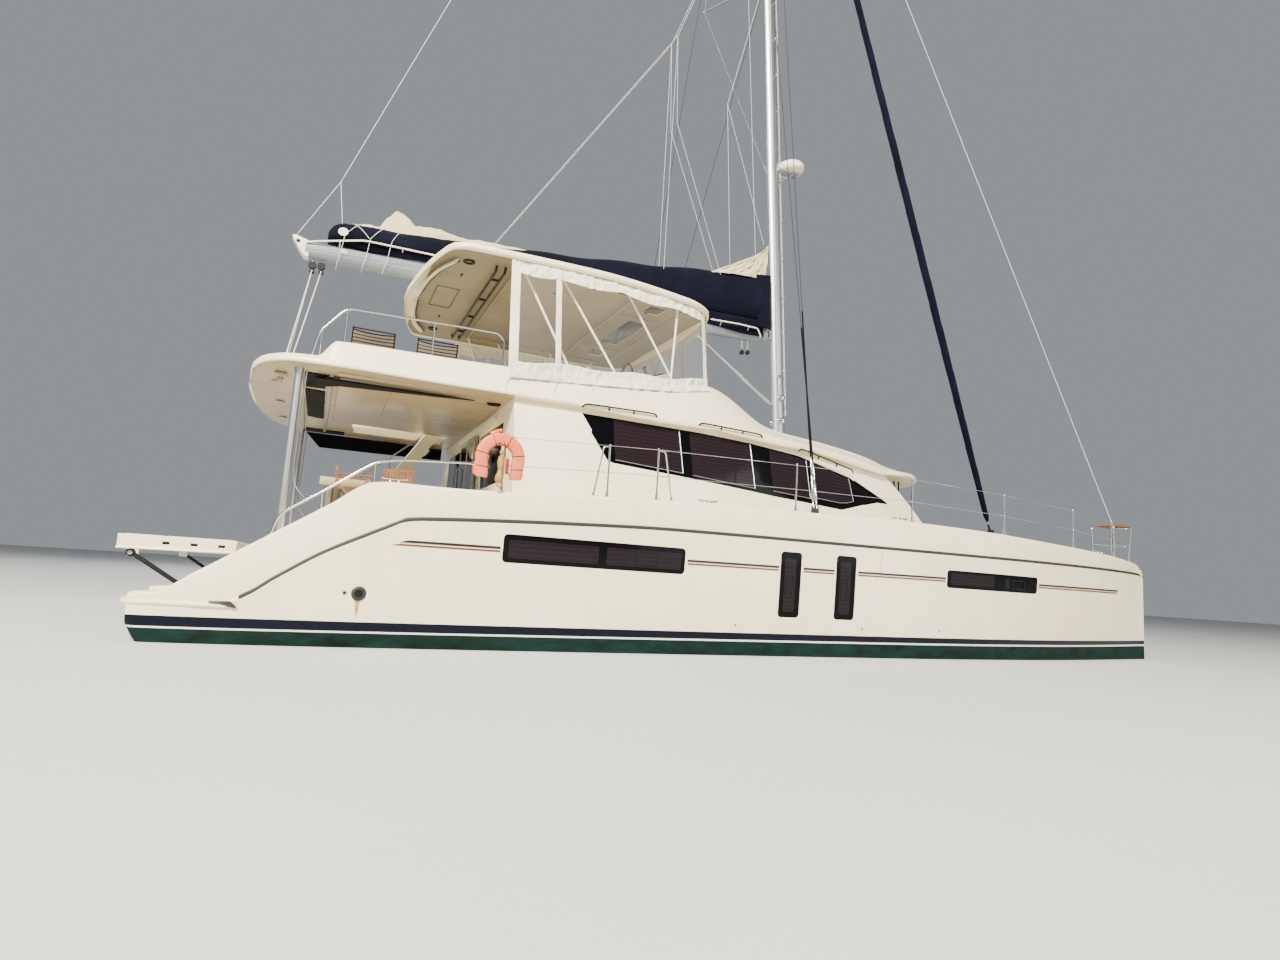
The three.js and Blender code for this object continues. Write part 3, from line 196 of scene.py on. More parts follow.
def embossed(tree, shader, pattern, depth_mm, strength=0.6):
    """Relief of a pattern, depth_mm high."""
    relief = add_node(tree, "ShaderNodeBump", {"Distance": depth_mm / 1000, "Strength": strength},
                      {"Height": pattern})
    tree.links.new(relief.outputs["Normal"], shader.inputs["Normal"])


def worn(name, low, high, roughness, patch_mm=900, grain_mm=6, grain_depth_mm=0.2, stretch=(1, 1, 1),
         **sockets):
    """A surface whose colour and gloss wander in large soft patches over a fine grain."""
    made, tree, shader = finish_of(name, high, roughness[0], **sockets)
    patches = cloudy(tree, patch_mm, 5, stretch)
    tree.links.new(shaded_between(tree, patches, low, high), shader.inputs["Base Color"])
    tree.links.new(spread(tree, patches, roughness[1], roughness[0]), shader.inputs["Roughness"])
    embossed(tree, shader, cloudy(tree, grain_mm, 2), grain_depth_mm)
    return made


def painted_floor():
    """Matt studio paint: pale, no gloss, a faint drift of tone."""
    return worn("matt_studio_paint", "#B4B5B5", "#BBBCBC", (0.85, 0.95), patch_mm=6000)


def hull_gelcoat(name):
    """Polyester gelcoat sprayed in a mould: warm white, glossy, with faint vertical run-off stains.

    The boot stripe, the white line under it and the matt antifouling rise a little to the bows."""
    made, tree, shader = finish_of(name, "#F0ECE1", 0.22, IOR=1.5, Specular_IOR_Level=0.16)
    place = add_node(tree, "ShaderNodeSeparateXYZ", None,
                     {"Vector": add_node(tree, "ShaderNodeTexCoord").outputs["Object"]}).outputs
    broad = cloudy(tree, 1600, 4)
    runs = cloudy(tree, 260, 5, (1, 1, 0.16))
    body = shaded_between(tree, broad, "#EFE2BA", "#F8EFD0")
    stained = add_node(tree, "ShaderNodeMix", {"Factor": 0.16}, {"A": body, "B": shaded_between(
        tree, runs, "#CDB37E", "#F8EFD0", 0.28, 0.5)}, data_type="RGBA").outputs["Result"]
    # Height of each edge amidships, its rise per metre towards the bows, and the colour below it.
    edges = [(0.323, 0.0052, "#04071A"), (0.230, 0.0072, "#E4E2DA"), (0.205, 0.0065, "#0A2622")]
    colour = stained
    rough = spread(tree, broad, 0.34, 0.24)
    for height, rise, below in edges:
        line = add_node(tree, "ShaderNodeMath", {1: rise, 2: height}, {0: place["X"]},
                        operation="MULTIPLY_ADD")
        under = add_node(tree, "ShaderNodeMath", None, {0: place["Z"], 1: line.outputs[0]},
                         operation="LESS_THAN")
        patch = shaded_between(tree, cloudy(tree, 300, 5), below, below)
        colour = add_node(tree, "ShaderNodeMix", None, {"Factor": under.outputs[0], "A": colour, "B": patch},
                          data_type="RGBA").outputs["Result"]
    scum = cloudy(tree, 120, 6, (0.4, 0.4, 1))
    growth = shaded_between(tree, scum, "#03110F", "#0B2A25")
    colour = add_node(tree, "ShaderNodeMix", None, {"Factor": under.outputs[0], "A": colour, "B": growth},
                      data_type="RGBA").outputs["Result"]
    rough = add_node(tree, "ShaderNodeMix", {"B": 0.75},
                     {"Factor": under.outputs[0], "A": rough}).outputs["Result"]
    tree.links.new(colour, shader.inputs["Base Color"])
    tree.links.new(rough, shader.inputs["Roughness"])
    embossed(tree, shader, cloudy(tree, 700, 2), 1.2, 0.35)
    return made


FINISHES = {
    # Deck gelcoat: warm white, a little chalked by the sun.
    "deck_gelcoat": lambda name: worn(name, "#EBDFBC", "#F5ECD2", (0.28, 0.4), 1300, 40, 0.25, IOR=1.5),
    # Moulded non-slip: the same gelcoat with a matt, pebbled face.
    "nonslip_gelcoat": lambda name: worn(name, "#D6CDB4", "#E0D9C4", (0.6, 0.75), 900, 9, 1.2, IOR=1.5),
    # Headlining gelcoat: smooth, half gloss, painted dark beige to stand for the shade under the overhang.
    "ceiling_gelcoat": lambda name: worn(name, "#94866C", "#A6977B", (0.25, 0.38), 1000, 30, 0.2, IOR=1.5),
    # Headlining vinyl of the hardtop: greyish beige, matt, made darker as painted shade under the hardtop.
    "headlining_vinyl": lambda name: worn(name, "#7E745E", "#8C826A", (0.55, 0.7), 900, 6, 0.2, IOR=1.5),
    # Gold-tan nylon of the throwing line's bag: soft shine, dull folds.
    "gold_nylon": lambda name: worn(name, "#7E5E22", "#B08A3E", (0.45, 0.6), 90, 7, 0.5, IOR=1.52),
    # Cast acrylic window, black band: deep gloss with no grain.
    "black_acrylic": lambda name: worn(name, "#030305", "#07070A", (0.06, 0.12), 700, 50, 0.05, IOR=1.49,
                                       Specular_IOR_Level=0.12),
    # Acrylic canvas of the sail bag and the sun strip: deep navy, dull, faded in patches.
    "navy_canvas": lambda name: canvas(name, "#01020C", "#04071C"),
    # White awning cloth round the clear sheets: slightly soiled.
    "white_canvas": lambda name: canvas(name, "#CFC9B6", "#EAE6D6"),
    # Polyester sailcloth: cream with age.
    "sailcloth": lambda name: canvas(name, "#B8AB88", "#D2C6A4"),
    # Oat-coloured upholstery of the seats.
    "oat_upholstery": lambda name: canvas(name, "#A69F92", "#BDB6A8"),
    # Taupe mesh of the folding chairs.
    "taupe_mesh": lambda name: canvas(name, "#5B5044", "#72675A"),
    # Black woven webbing.
    "black_webbing": lambda name: canvas(name, "#060607", "#0F1012"),
    # Anodised aluminium: satin grey, faint streaks along the extrusion.
    "anodised_aluminium": lambda name: worn(name, "#A9ADB0", "#C6C9CB", (0.32, 0.45), 500, 12, 0.1,
                                            (1, 1, 0.2), Metallic=1.0),
    # Polished stainless tube: bright, with light tea stains.
    "polished_stainless": lambda name: worn(name, "#B5B4B0", "#D2D4D6", (0.12, 0.24), 160, 20, 0.05,
                                            Metallic=1.0),
    # Anodised tube in dark bronze: satin brown metal.
    "bronze_tube": lambda name: worn(name, "#2A2118", "#3E3124", (0.3, 0.42), 200, 12, 0.1, Metallic=1.0),
    # Moulded black nylon and rubber: dull, slightly greyed.
    "black_nylon": lambda name: worn(name, "#040405", "#0A0A0C", (0.4, 0.55), 120, 5, 0.2, IOR=1.53,
                                     Specular_IOR_Level=0.25),
    # Oiled teak: warm brown with long fine grain.
    "oiled_teak": lambda name: worn(name, "#6A3E1E", "#935F36", (0.5, 0.65), 60, 9, 0.6, (0.12, 1, 1),
                                    IOR=1.45),
    # Faded vinyl cover of the horseshoe float: salmon, matt, sun-bleached in patches.
    "salmon_vinyl": lambda name: worn(name, "#CC5838", "#DE7650", (0.5, 0.7), 180, 8, 0.5, IOR=1.5),
    # Manganese bronze castings: brown gold, dulled.
    "cast_bronze": lambda name: worn(name, "#7A5A32", "#A8834C", (0.35, 0.5), 90, 6, 0.3, Metallic=1.0),
    # Matt paint of the silver boom: blue grey, a painted reflection of the sky on the metal.
    "silver_paint": lambda name: worn(name, "#6C747D", "#7D858E", (0.35, 0.5), 600, 12, 0.1, IOR=1.5),
    # White powder coating on tubes and castings: even, half gloss.
    "white_powder_coat": lambda name: worn(name, "#DAD3C0", "#EAE4D2", (0.3, 0.42), 300, 10, 0.1, IOR=1.5),
    # Rubbing strip of grey-brown rubber.
    "grey_rubber": lambda name: worn(name, "#1B1A17", "#27251F", (0.5, 0.6), 400, 10, 0.2, IOR=1.52),
    # Antifouling paint on the foils: matt dark green.
    "antifouling_paint": lambda name: worn(name, "#04120F", "#0C2C27", (0.75, 0.85), 250, 12, 0.8, IOR=1.45),
    # Braided polyester rope: white, painted grey in the braid's grooves as shade.
    "white_rope": lambda name: rope(name, "#CFCDC5", "#EDEBE4"),
    # The same rope in navy and black, darker in the braid's grooves as painted shade.
    "dark_rope": lambda name: rope(name, "#14161F", "#2A2E3C"),
    # Solar cells under glass: blue black, glossy.
    "solar_glass": lambda name: worn(name, "#05081A", "#0B1030", (0.08, 0.14), 160, 30, 0.05, IOR=1.5,
                                     Specular_IOR_Level=0.2),
    # Screen glass of the instruments: dark and glossy.
    "screen_glass": lambda name: worn(name, "#0A0F14", "#12202A", (0.05, 0.1), 60, 30, 0.02, IOR=1.5),
    # Moulded orange plastic of the float's lights: bright, half gloss.
    "orange_plastic": lambda name: worn(name, "#D9501E", "#EE6A2E", (0.3, 0.4), 40, 20, 0.1, IOR=1.49),
    # Moulded red plastic of the port lamp and the float's handle.
    "red_plastic": lambda name: worn(name, "#8E1D14", "#B5301F", (0.25, 0.35), 40, 20, 0.1, IOR=1.49),
    # Moulded green plastic of the starboard lamp.
    "green_plastic": lambda name: worn(name, "#0F5A33", "#1B7B48", (0.25, 0.35), 40, 20, 0.1, IOR=1.49),
    # Pinstripe vinyl tape, dark brown and dull red.
    "brown_tape": lambda name: worn(name, "#14100D", "#201914", (0.3, 0.4), 400, 20, 0.02, IOR=1.5),
    "red_tape": lambda name: worn(name, "#5A2218", "#6E2E20", (0.3, 0.4), 400, 20, 0.02, IOR=1.5),
    # Wet rust weeping from a fitting.
    "rust_stain": lambda name: worn(name, "#A8732C", "#CBA55C", (0.4, 0.6), 60, 10, 0.05, (1, 1, 0.3),
                                    IOR=1.5),
    # Varnished oak joinery of the saloon.
    "oak_joinery": lambda name: worn(name, "#8F7350", "#B0946C", (0.3, 0.4), 90, 14, 0.2, (1, 1, 0.15),
                                     IOR=1.5),
}


def canvas(name, low, high):
    """Woven cloth: dull, slightly fuzzy. Its threads are drawn 9 mm wide, coarser than real, so they show."""
    made, tree, shader = finish_of(name, high, 0.85, Sheen_Weight=0.02, Sheen_Roughness=0.5, IOR=1.46,
                                   Specular_IOR_Level=0.12)
    weave = woven(tree, 9)
    fade = cloudy(tree, 700, 5)
    tree.links.new(shaded_between(tree, fade, low, high), shader.inputs["Base Color"])
    tree.links.new(spread(tree, fade, 0.92, 0.78), shader.inputs["Roughness"])
    embossed(tree, shader, weave, 0.8, 0.5)
    return made


def rope(name, low, high):
    """Braided polyester: a slanting braid 12 mm long, soft shine; painted shade darkens its grooves."""
    made, tree, shader = finish_of(name, high, 0.75, IOR=1.5)
    braid = woven(tree, 12)
    tree.links.new(shaded_between(tree, braid, low, high, 0.1, 0.6), shader.inputs["Base Color"])
    embossed(tree, shader, braid, 1.5, 0.7)
    return made


def blind_glass(name):
    """Glossy tinted acrylic, blinds close behind: purple grey, its pleats 60 mm apart in painted shade."""
    made, tree, shader = finish_of(name, "#3A3140", 0.08, IOR=1.49, Specular_IOR_Level=0.15)
    # The pleats are painted light and shade: faint level bands of lighter and darker colour.
    pleats = stripes(tree, 60, (0, 90, 0))
    tree.links.new(shaded_between(tree, pleats, "#181216", "#1E171B", 0.15, 0.9),
                   shader.inputs["Base Color"])
    tree.links.new(spread(tree, cloudy(tree, 300, 3), 0.12, 0.06), shader.inputs["Roughness"])
    return made


def tinted_glass(name):
    """Tinted cast acrylic that shows the room dimly: purple brown, clear, glossy."""
    made, tree, shader = finish_of(name, "#4B3B47", 0.05, IOR=1.49, Transmission_Weight=0.85)
    tree.links.new(shaded_between(tree, cloudy(tree, 900, 3), "#46363F", "#54424D"),
                   shader.inputs["Base Color"])
    tree.links.new(spread(tree, cloudy(tree, 500, 2), 0.08, 0.04), shader.inputs["Roughness"])
    return made


def clear_vinyl(name):
    """Clear vinyl sheet: almost invisible, with soft waves that catch the light and a faint milky age."""
    made, tree, shader = finish_of(name, "#E9E6DC", 0.12, IOR=1.3, Alpha=0.05)
    tree.links.new(shaded_between(tree, cloudy(tree, 600, 3), "#E2DED2", "#F2F0E8"),
                   shader.inputs["Base Color"])
    tree.links.new(spread(tree, cloudy(tree, 300, 2), 0.22, 0.08), shader.inputs["Roughness"])
    embossed(tree, shader, cloudy(tree, 260, 2, (1, 1, 0.5)), 14, 0.5)
    return made


def netting(name):
    """Knotted polyester net: dark twine on a 40 mm mesh, with holes between."""
    made, tree, shader = finish_of(name, "#2A2D31", 0.85, IOR=1.5)
    place = add_node(tree, "ShaderNodeSeparateXYZ", None,
                     {"Vector": add_node(tree, "ShaderNodeTexCoord").outputs["Object"]}).outputs
    threads = []
    for axis in ("X", "Y"):
        cells = add_node(tree, "ShaderNodeMath", {1: 1000 / 40}, {0: place[axis]}, operation="MULTIPLY")
        share = add_node(tree, "ShaderNodeMath", None, {0: cells.outputs[0]}, operation="FRACT")
        threads.append(add_node(tree, "ShaderNodeMath", {1: 0.3}, {0: share.outputs[0]},
                                operation="LESS_THAN"))
    either = add_node(tree, "ShaderNodeMath", None, {0: threads[0].outputs[0], 1: threads[1].outputs[0]},
                      operation="MAXIMUM")
    tree.links.new(either.outputs[0], shader.inputs["Alpha"])
    tree.links.new(shaded_between(tree, cloudy(tree, 200, 4), "#1F2225", "#34383D"),
                   shader.inputs["Base Color"])
    return made


FINISHES.update({"hull_gelcoat": hull_gelcoat, "blind_glass": blind_glass, "tinted_glass": tinted_glass,
                 "clear_vinyl": clear_vinyl, "netting": netting})
made_finishes = {}


def finish(name):
    """The material of that name, made when it is first asked for."""
    if name not in made_finishes:
        made_finishes[name] = FINISHES[name](name)
    return made_finishes[name]


# Modelling helpers

def piece_from(name, bm, material, body="boat", stands_for=(), slot=None, angle=38, bevel=0, solid=0,
               levels=0, doubles=0.0002):
    """A finished piece from a bmesh: doubles merged, faces outwards, smooth where edges are under angle."""
    bmesh.ops.remove_doubles(bm, verts=bm.verts, dist=doubles)
    bmesh.ops.recalc_face_normals(bm, faces=bm.faces)
    limit = math.radians(angle)
    for edge in bm.edges:
        edge.smooth = len(edge.link_faces) != 2 or edge.calc_face_angle(0) < limit
    for face in bm.faces:
        face.smooth = True
    mesh = bpy.data.meshes.new(name)
    bm.to_mesh(mesh)
    bm.free()
    piece = bpy.data.objects.new(name, mesh)
    bpy.context.scene.collection.objects.link(piece)
    for one in material if isinstance(material, (list, tuple)) else [material]:
        mesh.materials.append(one)
    if solid:
        wall = piece.modifiers.new("wall", "SOLIDIFY")
        wall.thickness = solid / 1000
        wall.offset = 0
    if bevel:
        edge_round = piece.modifiers.new("rounded_edges", "BEVEL")
        edge_round.width = bevel / 1000
        edge_round.segments = 2
        edge_round.angle_limit = math.radians(50)
    if levels:
        smooth = piece.modifiers.new("smoothed", "SUBSURF")
        smooth.levels = smooth.render_levels = levels
    if body:
        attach(piece, body)
    if stands_for:
        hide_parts(*stands_for)
    return piece


def curve_through(rows, column):
    """A monotone curve through a table's column, as a function of its first column."""
    xs, ys = [row[0] for row in rows], [row[column] for row in rows]
    steps = [(ys[k + 1] - ys[k]) / (xs[k + 1] - xs[k]) for k in range(len(xs) - 1)]
    slopes = [steps[0]] + [0 if a * b <= 0 else 2 * a * b / (a + b)
                           for a, b in zip(steps, steps[1:])] + [steps[-1]]

    def value(x):
        k = max(0, min(len(xs) - 2, sum(x >= edge for edge in xs) - 1))
        wide = xs[k + 1] - xs[k]
        t = min(max((x - xs[k]) / wide, 0), 1)
        return (ys[k] * (1 + 2 * t) * (1 - t) ** 2 + ys[k + 1] * t * t * (3 - 2 * t)
                + wide * (slopes[k] * t * (1 - t) ** 2 + slopes[k + 1] * t * t * (t - 1)))
    return value


def straight_through(rows, column):
    """Straight lines through a table's column, as a function of its first column."""
    def value(x):
        k = max(0, min(len(rows) - 2, sum(x >= row[0] for row in rows) - 1))
        (x0, y0), (x1, y1) = ((rows[j][0], rows[j][column]) for j in (k, k + 1))
        return y0 + (y1 - y0) * min(max((x - x0) / (x1 - x0), 0), 1)
    return value


def steps_between(first, last, count):
    """Evenly spaced values, both ends included."""
    return [first + (last - first) * k / (count - 1) for k in range(count)]


def loft(rings, closed=True, capped=True):
    """A skin whose edges are extruded from ring to ring, each end closed by one face."""
    bm = bmesh.new()
    ring = [bm.verts.new(point) for point in rings[0]]
    around = list(zip(ring, ring[1:] + ring[:1])) if closed else list(zip(ring, ring[1:]))
    edges = [bm.edges.new(pair) for pair in around]
    if capped:
        bmesh.ops.contextual_create(bm, geom=edges)
    for points in rings[1:]:
        made = bmesh.ops.extrude_edge_only(bm, edges=edges)["geom"]
        fresh = {part for part in made if isinstance(part, bmesh.types.BMVert)}
        ring = [next(e.other_vert(v) for e in v.link_edges if e.other_vert(v) in fresh) for v in ring]
        for vert, point in zip(ring, points):
            vert.co = point
        edges = [part for part in made
                 if isinstance(part, bmesh.types.BMEdge) and fresh.issuperset(part.verts)]
    if capped:
        bmesh.ops.contextual_create(bm, geom=edges)
    return bm


def add_in(bm, *others):
    """Joins other shapes into the first."""
    for other in others:
        mesh = bpy.data.meshes.new("part")
        other.to_mesh(mesh)
        other.free()
        bm.from_mesh(mesh)
        bpy.data.meshes.remove(mesh)
    return bm


def joined(shapes):
    """Several shapes as one."""
    return add_in(bmesh.new(), *shapes)


def placed(bm, place=(0, 0, 0), turn=None):
    """A shape turned about the frame's origin, then moved."""
    if turn is not None:
        bmesh.ops.transform(bm, matrix=turn.to_4x4(), verts=bm.verts)
    bmesh.ops.translate(bm, vec=place, verts=bm.verts)
    return bm


def block(s0, s1, y0, y1, z0, z1, round_mm=0, segments=2, turn=None):
    """A box between stations, sides and heights, its edges rounded."""
    bm = bmesh.new()
    bmesh.ops.create_cube(bm, size=1)
    bmesh.ops.scale(bm, vec=Vector((s1 - s0, y1 - y0, z1 - z0)) / 1000, verts=bm.verts)
    if round_mm:
        bmesh.ops.bevel(bm, geom=list(bm.edges), offset=round_mm / 1000, segments=segments, profile=0.5,
                        affect="EDGES", material=-1)
    return placed(bm, at((s0 + s1) / 2, (y0 + y1) / 2, (z0 + z1) / 2), turn)


def plate(outline, depth, round_mm=0, segments=4, edge_mm=0):
    """A flat face through points in metres, its corners rounded, given a depth along a vector."""
    bm = bmesh.new()
    corners = [bm.verts.new(point) for point in outline]
    face = bm.faces.new(corners)
    if round_mm:
        bmesh.ops.bevel(bm, geom=corners, offset=round_mm / 1000, segments=segments, profile=0.5,
                        affect="VERTICES", material=-1)
    face = bm.faces[:][0]
    made = bmesh.ops.extrude_face_region(bm, geom=[face], use_keep_orig=True)["geom"]
    fresh = [part for part in made if isinstance(part, bmesh.types.BMVert)]
    bmesh.ops.translate(bm, vec=depth, verts=fresh)
    bmesh.ops.recalc_face_normals(bm, faces=bm.faces)
    if edge_mm:
        rim = [edge for edge in bm.edges if edge.calc_face_angle(0) > 1]
        bmesh.ops.bevel(bm, geom=rim, offset=edge_mm / 1000, segments=2, profile=0.5, affect="EDGES",
                        material=-1)
    return bm


def turned(profile, place, axis=(0, 0, 1), sides=32):
    """A shape turned from (radius, height) points in millimetres, its own axis then laid along axis."""
    bm = bmesh.new()
    chain = [bm.verts.new((radius / 1000, 0, height / 1000)) for radius, height in profile]
    edges = [bm.edges.new(pair) for pair in zip(chain, chain[1:])]
    bmesh.ops.spin(bm, geom=chain + edges, cent=(0, 0, 0), axis=(0, 0, 1), angle=math.tau, steps=sides,
                   use_merge=True)
    bmesh.ops.remove_doubles(bm, verts=bm.verts, dist=1e-5)
    lean = Vector((0, 0, 1)).rotation_difference(Vector(axis)).to_matrix()
    return placed(bm, place, lean)


def rounded_path(points, bend_mm):
    """Points of a line with each inner corner rounded off."""
    path = [points[0]]
    for before, corner, after in zip(points, points[1:], points[2:]):
        back, forth = before - corner, after - corner
        reach = min(bend_mm / 1000, back.length * 0.45, forth.length * 0.45)
        start, end = corner + back.normalized() * reach, corner + forth.normalized() * reach
        for k in range(6):
            t = k / 5
            path.append(start * (1 - t) ** 2 + corner * 2 * t * (1 - t) + end * t * t)
    return path + [points[-1]]


def tube(points, radius, bend_mm=60, sides=10, squash=1.0, tip=None):
    """A round tube along points in metres, with rounded bends and closed ends."""
    path = rounded_path([Vector(point) for point in points], bend_mm) if len(points) > 2 else [
        Vector(point) for point in points]
    path = [path[0]] + [point for last, point in zip(path, path[1:]) if (point - last).length > 1e-5]
    ahead = [(b - a).normalized() for a, b in zip([path[0]] + path[:-1], path[1:] + [path[-1]])
             if (b - a).length > 0]
    ahead = [ahead[0]] + [(path[k + 1] - path[k - 1]).normalized() for k in range(1, len(path) - 1)] + [
        (path[-1] - path[-2]).normalized()]
    side = ahead[0].orthogonal().normalized()
    rings = []
    for k, (centre, along) in enumerate(zip(path, ahead)):
        side = (side - along * side.dot(along)).normalized()
        up = along.cross(side)
        share = k / (len(path) - 1)
        size = (radius + ((tip if tip is not None else radius) - radius) * share) / 1000
        rings.append([centre + size * (math.cos(a) * side + squash * math.sin(a) * up)
                      for a in (math.tau * j / sides for j in range(sides))])
    return loft(rings)


def tubes(runs, radius, bend_mm=60, sides=10):
    """Several tubes as one shape."""
    return joined([tube(run, radius, bend_mm, sides) for run in runs])


def mirrored(bm):
    """The same shape on the other side of the boat."""
    twin = bm.copy()
    bmesh.ops.scale(twin, vec=(1, -1, 1), verts=twin.verts)
    bmesh.ops.reverse_faces(twin, faces=twin.faces)
    return twin


def pair_of(make, name, material, **how):
    """A starboard piece and its port twin, named for their sides; stands_for is given without the side."""
    stands_for = how.pop("stands_for", ())
    body = how.pop("body", "boat")
    made = []
    for side in PAIR:
        bm = make() if side == "starboard" else mirrored(make())
        made.append(piece_from(f"{name}_{side}", bm, material,
                               stands_for=[f"{n}_{side}" for n in stands_for], body=body.format(side=side),
                               **how))
    return made


def temporary(bm):
    """An object for a cut, from a bmesh."""
    bmesh.ops.recalc_face_normals(bm, faces=bm.faces)
    mesh = bpy.data.meshes.new("tool")
    bm.to_mesh(mesh)
    bm.free()
    tool = bpy.data.objects.new("tool", mesh)
    bpy.context.scene.collection.objects.link(tool)
    return tool


def carved(bm, *tools):
    """A closed shape with others cut out of it."""
    body = temporary(bm)
    cutters = [temporary(tool) for tool in tools]
    for cutter in cutters:
        step = body.modifiers.new("cut", "BOOLEAN")
        step.operation = "DIFFERENCE"
        step.solver = "EXACT"
        step.object = cutter
    bpy.context.view_layer.update()
    result = bpy.data.meshes.new_from_object(body.evaluated_get(bpy.context.evaluated_depsgraph_get()))
    left = bmesh.new()
    left.from_mesh(result)
    for one in [body, *cutters]:
        mesh = one.data
        bpy.data.objects.remove(one)
        bpy.data.meshes.remove(mesh)
    bpy.data.meshes.remove(result)
    return left


def softened(node, material, round_mm=8, angle=30, **how):
    """A CAD node's own shape, merged, with rounded edges and a finish."""
    bm = bmesh.new()
    bm.from_mesh(frame["nodes"][node].data)
    bmesh.ops.remove_doubles(bm, verts=bm.verts, dist=0.00005)
    bmesh.ops.dissolve_limit(bm, angle_limit=math.radians(0.4), verts=bm.verts, edges=bm.edges)
    body = next(name for name, nodes in frame["record"]["behaviour"]["bodies"].items() if node in nodes)
    return piece_from(f"{node}_dressed", bm, material, body=body, stands_for=(node,), bevel=round_mm,
                      angle=angle, **how)


def draped(outline, skin, offset_mm, depth_mm, round_mm=0, cell_mm=120, shrink_mm=0, corner_steps=4):
    """A plate that follows a skin, from (station, height) points; skin gives the half breadth there.

    The face lies offset_mm outside the skin, the back depth_mm further in and shrink_mm smaller all round."""
    bm = bmesh.new()
    corners = [bm.verts.new((s / 1000, 0, z / 1000)) for s, z in outline]
    bm.faces.new(corners)
    if round_mm:
        bmesh.ops.bevel(bm, geom=corners, offset=round_mm / 1000, segments=corner_steps, profile=0.5,
                        affect="VERTICES", material=-1)
    lows = [min(v.co[k] for v in bm.verts) for k in (0, 2)]
    highs = [max(v.co[k] for v in bm.verts) for k in (0, 2)]
    for k, normal in ((0, (1, 0, 0)), (1, (0, 0, 1))):
        cell = cell_mm / 1000
        for cut in range(1, int((highs[k] - lows[k]) / cell) + 1):
            point = [lows[0] + cut * cell, 0, 0] if k == 0 else [0, 0, lows[1] + cut * cell]
            bmesh.ops.bisect_plane(bm, geom=list(bm.verts) + list(bm.edges) + list(bm.faces), plane_co=point,
                                   plane_no=normal, dist=1e-6)
    front = list(bm.verts)
    made = bmesh.ops.extrude_face_region(bm, geom=list(bm.faces), use_keep_orig=True)["geom"]
    back = {part for part in made if isinstance(part, bmesh.types.BMVert)}
    middle = [(low + high) / 2 for low, high in zip(lows, highs)]
    half = [(high - low) / 2 for low, high in zip(lows, highs)]
    shares = [1 - shrink_mm / 1000 / size for size in half]
    for vert in front + list(back):
        s, z = vert.co.x, vert.co.z
        reach = skin(s * 1000, z * 1000) / 1000
        if vert in back:
            s, z = middle[0] + (s - middle[0]) * shares[0], middle[1] + (z - middle[1]) * shares[1]
            reach -= depth_mm / 1000
        vert.co = (s - MIDSHIP / 1000, -(reach + offset_mm / 1000), z)
    bmesh.ops.recalc_face_normals(bm, faces=bm.faces)
    return bm


def rectangle(s0, s1, z0, z1):
    """Corners of an upright rectangle as (station, height) points."""
    return [(s0, z0), (s1, z0), (s1, z1), (s0, z1)]


def frame_strip(outline, skin, offset_mm, depth_mm, width_mm, round_mm=0):
    """A flat strip that runs round the inside of an outline on a skin."""
    return carved(draped(outline, skin, offset_mm, depth_mm, round_mm),
                  draped(inset(outline, width_mm), skin, offset_mm + 20, depth_mm + 40,
                         max(round_mm - width_mm, 0)))


def inset(outline, distance):
    """An outline drawn in by a distance on every side; its points run round it."""
    area = sum(a[0] * b[1] - b[0] * a[1] for a, b in zip(outline, outline[1:] + outline[:1]))
    sense = 1 if area > 0 else -1
    moved = []
    for before, corner, after in zip(outline[-1:] + outline[:-1], outline, outline[1:] + outline[:1]):
        one = (Vector(corner) - Vector(before)).normalized()
        two = (Vector(after) - Vector(corner)).normalized()
        normals = [Vector((-one.y, one.x)) * sense, Vector((-two.y, two.x)) * sense]
        mean = normals[0] + normals[1]
        moved.append(tuple(Vector(corner) + mean * (distance / max(0.3, 1 + normals[0].dot(normals[1])))))
    return moved


def wander(point, size, seed=0):
    """A smooth random number between -1 and 1 at a point, changing over size metres."""
    return noise.noise(Vector(point) / size + Vector((seed * 7.31, seed * 3.17, 0)))


# Hulls

# Station, half breadth at the deck, half breadth afloat, deck edge, knuckle, bottom.
HULL_ROWS = [
    [200, 715, 655, 505, 395, 130], [330, 745, 690, 516, 398, -60], [460, 765, 715, 532, 402, -120],
    [730, 800, 750, 712, 410, -190], [1200, 860, 790, 1028, 490, -270], [1590, 900, 815, 1291, 757, -340],
    [2020, 940, 835, 1582, 1044, -410], [2460, 974, 848, 1878, 1274, -472],
    [2700, 983, 853, 1902, 1396, -502], [2870, 989, 857, 1901, 1478, -522],
    [3200, 1000, 865, 1900, 1508, -560], [4810, 1000, 880, 1970, 1594, -680],
    [6300, 1000, 880, 2035, 1643, -735], [8670, 1000, 870, 2090, 1658, -760],
    [10500, 1000, 850, 2118, 1664, -755], [12000, 975, 790, 2100, 1670, -735],
    [13000, 915, 715, 2070, 1675, -710], [14000, 811, 610, 2035, 1680, -675],
    [15000, 654, 470, 2005, 1684, -620], [16000, 439, 300, 1970, 1686, -545],
    [16800, 224, 150, 1925, 1686, -470], [17250, 90, 60, 1885, 1680, -390],
    [17500, 28, 22, 1735, 1640, -300],
]
deck_half, afloat_half, deck_edge, knuckle_height, keel_line = (
    curve_through(HULL_ROWS, k) for k in range(1, 6))
STEPS = [[100, 450], [1000, 725], [1330, 1000], [1660, 1275], [1990, SOLE]]
# Aft and fore station, sill and head of each window in the hull's side.
HULL_WINDOWS = [[4010, 6510, 1060, 1415], [8030, 8400, 550, 1490], [9010, 9390, 550, 1500],
                [11200, 13410, 1130, 1420]]


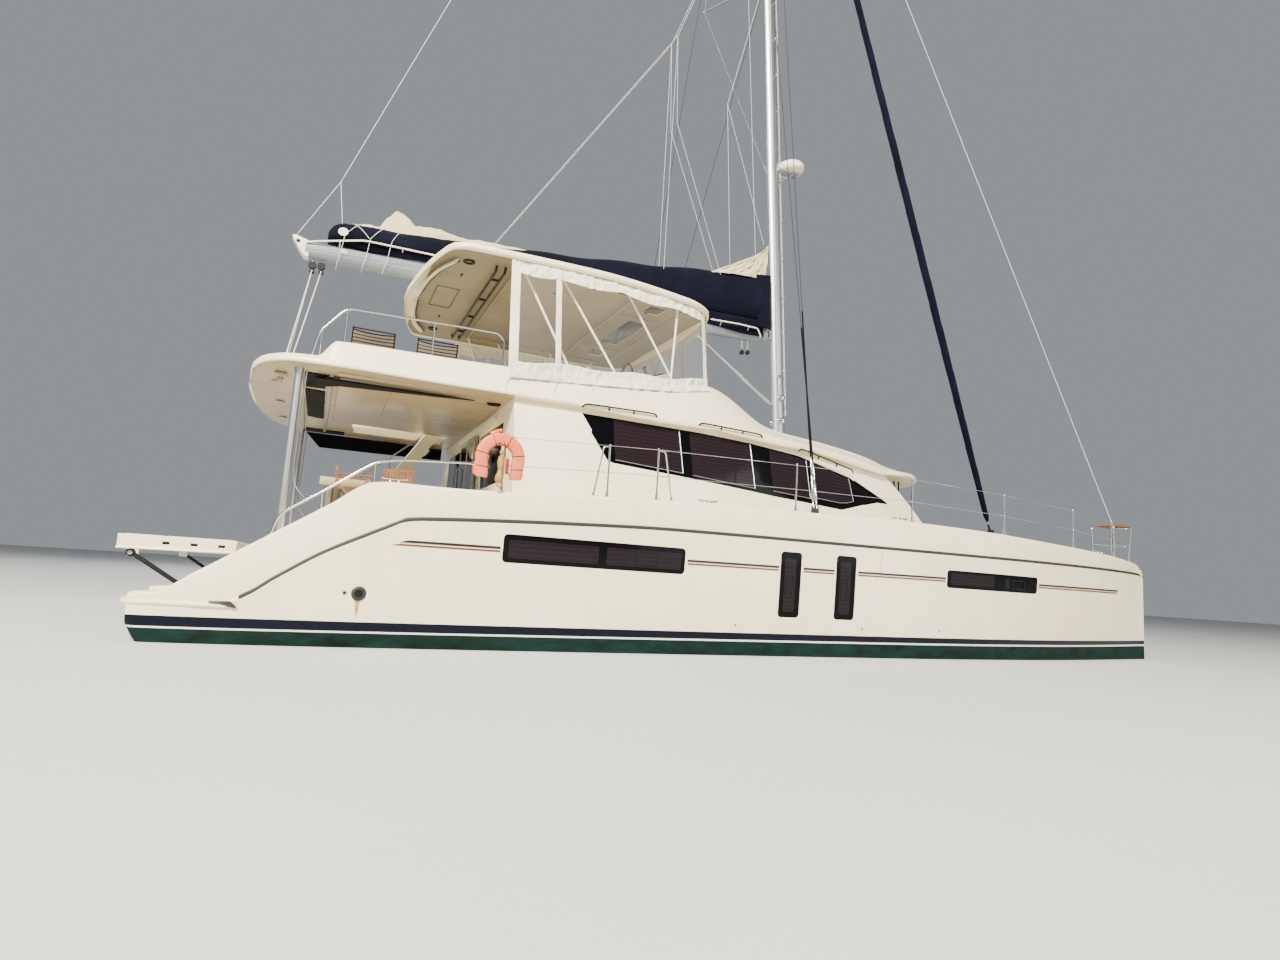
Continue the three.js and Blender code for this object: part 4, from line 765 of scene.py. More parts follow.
def hull_side(station, height):
    """Half breadth of a hull's outer side at a height above the water, from the hull's own middle."""
    half, wet, edge, knuckle = (line(station)
                                for line in (deck_half, afloat_half, deck_edge, knuckle_height))
    if height >= knuckle + 20:
        share = min((height - knuckle - 20) / max(edge - 65 - knuckle, 1), 1)
        return half - 18 + 12 * share
    rows = [[0, wet], [0.3 * knuckle, 0.45 * wet + 0.55 * half], [knuckle - 20, half]]
    if height >= knuckle - 20:
        return half - 18 * (height - knuckle + 20) / 40
    return curve_through(rows, 1)(height)


def outer_side(station, height):
    """The same, from the boat's middle."""
    return HULL_CENTRE + hull_side(station, height)


def hull_section(station):
    """A hull's ring at a station, the outer side first."""
    half, wet, edge, knuckle, bottom = (line(station) for line in (
        deck_half, afloat_half, deck_edge, knuckle_height, keel_line))
    afloat = max(0, bottom + 60)
    side = [[afloat, wet], [afloat + 0.3 * (knuckle - afloat), 0.45 * wet + 0.55 * half],
            [knuckle - 20, half]]
    flare = curve_through(side, 1)
    heights = steps_between(afloat, knuckle - 20, 8)
    under = [(0.55, 0.15), (0.9, 0.5)]
    points = [(0, bottom)]
    points += [(-across * wet, bottom + up * (afloat - bottom)) for across, up in under]
    points += [(-flare(z), z) for z in heights]
    points += [(-(half - 12), knuckle - 8), (-(half - 18), knuckle + 8), (-(half - 17), knuckle + 26),
               (-(half - 6), edge - 52), (-(half - 12), edge - 22), (-(half - 26), edge - 6),
               (-(half - 50), edge + 1), (0, edge + 12), (half - 40, edge + 24), (half - 12, edge + 14),
               (half - 4, edge - 10)]
    points += [(flare(z), z) for z in reversed(heights)]
    points += [(across * wet, bottom + up * (afloat - bottom)) for across, up in reversed(under)]
    return [at(station, y - HULL_CENTRE, z) for y, z in points]


def stairs_cut():
    """The well of the stern steps and the side passage, with rounded inner corners."""
    line = [(100, 450)]
    for (s, tread), (ahead, above) in zip(STEPS, STEPS[1:] + [[4250, None]]):
        line += [(ahead, tread)] + ([(ahead, above)] if above else [])
    line += [(4250, 2600), (100, 2600)]
    bm = plate([at(s, -3650, z) for s, z in line], (0, 0.9, 0))
    inner = [edge for edge in bm.edges if max(v.co.z for v in edge.verts) < 2.4]
    bmesh.ops.bevel(bm, geom=inner, offset=0.03, segments=3, profile=0.5, affect="EDGES", material=-1)
    return bm


def hull_shape():
    """The starboard hull: one moulding with its steps and window rebates."""
    stations = [200, 225, 270, 330, 395] + steps_between(460, 2700, 26) + steps_between(2800, 4800, 16)
    stations += steps_between(5000, 11800, 35) + steps_between(11950, 16800, 38) + steps_between(16890,
                                                                                                 17500, 10)
    shell = loft([hull_section(s) for s in stations])
    cuts = [stairs_cut(), block(2020, 4250, -2751, -2000, SOLE, 3000)]
    cuts += [draped(rectangle(*window), outer_side, 12, 34, 55, shrink_mm=7) for window in HULL_WINDOWS]
    return carved(shell, *cuts)


# Height of the propeller shafts.
SHAFT_LEVEL = -1010


def underwater_shape():
    """Fixed keel, drive leg and rudder boss of the starboard hull."""
    keel = []
    for z, aft, fore, half in [[-560, 6030, 9270, 138], [-600, 6050, 9250, 135], [-1100, 6250, 9050, 110],
                               [-1380, 6400, 8790, 75], [-1430, 6440, 8730, 45]]:
        ring = [(0, 0), (.2, .45), (.35, .7), (.5, .9), (.65, 1), (.78, .93), (.88, .75), (.96, .42), (1, 0)]
        ring += [(share, -side) for share, side in reversed(ring[1:-1])]
        keel.append([at(aft + share * (fore - aft), side * half - HULL_CENTRE, z) for share, side in ring])
    leg = [[at(3650 + along * reach, side * half - HULL_CENTRE, z) for along, side in (
        (-1, 0), (-.7, .45), (-.3, .85), (.2, 1), (.6, .8), (1, 0), (.6, -.8), (.2, -1), (-.3, -.85),
        (-.7, -.45))]
        for z, reach, half in [[-400, 150, 60], [-900, 120, 45], [SHAFT_LEVEL, 110, 40]]]
    pod = turned([(0, -170), (60, -170), (72, -150), (72, -20), (62, 90), (42, 170), (0, 210)],
                 at(3650, -HULL_CENTRE, SHAFT_LEVEL), (1, 0, 0), 24)
    boss = turned([(0, -440), (88, -440), (95, -430), (95, -260), (0, -260)], at(1560, -HULL_CENTRE, 0))
    return add_in(loft(keel), loft(leg), pod, boss)


def strip_on_hull(start, end, heights, proud_mm, width_mm, slant_mm=0):
    """A flat tape on the hull's side between two stations, its middle at heights(station)."""
    count = int((end - start) / 200) + 2
    rings = []
    for s in steps_between(start, end, count):
        z = heights(s)
        lean = slant_mm * (1 - (s - start) / (end - start))
        low, high = z - width_mm / 2, z + width_mm / 2
        corners = [(low, -1, 0), (high, -1, lean), (high, proud_mm, lean), (low, proud_mm, 0)]
        rings.append([at(s + shift, -outer_side(s + shift, level) - out, level)
                      for level, out, shift in corners])
    return loft(rings)


def gaps_for_windows(start, end):
    """Runs of a stripe between the windows that interrupt it."""
    runs, from_here = [], start
    for aft, fore, *_ in HULL_WINDOWS:
        runs.append((from_here, aft - 28))
        from_here = fore + 28
    return runs + [(from_here, end)]


def pinstripe(start, end, shift, width_mm):
    """A stripe that rises a little to the bows, broken at the windows and cut slanting at its aft end."""
    def height(s):
        return 1230 + (s - 2800) * 80 / 13390 + shift
    return joined([strip_on_hull(aft, fore, height, 5, width_mm, 110 if aft == start else 0)
                   for aft, fore in gaps_for_windows(start, end)])


def rubbing_strip():
    """The rubber strip in the knuckle, from the stern step to the bow."""
    rings = []
    for s in steps_between(1230, 17380, 110):
        z = knuckle_height(s)
        y = -(HULL_CENTRE + deck_half(s) - 14)
        rise = 29
        rings.append([at(s, y + out, z + up) for out, up in (
            (8, -rise), (-9, -rise), (-14, -rise * .5), (-16, 0), (-14, rise * .5), (-9, rise), (8, rise))])
    return loft(rings)


# Panes of each hull window, then its opening hatch, in shares of its length and height.
HULL_PANES = [[(.03, .50, .17, .80), (.545, .975, .17, .80)], [(.22, .75, .09, .90)], [(.22, .75, .09, .90)],
              [(.045, .49, .20, .86), (.62, .66, .2, .8)]]
HULL_HATCHES = [(.70, .84, .25, .75), (.30, .65, .32, .65), (.30, .65, .32, .65), (.69, .84, .20, .72)]


def part_of(window, shares):
    """The rectangle that takes up given shares of a window."""
    (s0, s1, z0, z1), (u0, u1, v0, v1) = window, shares
    return rectangle(s0 + u0 * (s1 - s0), s0 + u1 * (s1 - s0), z0 + v0 * (z1 - z0), z0 + v1 * (z1 - z0))


def hull_window_glass():
    """Black glass of the hull windows."""
    return joined([draped(rectangle(*window), outer_side, -9, 12, 52) for window in HULL_WINDOWS])


def hull_window_panes():
    """The panes of the hull windows, with blinds behind them."""
    return joined([draped(part_of(window, shares), outer_side, -8, 4, 24)
                   for window, panes in zip(HULL_WINDOWS, HULL_PANES) for shares in panes])


def hull_window_hatches():
    """Rims of the opening hatches in the hull windows."""
    return joined([frame_strip(part_of(window, shares), outer_side, -2, 7, 16, 22)
                   for window, shares in zip(HULL_WINDOWS, HULL_HATCHES)])


def build_hulls():
    """Both hulls with windows, stripes and fittings."""
    hull = finish("hull_gelcoat")
    pair_of(hull_shape, "hull", hull, stands_for=("hull", "stern"), slot="gelcoat", angle=28, doubles=0.0005)
    pair_of(underwater_shape, "keel_and_drive", finish("antifouling_paint"), slot="antifouling")
    pair_of(rubbing_strip, "rubbing_strip", finish("grey_rubber"), slot="black_plastic")
    pair_of(hull_window_glass, "hull_window_glass", finish("black_acrylic"), slot="dark_glass")
    pair_of(hull_window_panes, "hull_window_panes", finish("blind_glass"), slot="dark_glass")
    pair_of(hull_window_hatches, "hull_window_hatches", finish("black_nylon"), slot="black_plastic")
    for colour, start, end, shift, wide in (("brown", 2800, 16190, 0, 30), ("red", 2710, 16150, -42, 21)):
        pair_of(lambda: pinstripe(start, end, shift, wide), f"{colour}_pinstripe", finish(f"{colour}_tape"),
                slot="black_plastic")
    pair_of(swim_lip, "swim_step_lip", finish("deck_gelcoat"), slot="gelcoat")
    # The wedge is a dark piece that paints the shadow at the flange's fore end.
    pair_of(flange_shadow_wedge, "flange_end_shadow_wedge", finish("grey_rubber"), slot="black_plastic")
    pair_of(hull_fittings, "hull_fittings", finish("polished_stainless"), slot="stainless")
    pair_of(exhaust_bore, "exhaust_bore", finish("black_nylon"), slot="black_plastic")
    pair_of(exhaust_ring, "exhaust_ring", finish("grey_rubber"), slot="black_plastic")
    pair_of(exhaust_streak, "exhaust_streak", finish("rust_stain"), slot="gelcoat")
    pair_of(step_treads, "step_treads", finish("nonslip_gelcoat"), slot="gelcoat")
    pair_of(hull_seam, "hull_seam", finish("grey_rubber"), slot="black_plastic")


def swim_lip():
    """The flange round the swim step: a rounded rail just over the water that runs aft past the transom."""
    rings = []
    for s in steps_between(120, 1130, 18):
        y = -(HULL_CENTRE + (hull_side(s, 400) if s > 200 else 715 - (200 - s) * 1.4))
        high = 20 if s < 1000 else 20 - (s - 1000) * .08
        rings.append([at(s, y + out, 412 + up) for out, up in (
            (30, -26), (-10, -26), (-20, -16), (-22, 0), (-20, high - 8), (-10, high), (30, high))])
    step = []
    for s, wide in ((120, 560), (135, 600), (165, 650), (204, 695)):
        step.append([at(s, y - HULL_CENTRE, z) for y, z in (
            (-wide, 388), (-wide - 12, 400), (-wide - 12, 430), (-wide, 446), (wide, 446), (wide, 388))])
    return add_in(loft(rings), loft(step))


def flange_shadow_wedge():
    """A dark rubber wedge where the flange dies into the side: painted shadow of the flange's fore end."""
    return draped([(950, 455), (1130, 462), (1160, 462), (1230, 402), (1200, 392), (1050, 430), (960, 432)],
                  outer_side, 24, 30, 0, 80)


def ring_on_side(station, height, outer, inner, proud):
    """A flanged ring set in the hull's side, its axis athwart."""
    y = -outer_side(station, height)
    return turned([(inner, -14), (inner, proud), (outer * .8, proud), (outer, proud * .35), (outer, -4),
                   (inner, -14)], at(station, y, height), (0, -1, 0), 28)


def hull_fittings():
    """Through-hull fittings and the deck's mooring cleats."""
    rings = [ring_on_side(2280, 610, 26, 14, 8), ring_on_side(7350, 430, 20, 10, 6),
             ring_on_side(9550, 440, 20, 10, 6), ring_on_side(11100, 450, 20, 10, 6)]
    cleats = [cleat(s, -4000 if s < 12000 else -(3200 + deck_half(s) - 130))
              for s in (2700, 6900, 10380, 15700)]
    return joined(rings + cleats)


def cleat(station, y, base=None):
    """A horned mooring cleat on two feet, lying fore and aft."""
    z = deck_edge(station) + 6 if base is None else base
    horn = tube([at(station + along, y, z + up) for along, up in (
        (-150, 56), (-110, 48), (-50, 44), (0, 44), (50, 44), (110, 48), (150, 56))], 13, 40, 8)
    feet = [turned([(0, 0), (24, 0), (16, 10), (11, 44), (0, 44)], at(station + along, y, z), sides=12)
            for along in (-48, 48)]
    base_plate = block(station - 90, station + 90, y - 26, y + 26, z - 4, z + 5, 3)
    return add_in(horn, *feet, base_plate)


def exhaust_bore():
    """Black discs that fill the exhaust's rubber mouth and the fittings' holes as painted shade."""
    parts = []
    for s, z, wide, proud in ((2430, 610, 56, 13), (2280, 610, 16, 6), (7350, 430, 12, 4),
                              (9550, 440, 12, 4), (11100, 450, 12, 4)):
        mouth = at(s, -outer_side(s, z), z)
        parts.append(turned([(0, -10), (wide, -10), (wide, proud), (0, proud)], mouth, (0, -1, 0), 24))
    return joined(parts)


def exhaust_ring():
    """The thick flange round the exhaust."""
    return ring_on_side(2430, 610, 82, 47, 16)


def exhaust_streak():
    """A thin run of rust below the exhaust ring, tapering down the side."""
    outline = [(2398, 536), (2452, 536), (2442, 430), (2430, 320), (2408, 430)]
    return draped(outline, outer_side, 0.8, 1.4, 3, 60)


def step_treads():
    """Pebbled non-slip panels on the stern steps and the side passage."""
    panels = []
    for (s, tread), (ahead, _) in zip([[200, 450]] + STEPS[1:], STEPS[1:] + [[4200, None]]):
        panels.append(block(s + 45, ahead - 40, -3600, -2800, tread - 3, tread + 4, 3))
    return joined(panels)


def hull_seam():
    """The caulked joint that runs up the side forward of the shrouds."""
    return draped([(9838, 1270), (9844, 1270), (9864, 1630), (9858, 1630)], outer_side, 0.6, 3, 0, 100)


# Deckhouse

# Station, underside and its half breadth, half breadth and height of the rim, half breadth and top of the
# coaming, height on the centreline.
ROOF_ROWS = [
    [760, 3495, 520, 580, 3510, 520, 3612, 3614], [880, 3475, 1750, 1840, 3508, 1780, 3612, 3614],
    [1080, 3462, 2330, 2430, 3502, 2360, 3612, 3614], [1400, 3452, 2620, 2740, 3490, 2650, 3612, 3614],
    [1690, 3448, 2690, 2815, 3482, 2715, 3614, 3616], [1910, 3446, 2730, 2855, 3477, 2750, 3838, 3838],
    [2200, 3444, 2750, 2880, 3473, 2762, 3848, 3848], [3200, 3430, 2800, 2930, 3450, 2790, 3856, 3856],
    [4300, 3410, 2900, 3010, 3430, 2790, 3885, 3885], [5500, 3400, 2970, 3060, 3415, 2730, 3965, 3965],
    [7000, 3390, 2910, 3000, 3400, 2520, 4125, 4125], [7760, 3380, 2860, 2950, 3390, 2280, 4270, 4270],
    [8000, 3380, 2840, 2930, 3385, 2220, 4235, 4290], [9350, 3350, 2660, 2750, 3350, 1800, 3830, 3960],
    [10600, 3300, 2450, 2540, 3290, 1700, 3740, 3870], [11600, 3265, 2220, 2310, 3200, 1600, 3640, 3760],
    [12500, 3265, 1890, 1960, 3275, 1500, 3450, 3560], [13070, 3270, 1470, 1540, 3290, 1250, 3365, 3430],
    [13420, 3275, 950, 1010, 3295, 800, 3330, 3370], [13560, 3280, 420, 470, 3297, 350, 3315, 3335],
]
roof_under, under_half, rim_half, rim_height, coaming_half, coaming_top, roof_middle = (
    curve_through(ROOF_ROWS, k) for k in range(1, 8))
# Station, half breadth at the deck, half breadth under the roof.
CABIN_ROWS = [[4300, 3220, 2880], [5500, 3210, 2945], [7300, 3120, 2870], [8300, 3020, 2780],
              [9350, 2870, 2640], [10600, 2640, 2430], [11600, 2400, 2195], [12400, 2170, 2010],
              [13100, 1950, 1860]]
cabin_base, cabin_head = (straight_through(CABIN_ROWS, k) for k in (1, 2))
SIDE_WINDOW = [(5300, 3325), (7300, 3315), (8260, 3290), (9350, 3225), (10590, 3000), (11440, 2700),
               (11300, 2640), (10300, 2380), (8700, 2440), (7240, 2530), (5790, 2615), (5700, 2660)]


def roof_section(station):
    """Half ring of the roof moulding at a station, from the centreline below to the centreline above."""
    under, flat, wide, rim, top_half, top, middle = (line(station) for line in (
        roof_under, under_half, rim_half, rim_height, coaming_half, coaming_top, roof_middle))
    face = Vector((top_half - wide + 25, top - 25 - rim - 75)).normalized()
    cove = Vector((wide - 25, rim + 75))
    return [(0, under), (flat * .5, under), (flat * .9, under), (flat - 20, under), (flat, under + 3),
            (flat + (wide - flat) * .5, (under + rim) / 2), (wide - 16, rim - 3), (wide - 5, rim + 2),
            (wide, rim + 14), (wide - 4, rim + 34), (wide - 19, rim + 66), (cove.x, cove.y),
            (cove.x + face.x * 30 + 4, cove.y + face.y * 30), (cove.x + face.x * 60, cove.y + face.y * 60),
            (top_half + (cove.x - top_half) * .4, top - 25 + (cove.y - top + 25) * .4),
            (top_half + (cove.x - top_half) * .12, top - 25 + (cove.y - top + 25) * .12),
            (top_half - 1, top - 20), (top_half - 10, top - 6), (top_half - 28, top),
            (top_half - 90, top + 3), (max(top_half - 150, 0.8 * top_half * .5), top + 4),
            ((top_half - 150) * .5, (top + middle) / 2 + 6), (0, middle + 5)]


def across(section, station):
    """A whole ring across the boat from a half section."""
    starboard = [at(station, -y, z) for y, z in section]
    port = [at(station, y, z) for y, z in section[1:-1]]
    return starboard + port[::-1]


def well(start, end, half_at, floor, top, corner, taper=0):
    """A cutter for a well between two stations whose corners are rounded in plan and along the floor."""
    stations = [start + corner * (1 - math.cos(math.radians(a))) for a in range(0, 91, 15)]
    stations += steps_between(start + corner, end - corner, 24)[1:-1]
    stations += [end - corner * (1 - math.cos(math.radians(a))) for a in range(90, -1, -15)]
    rings = []
    for s in stations:
        near = min(s - start, end - s, corner)
        half = half_at(s) - corner + math.sqrt(max(corner ** 2 - (corner - near) ** 2, 0))
        rings.append(across([(0, floor), (half - 60, floor), (half - 18, floor + 14), (half, floor + 60),
                             (half + taper, top), (0, top)], s))
    return loft(rings)


def roof_shape():
    """The roof moulding: cockpit overhang, flybridge well, coaming, coachroof and visor."""
    stations = [760, 775, 800, 840, 880, 930, 1000, 1080, 1180, 1290] + steps_between(1400, 1660, 3)
    stations += [1688, 1715, 1745, 1775, 1810, 1845, 1880, 1910, 1950] + steps_between(2060, 7600, 41)
    stations += steps_between(7680, 8080, 6) + steps_between(8200, 12900, 34)
    stations += [12990, 13070, 13160, 13250, 13340, 13420, 13480, 13525, 13560]
    shell = loft([across(roof_section(s), s) for s in stations])
    fly_well = well(1250, 7560, lambda s: coaming_half(s) - 160, FLY_SOLE, 5200, 190, 30)
    stairwell = block(2350, 4050, 1250, 2150, 3300, 3700, 40)
    recess = block(8300, 11300, -1450, 1450, 3100, 3600, 60)
    return carved(shell, fly_well, stairwell, recess)


def cabin_side(station, height):
    """Half breadth of the cabin's side at a height."""
    base, head = cabin_base(station), cabin_head(station)
    if height <= 2060:
        return base
    if height <= 2550:
        return base - 45 * (height - 2060) / 490
    top = roof_under(station) + 12
    return base - 45 + (head - base + 45) * (height - 2550) / (top - 2550)


def long_window():
    """The black wrap window in the cabin's side, a little sunk, its lower edge in a bright moulding."""
    return draped(inset(SIDE_WINDOW, 3), cabin_side, -20, 8, 24, 150)


def pane_line(station, edge):
    """Height of the window band's head or foot at a station."""
    head = [(5300, 3325), (7300, 3315), (8260, 3290), (9350, 3225), (10590, 3000), (11440, 2700)]
    foot = [(5700, 2640), (5790, 2615), (7240, 2530), (8700, 2440), (10300, 2380), (11300, 2640),
            (11440, 2700)]
    return straight_through(head if edge == "head" else foot, 1)(station)


def window_pane(aft, fore, head_gap, foot_gap, lean=0):
    """Outline of a pane in the band between two stations."""
    stations = steps_between(aft, fore, 5)
    top = [(s, pane_line(s, "head") - head_gap) for s in stations]
    low = [(s + lean * (s - aft) / (fore - aft), pane_line(s, "foot") + foot_gap) for s in stations]
    return low + top[::-1]


PANES = [(5820, 6930, 20, 60, 30), (7130, 8290, 20, 60, 30), (8700, 9520, 30, 90, 20),
         (9680, 10560, 30, 120, 60)]


def blind_panes():
    """The panes of the long window with blinds drawn behind them."""
    return joined([draped(window_pane(*pane), cabin_side, -13, 8, 20, 200) for pane in PANES])


def pane_trims():
    """Thin bright lines on the fore and lower edges of the panes."""
    runs = []
    for aft, fore, head_gap, foot_gap, lean in PANES:
        foot = [(s + lean * (s - aft) / (fore - aft), pane_line(s, "foot") + foot_gap)
                for s in steps_between(aft, fore, 6)]
        side = [(fore, pane_line(fore, "head") - head_gap)]
        line = foot + side
        runs.append([at(s, -cabin_side(s, z) + 10, z) for s, z in line])
    return joined([tube(run, 5, 10, 6) for run in runs])


def grab_rails():
    """Three low handrails a side, standing on the rim over the long window."""
    runs = []
    for aft, fore, z0, z1 in ((5270, 6490, 3440, 3462), (7220, 8480, 3446, 3432), (9280, 10640, 3336, 3122)):
        def on_rim(share, lift, out):
            s = aft + (fore - aft) * share
            return at(s, -(rim_half(s) + out), z0 + (z1 - z0) * share + lift)
        runs.append([on_rim(0, -52, -12), on_rim(.03, -4, 22)]
                    + [on_rim(t, 0, 26) for t in (.1, .3, .5, .7, .9)]
                    + [on_rim(.97, -4, 22), on_rim(1, -52, -12)])
        runs += [[on_rim(share, -52, -12), on_rim(share, 0, 26)] for share in (.34, .67)]
    return tubes(runs, 13, 40, 8)


def window_ends():
    """Black cover pieces that carry the long window past its opening at both ends."""
    aft = draped([(5235, 3358), (5330, 3356), (5345, 3318), (5745, 2650), (5800, 2612), (5690, 2640)],
                 cabin_side, 2, 6, 0, 60)
    fore = draped([(10700, 2972), (11440, 2716), (11590, 2655), (11590, 2625), (11300, 2622), (10900, 2530),
                   (10900, 2560), (11280, 2650), (11400, 2700), (10700, 2950)], cabin_side, 2, 6, 0, 60)
    return joined([aft, fore])


def roof_side(station, y):
    """Height of the roof moulding's upper face at a breadth, found on its section."""
    section = roof_section(station)[8:]
    for (y1, z1), (y0, z0) in zip(section, section[1:]):
        if y0 <= abs(y) <= y1:
            return z0 + (z1 - z0) * (abs(y) - y0) / max(y1 - y0, 1)
    return section[-1][1]


def eyebrows():
    """Scalloped brows moulded over the long window, hung under the roof's rim."""
    brows = []
    for aft, fore in [(5250, 7650), (7550, 9700), (9600, 11700)]:
        rings = []
        for k in range(15):
            share = k / 14
            s = aft + (fore - aft) * share
            drop = 6 + 52 * math.sin(math.pi * share) ** 0.7
            y, z = rim_half(s), rim_height(s)
            rings.append([at(s, -(y + out), z + up) for out, up in (
                (-70, 20), (-58, -drop * .75), (-22, -drop), (-4, -drop * .72), (2, 0), (-8, 24))])
        brows.append(loft(rings))
    return joined(brows)


def build_deckhouse():
    """Roof, cabin sides, glazing and what is fixed to them."""
    deck = finish("deck_gelcoat")
    piece_from("roof_moulding", roof_shape(), deck, stands_for=("roof",), slot="gelcoat", angle=34,
               doubles=0.0005)
    softened("cabin_walls", deck, 10)
    pair_of(window_ends, "saloon_window_ends", finish("black_acrylic"), slot="dark_glass")
    pair_of(long_window, "saloon_window", finish("black_acrylic"), stands_for=("saloon_glass",),
            slot="dark_glass")
    pair_of(blind_panes, "saloon_panes", finish("blind_glass"), slot="dark_glass")
    pair_of(pane_trims, "saloon_pane_trims", finish("anodised_aluminium"), slot="aluminium")
    pair_of(eyebrows, "window_brows", deck, slot="gelcoat", angle=45)
    pair_of(grab_rails, "roof_handrails", finish("bronze_tube"), slot="stainless")
    # The headlining and its trims take the gelcoat darkened as painted shade.
    piece_from("cockpit_ceiling", ceiling_shape(), finish("ceiling_gelcoat"), slot="gelcoat", angle=40)
    piece_from("ceiling_black_panels_and_shadow_gap", ceiling_panels_and_shadow_gap(), finish("black_webbing"), slot="black_plastic")
    piece_from("ceiling_trims", ceiling_trims(), finish("ceiling_gelcoat"), slot="gelcoat")
    for node in ("aft_bulkhead", "bridgedeck", "flybridge_stairs", "front_door", "helm_console"):
        softened(node, deck, 14 if node == "bridgedeck" else 8)
    softened("saloon_door", finish("tinted_glass"), 4)


def ceiling_shape():
    """The beige headlining under the overhang: a thin skin with raised lockers and a rounded beam."""
    rings = []
    for s in steps_between(800, 4290, 40):
        half = under_half(s) + (rim_half(s) - under_half(s)) * .72
        z = roof_under(s)
        edge = under_half(s)
        rings.append(across([(0, z - 9), (edge * .5, z - 9), (edge - 30, z - 9), (edge, z - 6),
                             (half, z + (rim_height(s) - z) * .72 - 6),
                             (half, z + (rim_height(s) - z) * .72 + 2), (edge, z + 4), (0, z + 4)], s))
    skin = carved(loft(rings), block(2340, 4060, 1240, 2160, 3300, 3700, 40))
    # The last two blocks line the stairwell; the headlining's darkened finish on them is painted shade.
    raised = [block(1990, 4240, -2420, 1000, 3396, 3436, 22), block(2700, 4240, -2250, -300, 3378, 3400, 16),
              block(1960, 4240, -2700, -2560, 3408, 3440, 12),
              block(2352, 4048, 2130, 2152, 3426, 3572, 4), block(4036, 4052, 1252, 2150, 3426, 3572, 4)]
    return add_in(skin, *raised)


def ceiling_panels_and_shadow_gap():
    """Black panels let into the headlining: athwart at its aft end, along both edges and a small triangle."""
    # The first outline, tapering along the starboard edge, paints the shadow gap above the lowered
    # headlining.
    level = [(3370, [(1700, -2430), (1835, -2440), (3830, -2470), (2860, -2270), (2010, -2110),
                     (1845, -1960), (1700, -1960)]),
             (3420, [(1560, -2420), (1825, -2420), (1828, -1540), (1560, -1540)]),
             (3420, [(1556, -1350), (1832, -1300), (1850, 1040), (1590, 900)]),
             (3384, [(4010, -2400), (4225, -2420), (4225, -1900)]),
             (3420, [(1560, 2280), (2250, 2280), (2250, 2640), (1560, 2640)])]
    panels = [plate([at(s, y, z) for s, y in outline], (0, 0, 0.016), 12) for z, outline in level]
    panels.append(plate([at(s, 2846 - (z - 3190) * .1, z) for s, z in (
        (1560, 3440), (1830, 3160), (4200, 3175), (4200, 3425))], (0, 0.016, 0), 20, 3, 3))
    return joined(panels)


def ceiling_trims():
    """White lamps and a small box on the headlining, and the beam round the black panels."""
    parts = [turned([(0, 0), (70, 0), (70, -8), (58, -14), (0, -14)], at(s, y, 3437), sides=24)
             for s, y in ((1180, -1500), (1180, 1500), (1180, 0))]
    parts.append(block(1180, 1330, -2180, -1980, 3390, 3440, 14))
    parts.append(block(1210, 1290, -2080, -2010, 3340, 3392, 12))
    parts += [block(s, s + 60, -2450, 2450, 3418, 3440, 14) for s in (1480, 1862)]
    return joined(parts)


# Flybridge

# Station, half breadth, underside of the rim, top on the centreline.
HARDTOP_ROWS = [[2930, 300, 5590, 5690], [3030, 1150, 5600, 5750], [3200, 2000, 5612, 5790],
                [3340, 2380, 5622, 5812], [3560, 2470, 5636, 5840],
                [5500, 2500, 5660, 5880], [7250, 2340, 5610, 5860], [7760, 2100, 5580, 5830],
                [8000, 1500, 5560, 5790], [8090, 620, 5555, 5740]]
top_half, top_rim, top_crown = (curve_through(HARDTOP_ROWS, k) for k in (1, 2, 3))


def hardtop_section(station):
    """Half ring of the hardtop, hollowed underneath inside a rounded rim."""
    half, rim, top = top_half(station), top_rim(station), top_crown(station)
    ceiling = min(rim + 82, top - 48)
    upper = min(rim + 108, top - 15)
    return [(0, ceiling), (half * .55, ceiling - 12), (max(half - 330, half * .6), ceiling - 22),
            (max(half - 210, half * .7), rim + 40), (half - 120, rim + 22), (half - 92, rim + 14),
            (half - 60, rim + 2), (half - 40, rim), (half - 18, rim + 8), (half - 4, rim + 26),
            (half, rim + 44), (half - 4, rim + 70), (half - 14, upper - 16), (half - 34, upper),
            (half * .8, (upper + top) / 2 - 2), (half * .6, top - 10), (half * .3, top - 2), (0, top)]


def hardtop_shape():
    """The hardtop moulding with its three skylight openings."""
    stations = [2930, 2945, 2975, 3030, 3080, 3140, 3200, 3270, 3340, 3440, 3560]
    stations += steps_between(3700, 7500, 38) + [7600, 7700, 7790, 7860, 7930, 7980, 8020, 8055, 8090]
    openings = [block(s0, s1, y0, y1, 5560, 5960, 30) for s0, s1, y0, y1 in SKYLIGHTS]
    return carved(loft([across(hardtop_section(s), s) for s in stations]), *openings)


SKYLIGHTS = [(6820, 7190, -770, 740), (6850, 7160, -1690, -1290), (6850, 7160, 1260, 1660)]


def skylight_panes():
    """Blue-black panes in the hardtop's skylights."""
    return joined([block(s0 - 8, s1 + 8, y0 - 8, y1 + 8, 5700, 5716, 12) for s0, s1, y0, y1 in SKYLIGHTS])


def hardtop_underside():
    """Beams and panel edges moulded into the hardtop's underside."""
    ribs = []
    for s in (6440, 7420):
        line = [at(s, y, 5676 - abs(y) * .012) for y in steps_between(-1950, 1950, 9)]
        ribs.append(tube(line, 26, 10, 10, .6))
    for y in (-1980, 1980):
        ribs.append(tube([at(4300, y, 5655), at(7420, y, 5652)], 24, 10, 10, .6))
    for y in (-1010, 1010):
        ribs.append(tube([at(6440, y, 5664), at(7420, y, 5664)], 20, 10, 10, .6))
    line = [at(4380, y, 5682 - abs(y) * .014) for y in steps_between(-1980, 1980, 9)]
    ribs.append(tube(line, 24, 10, 10, .6))
    return joined(ribs)


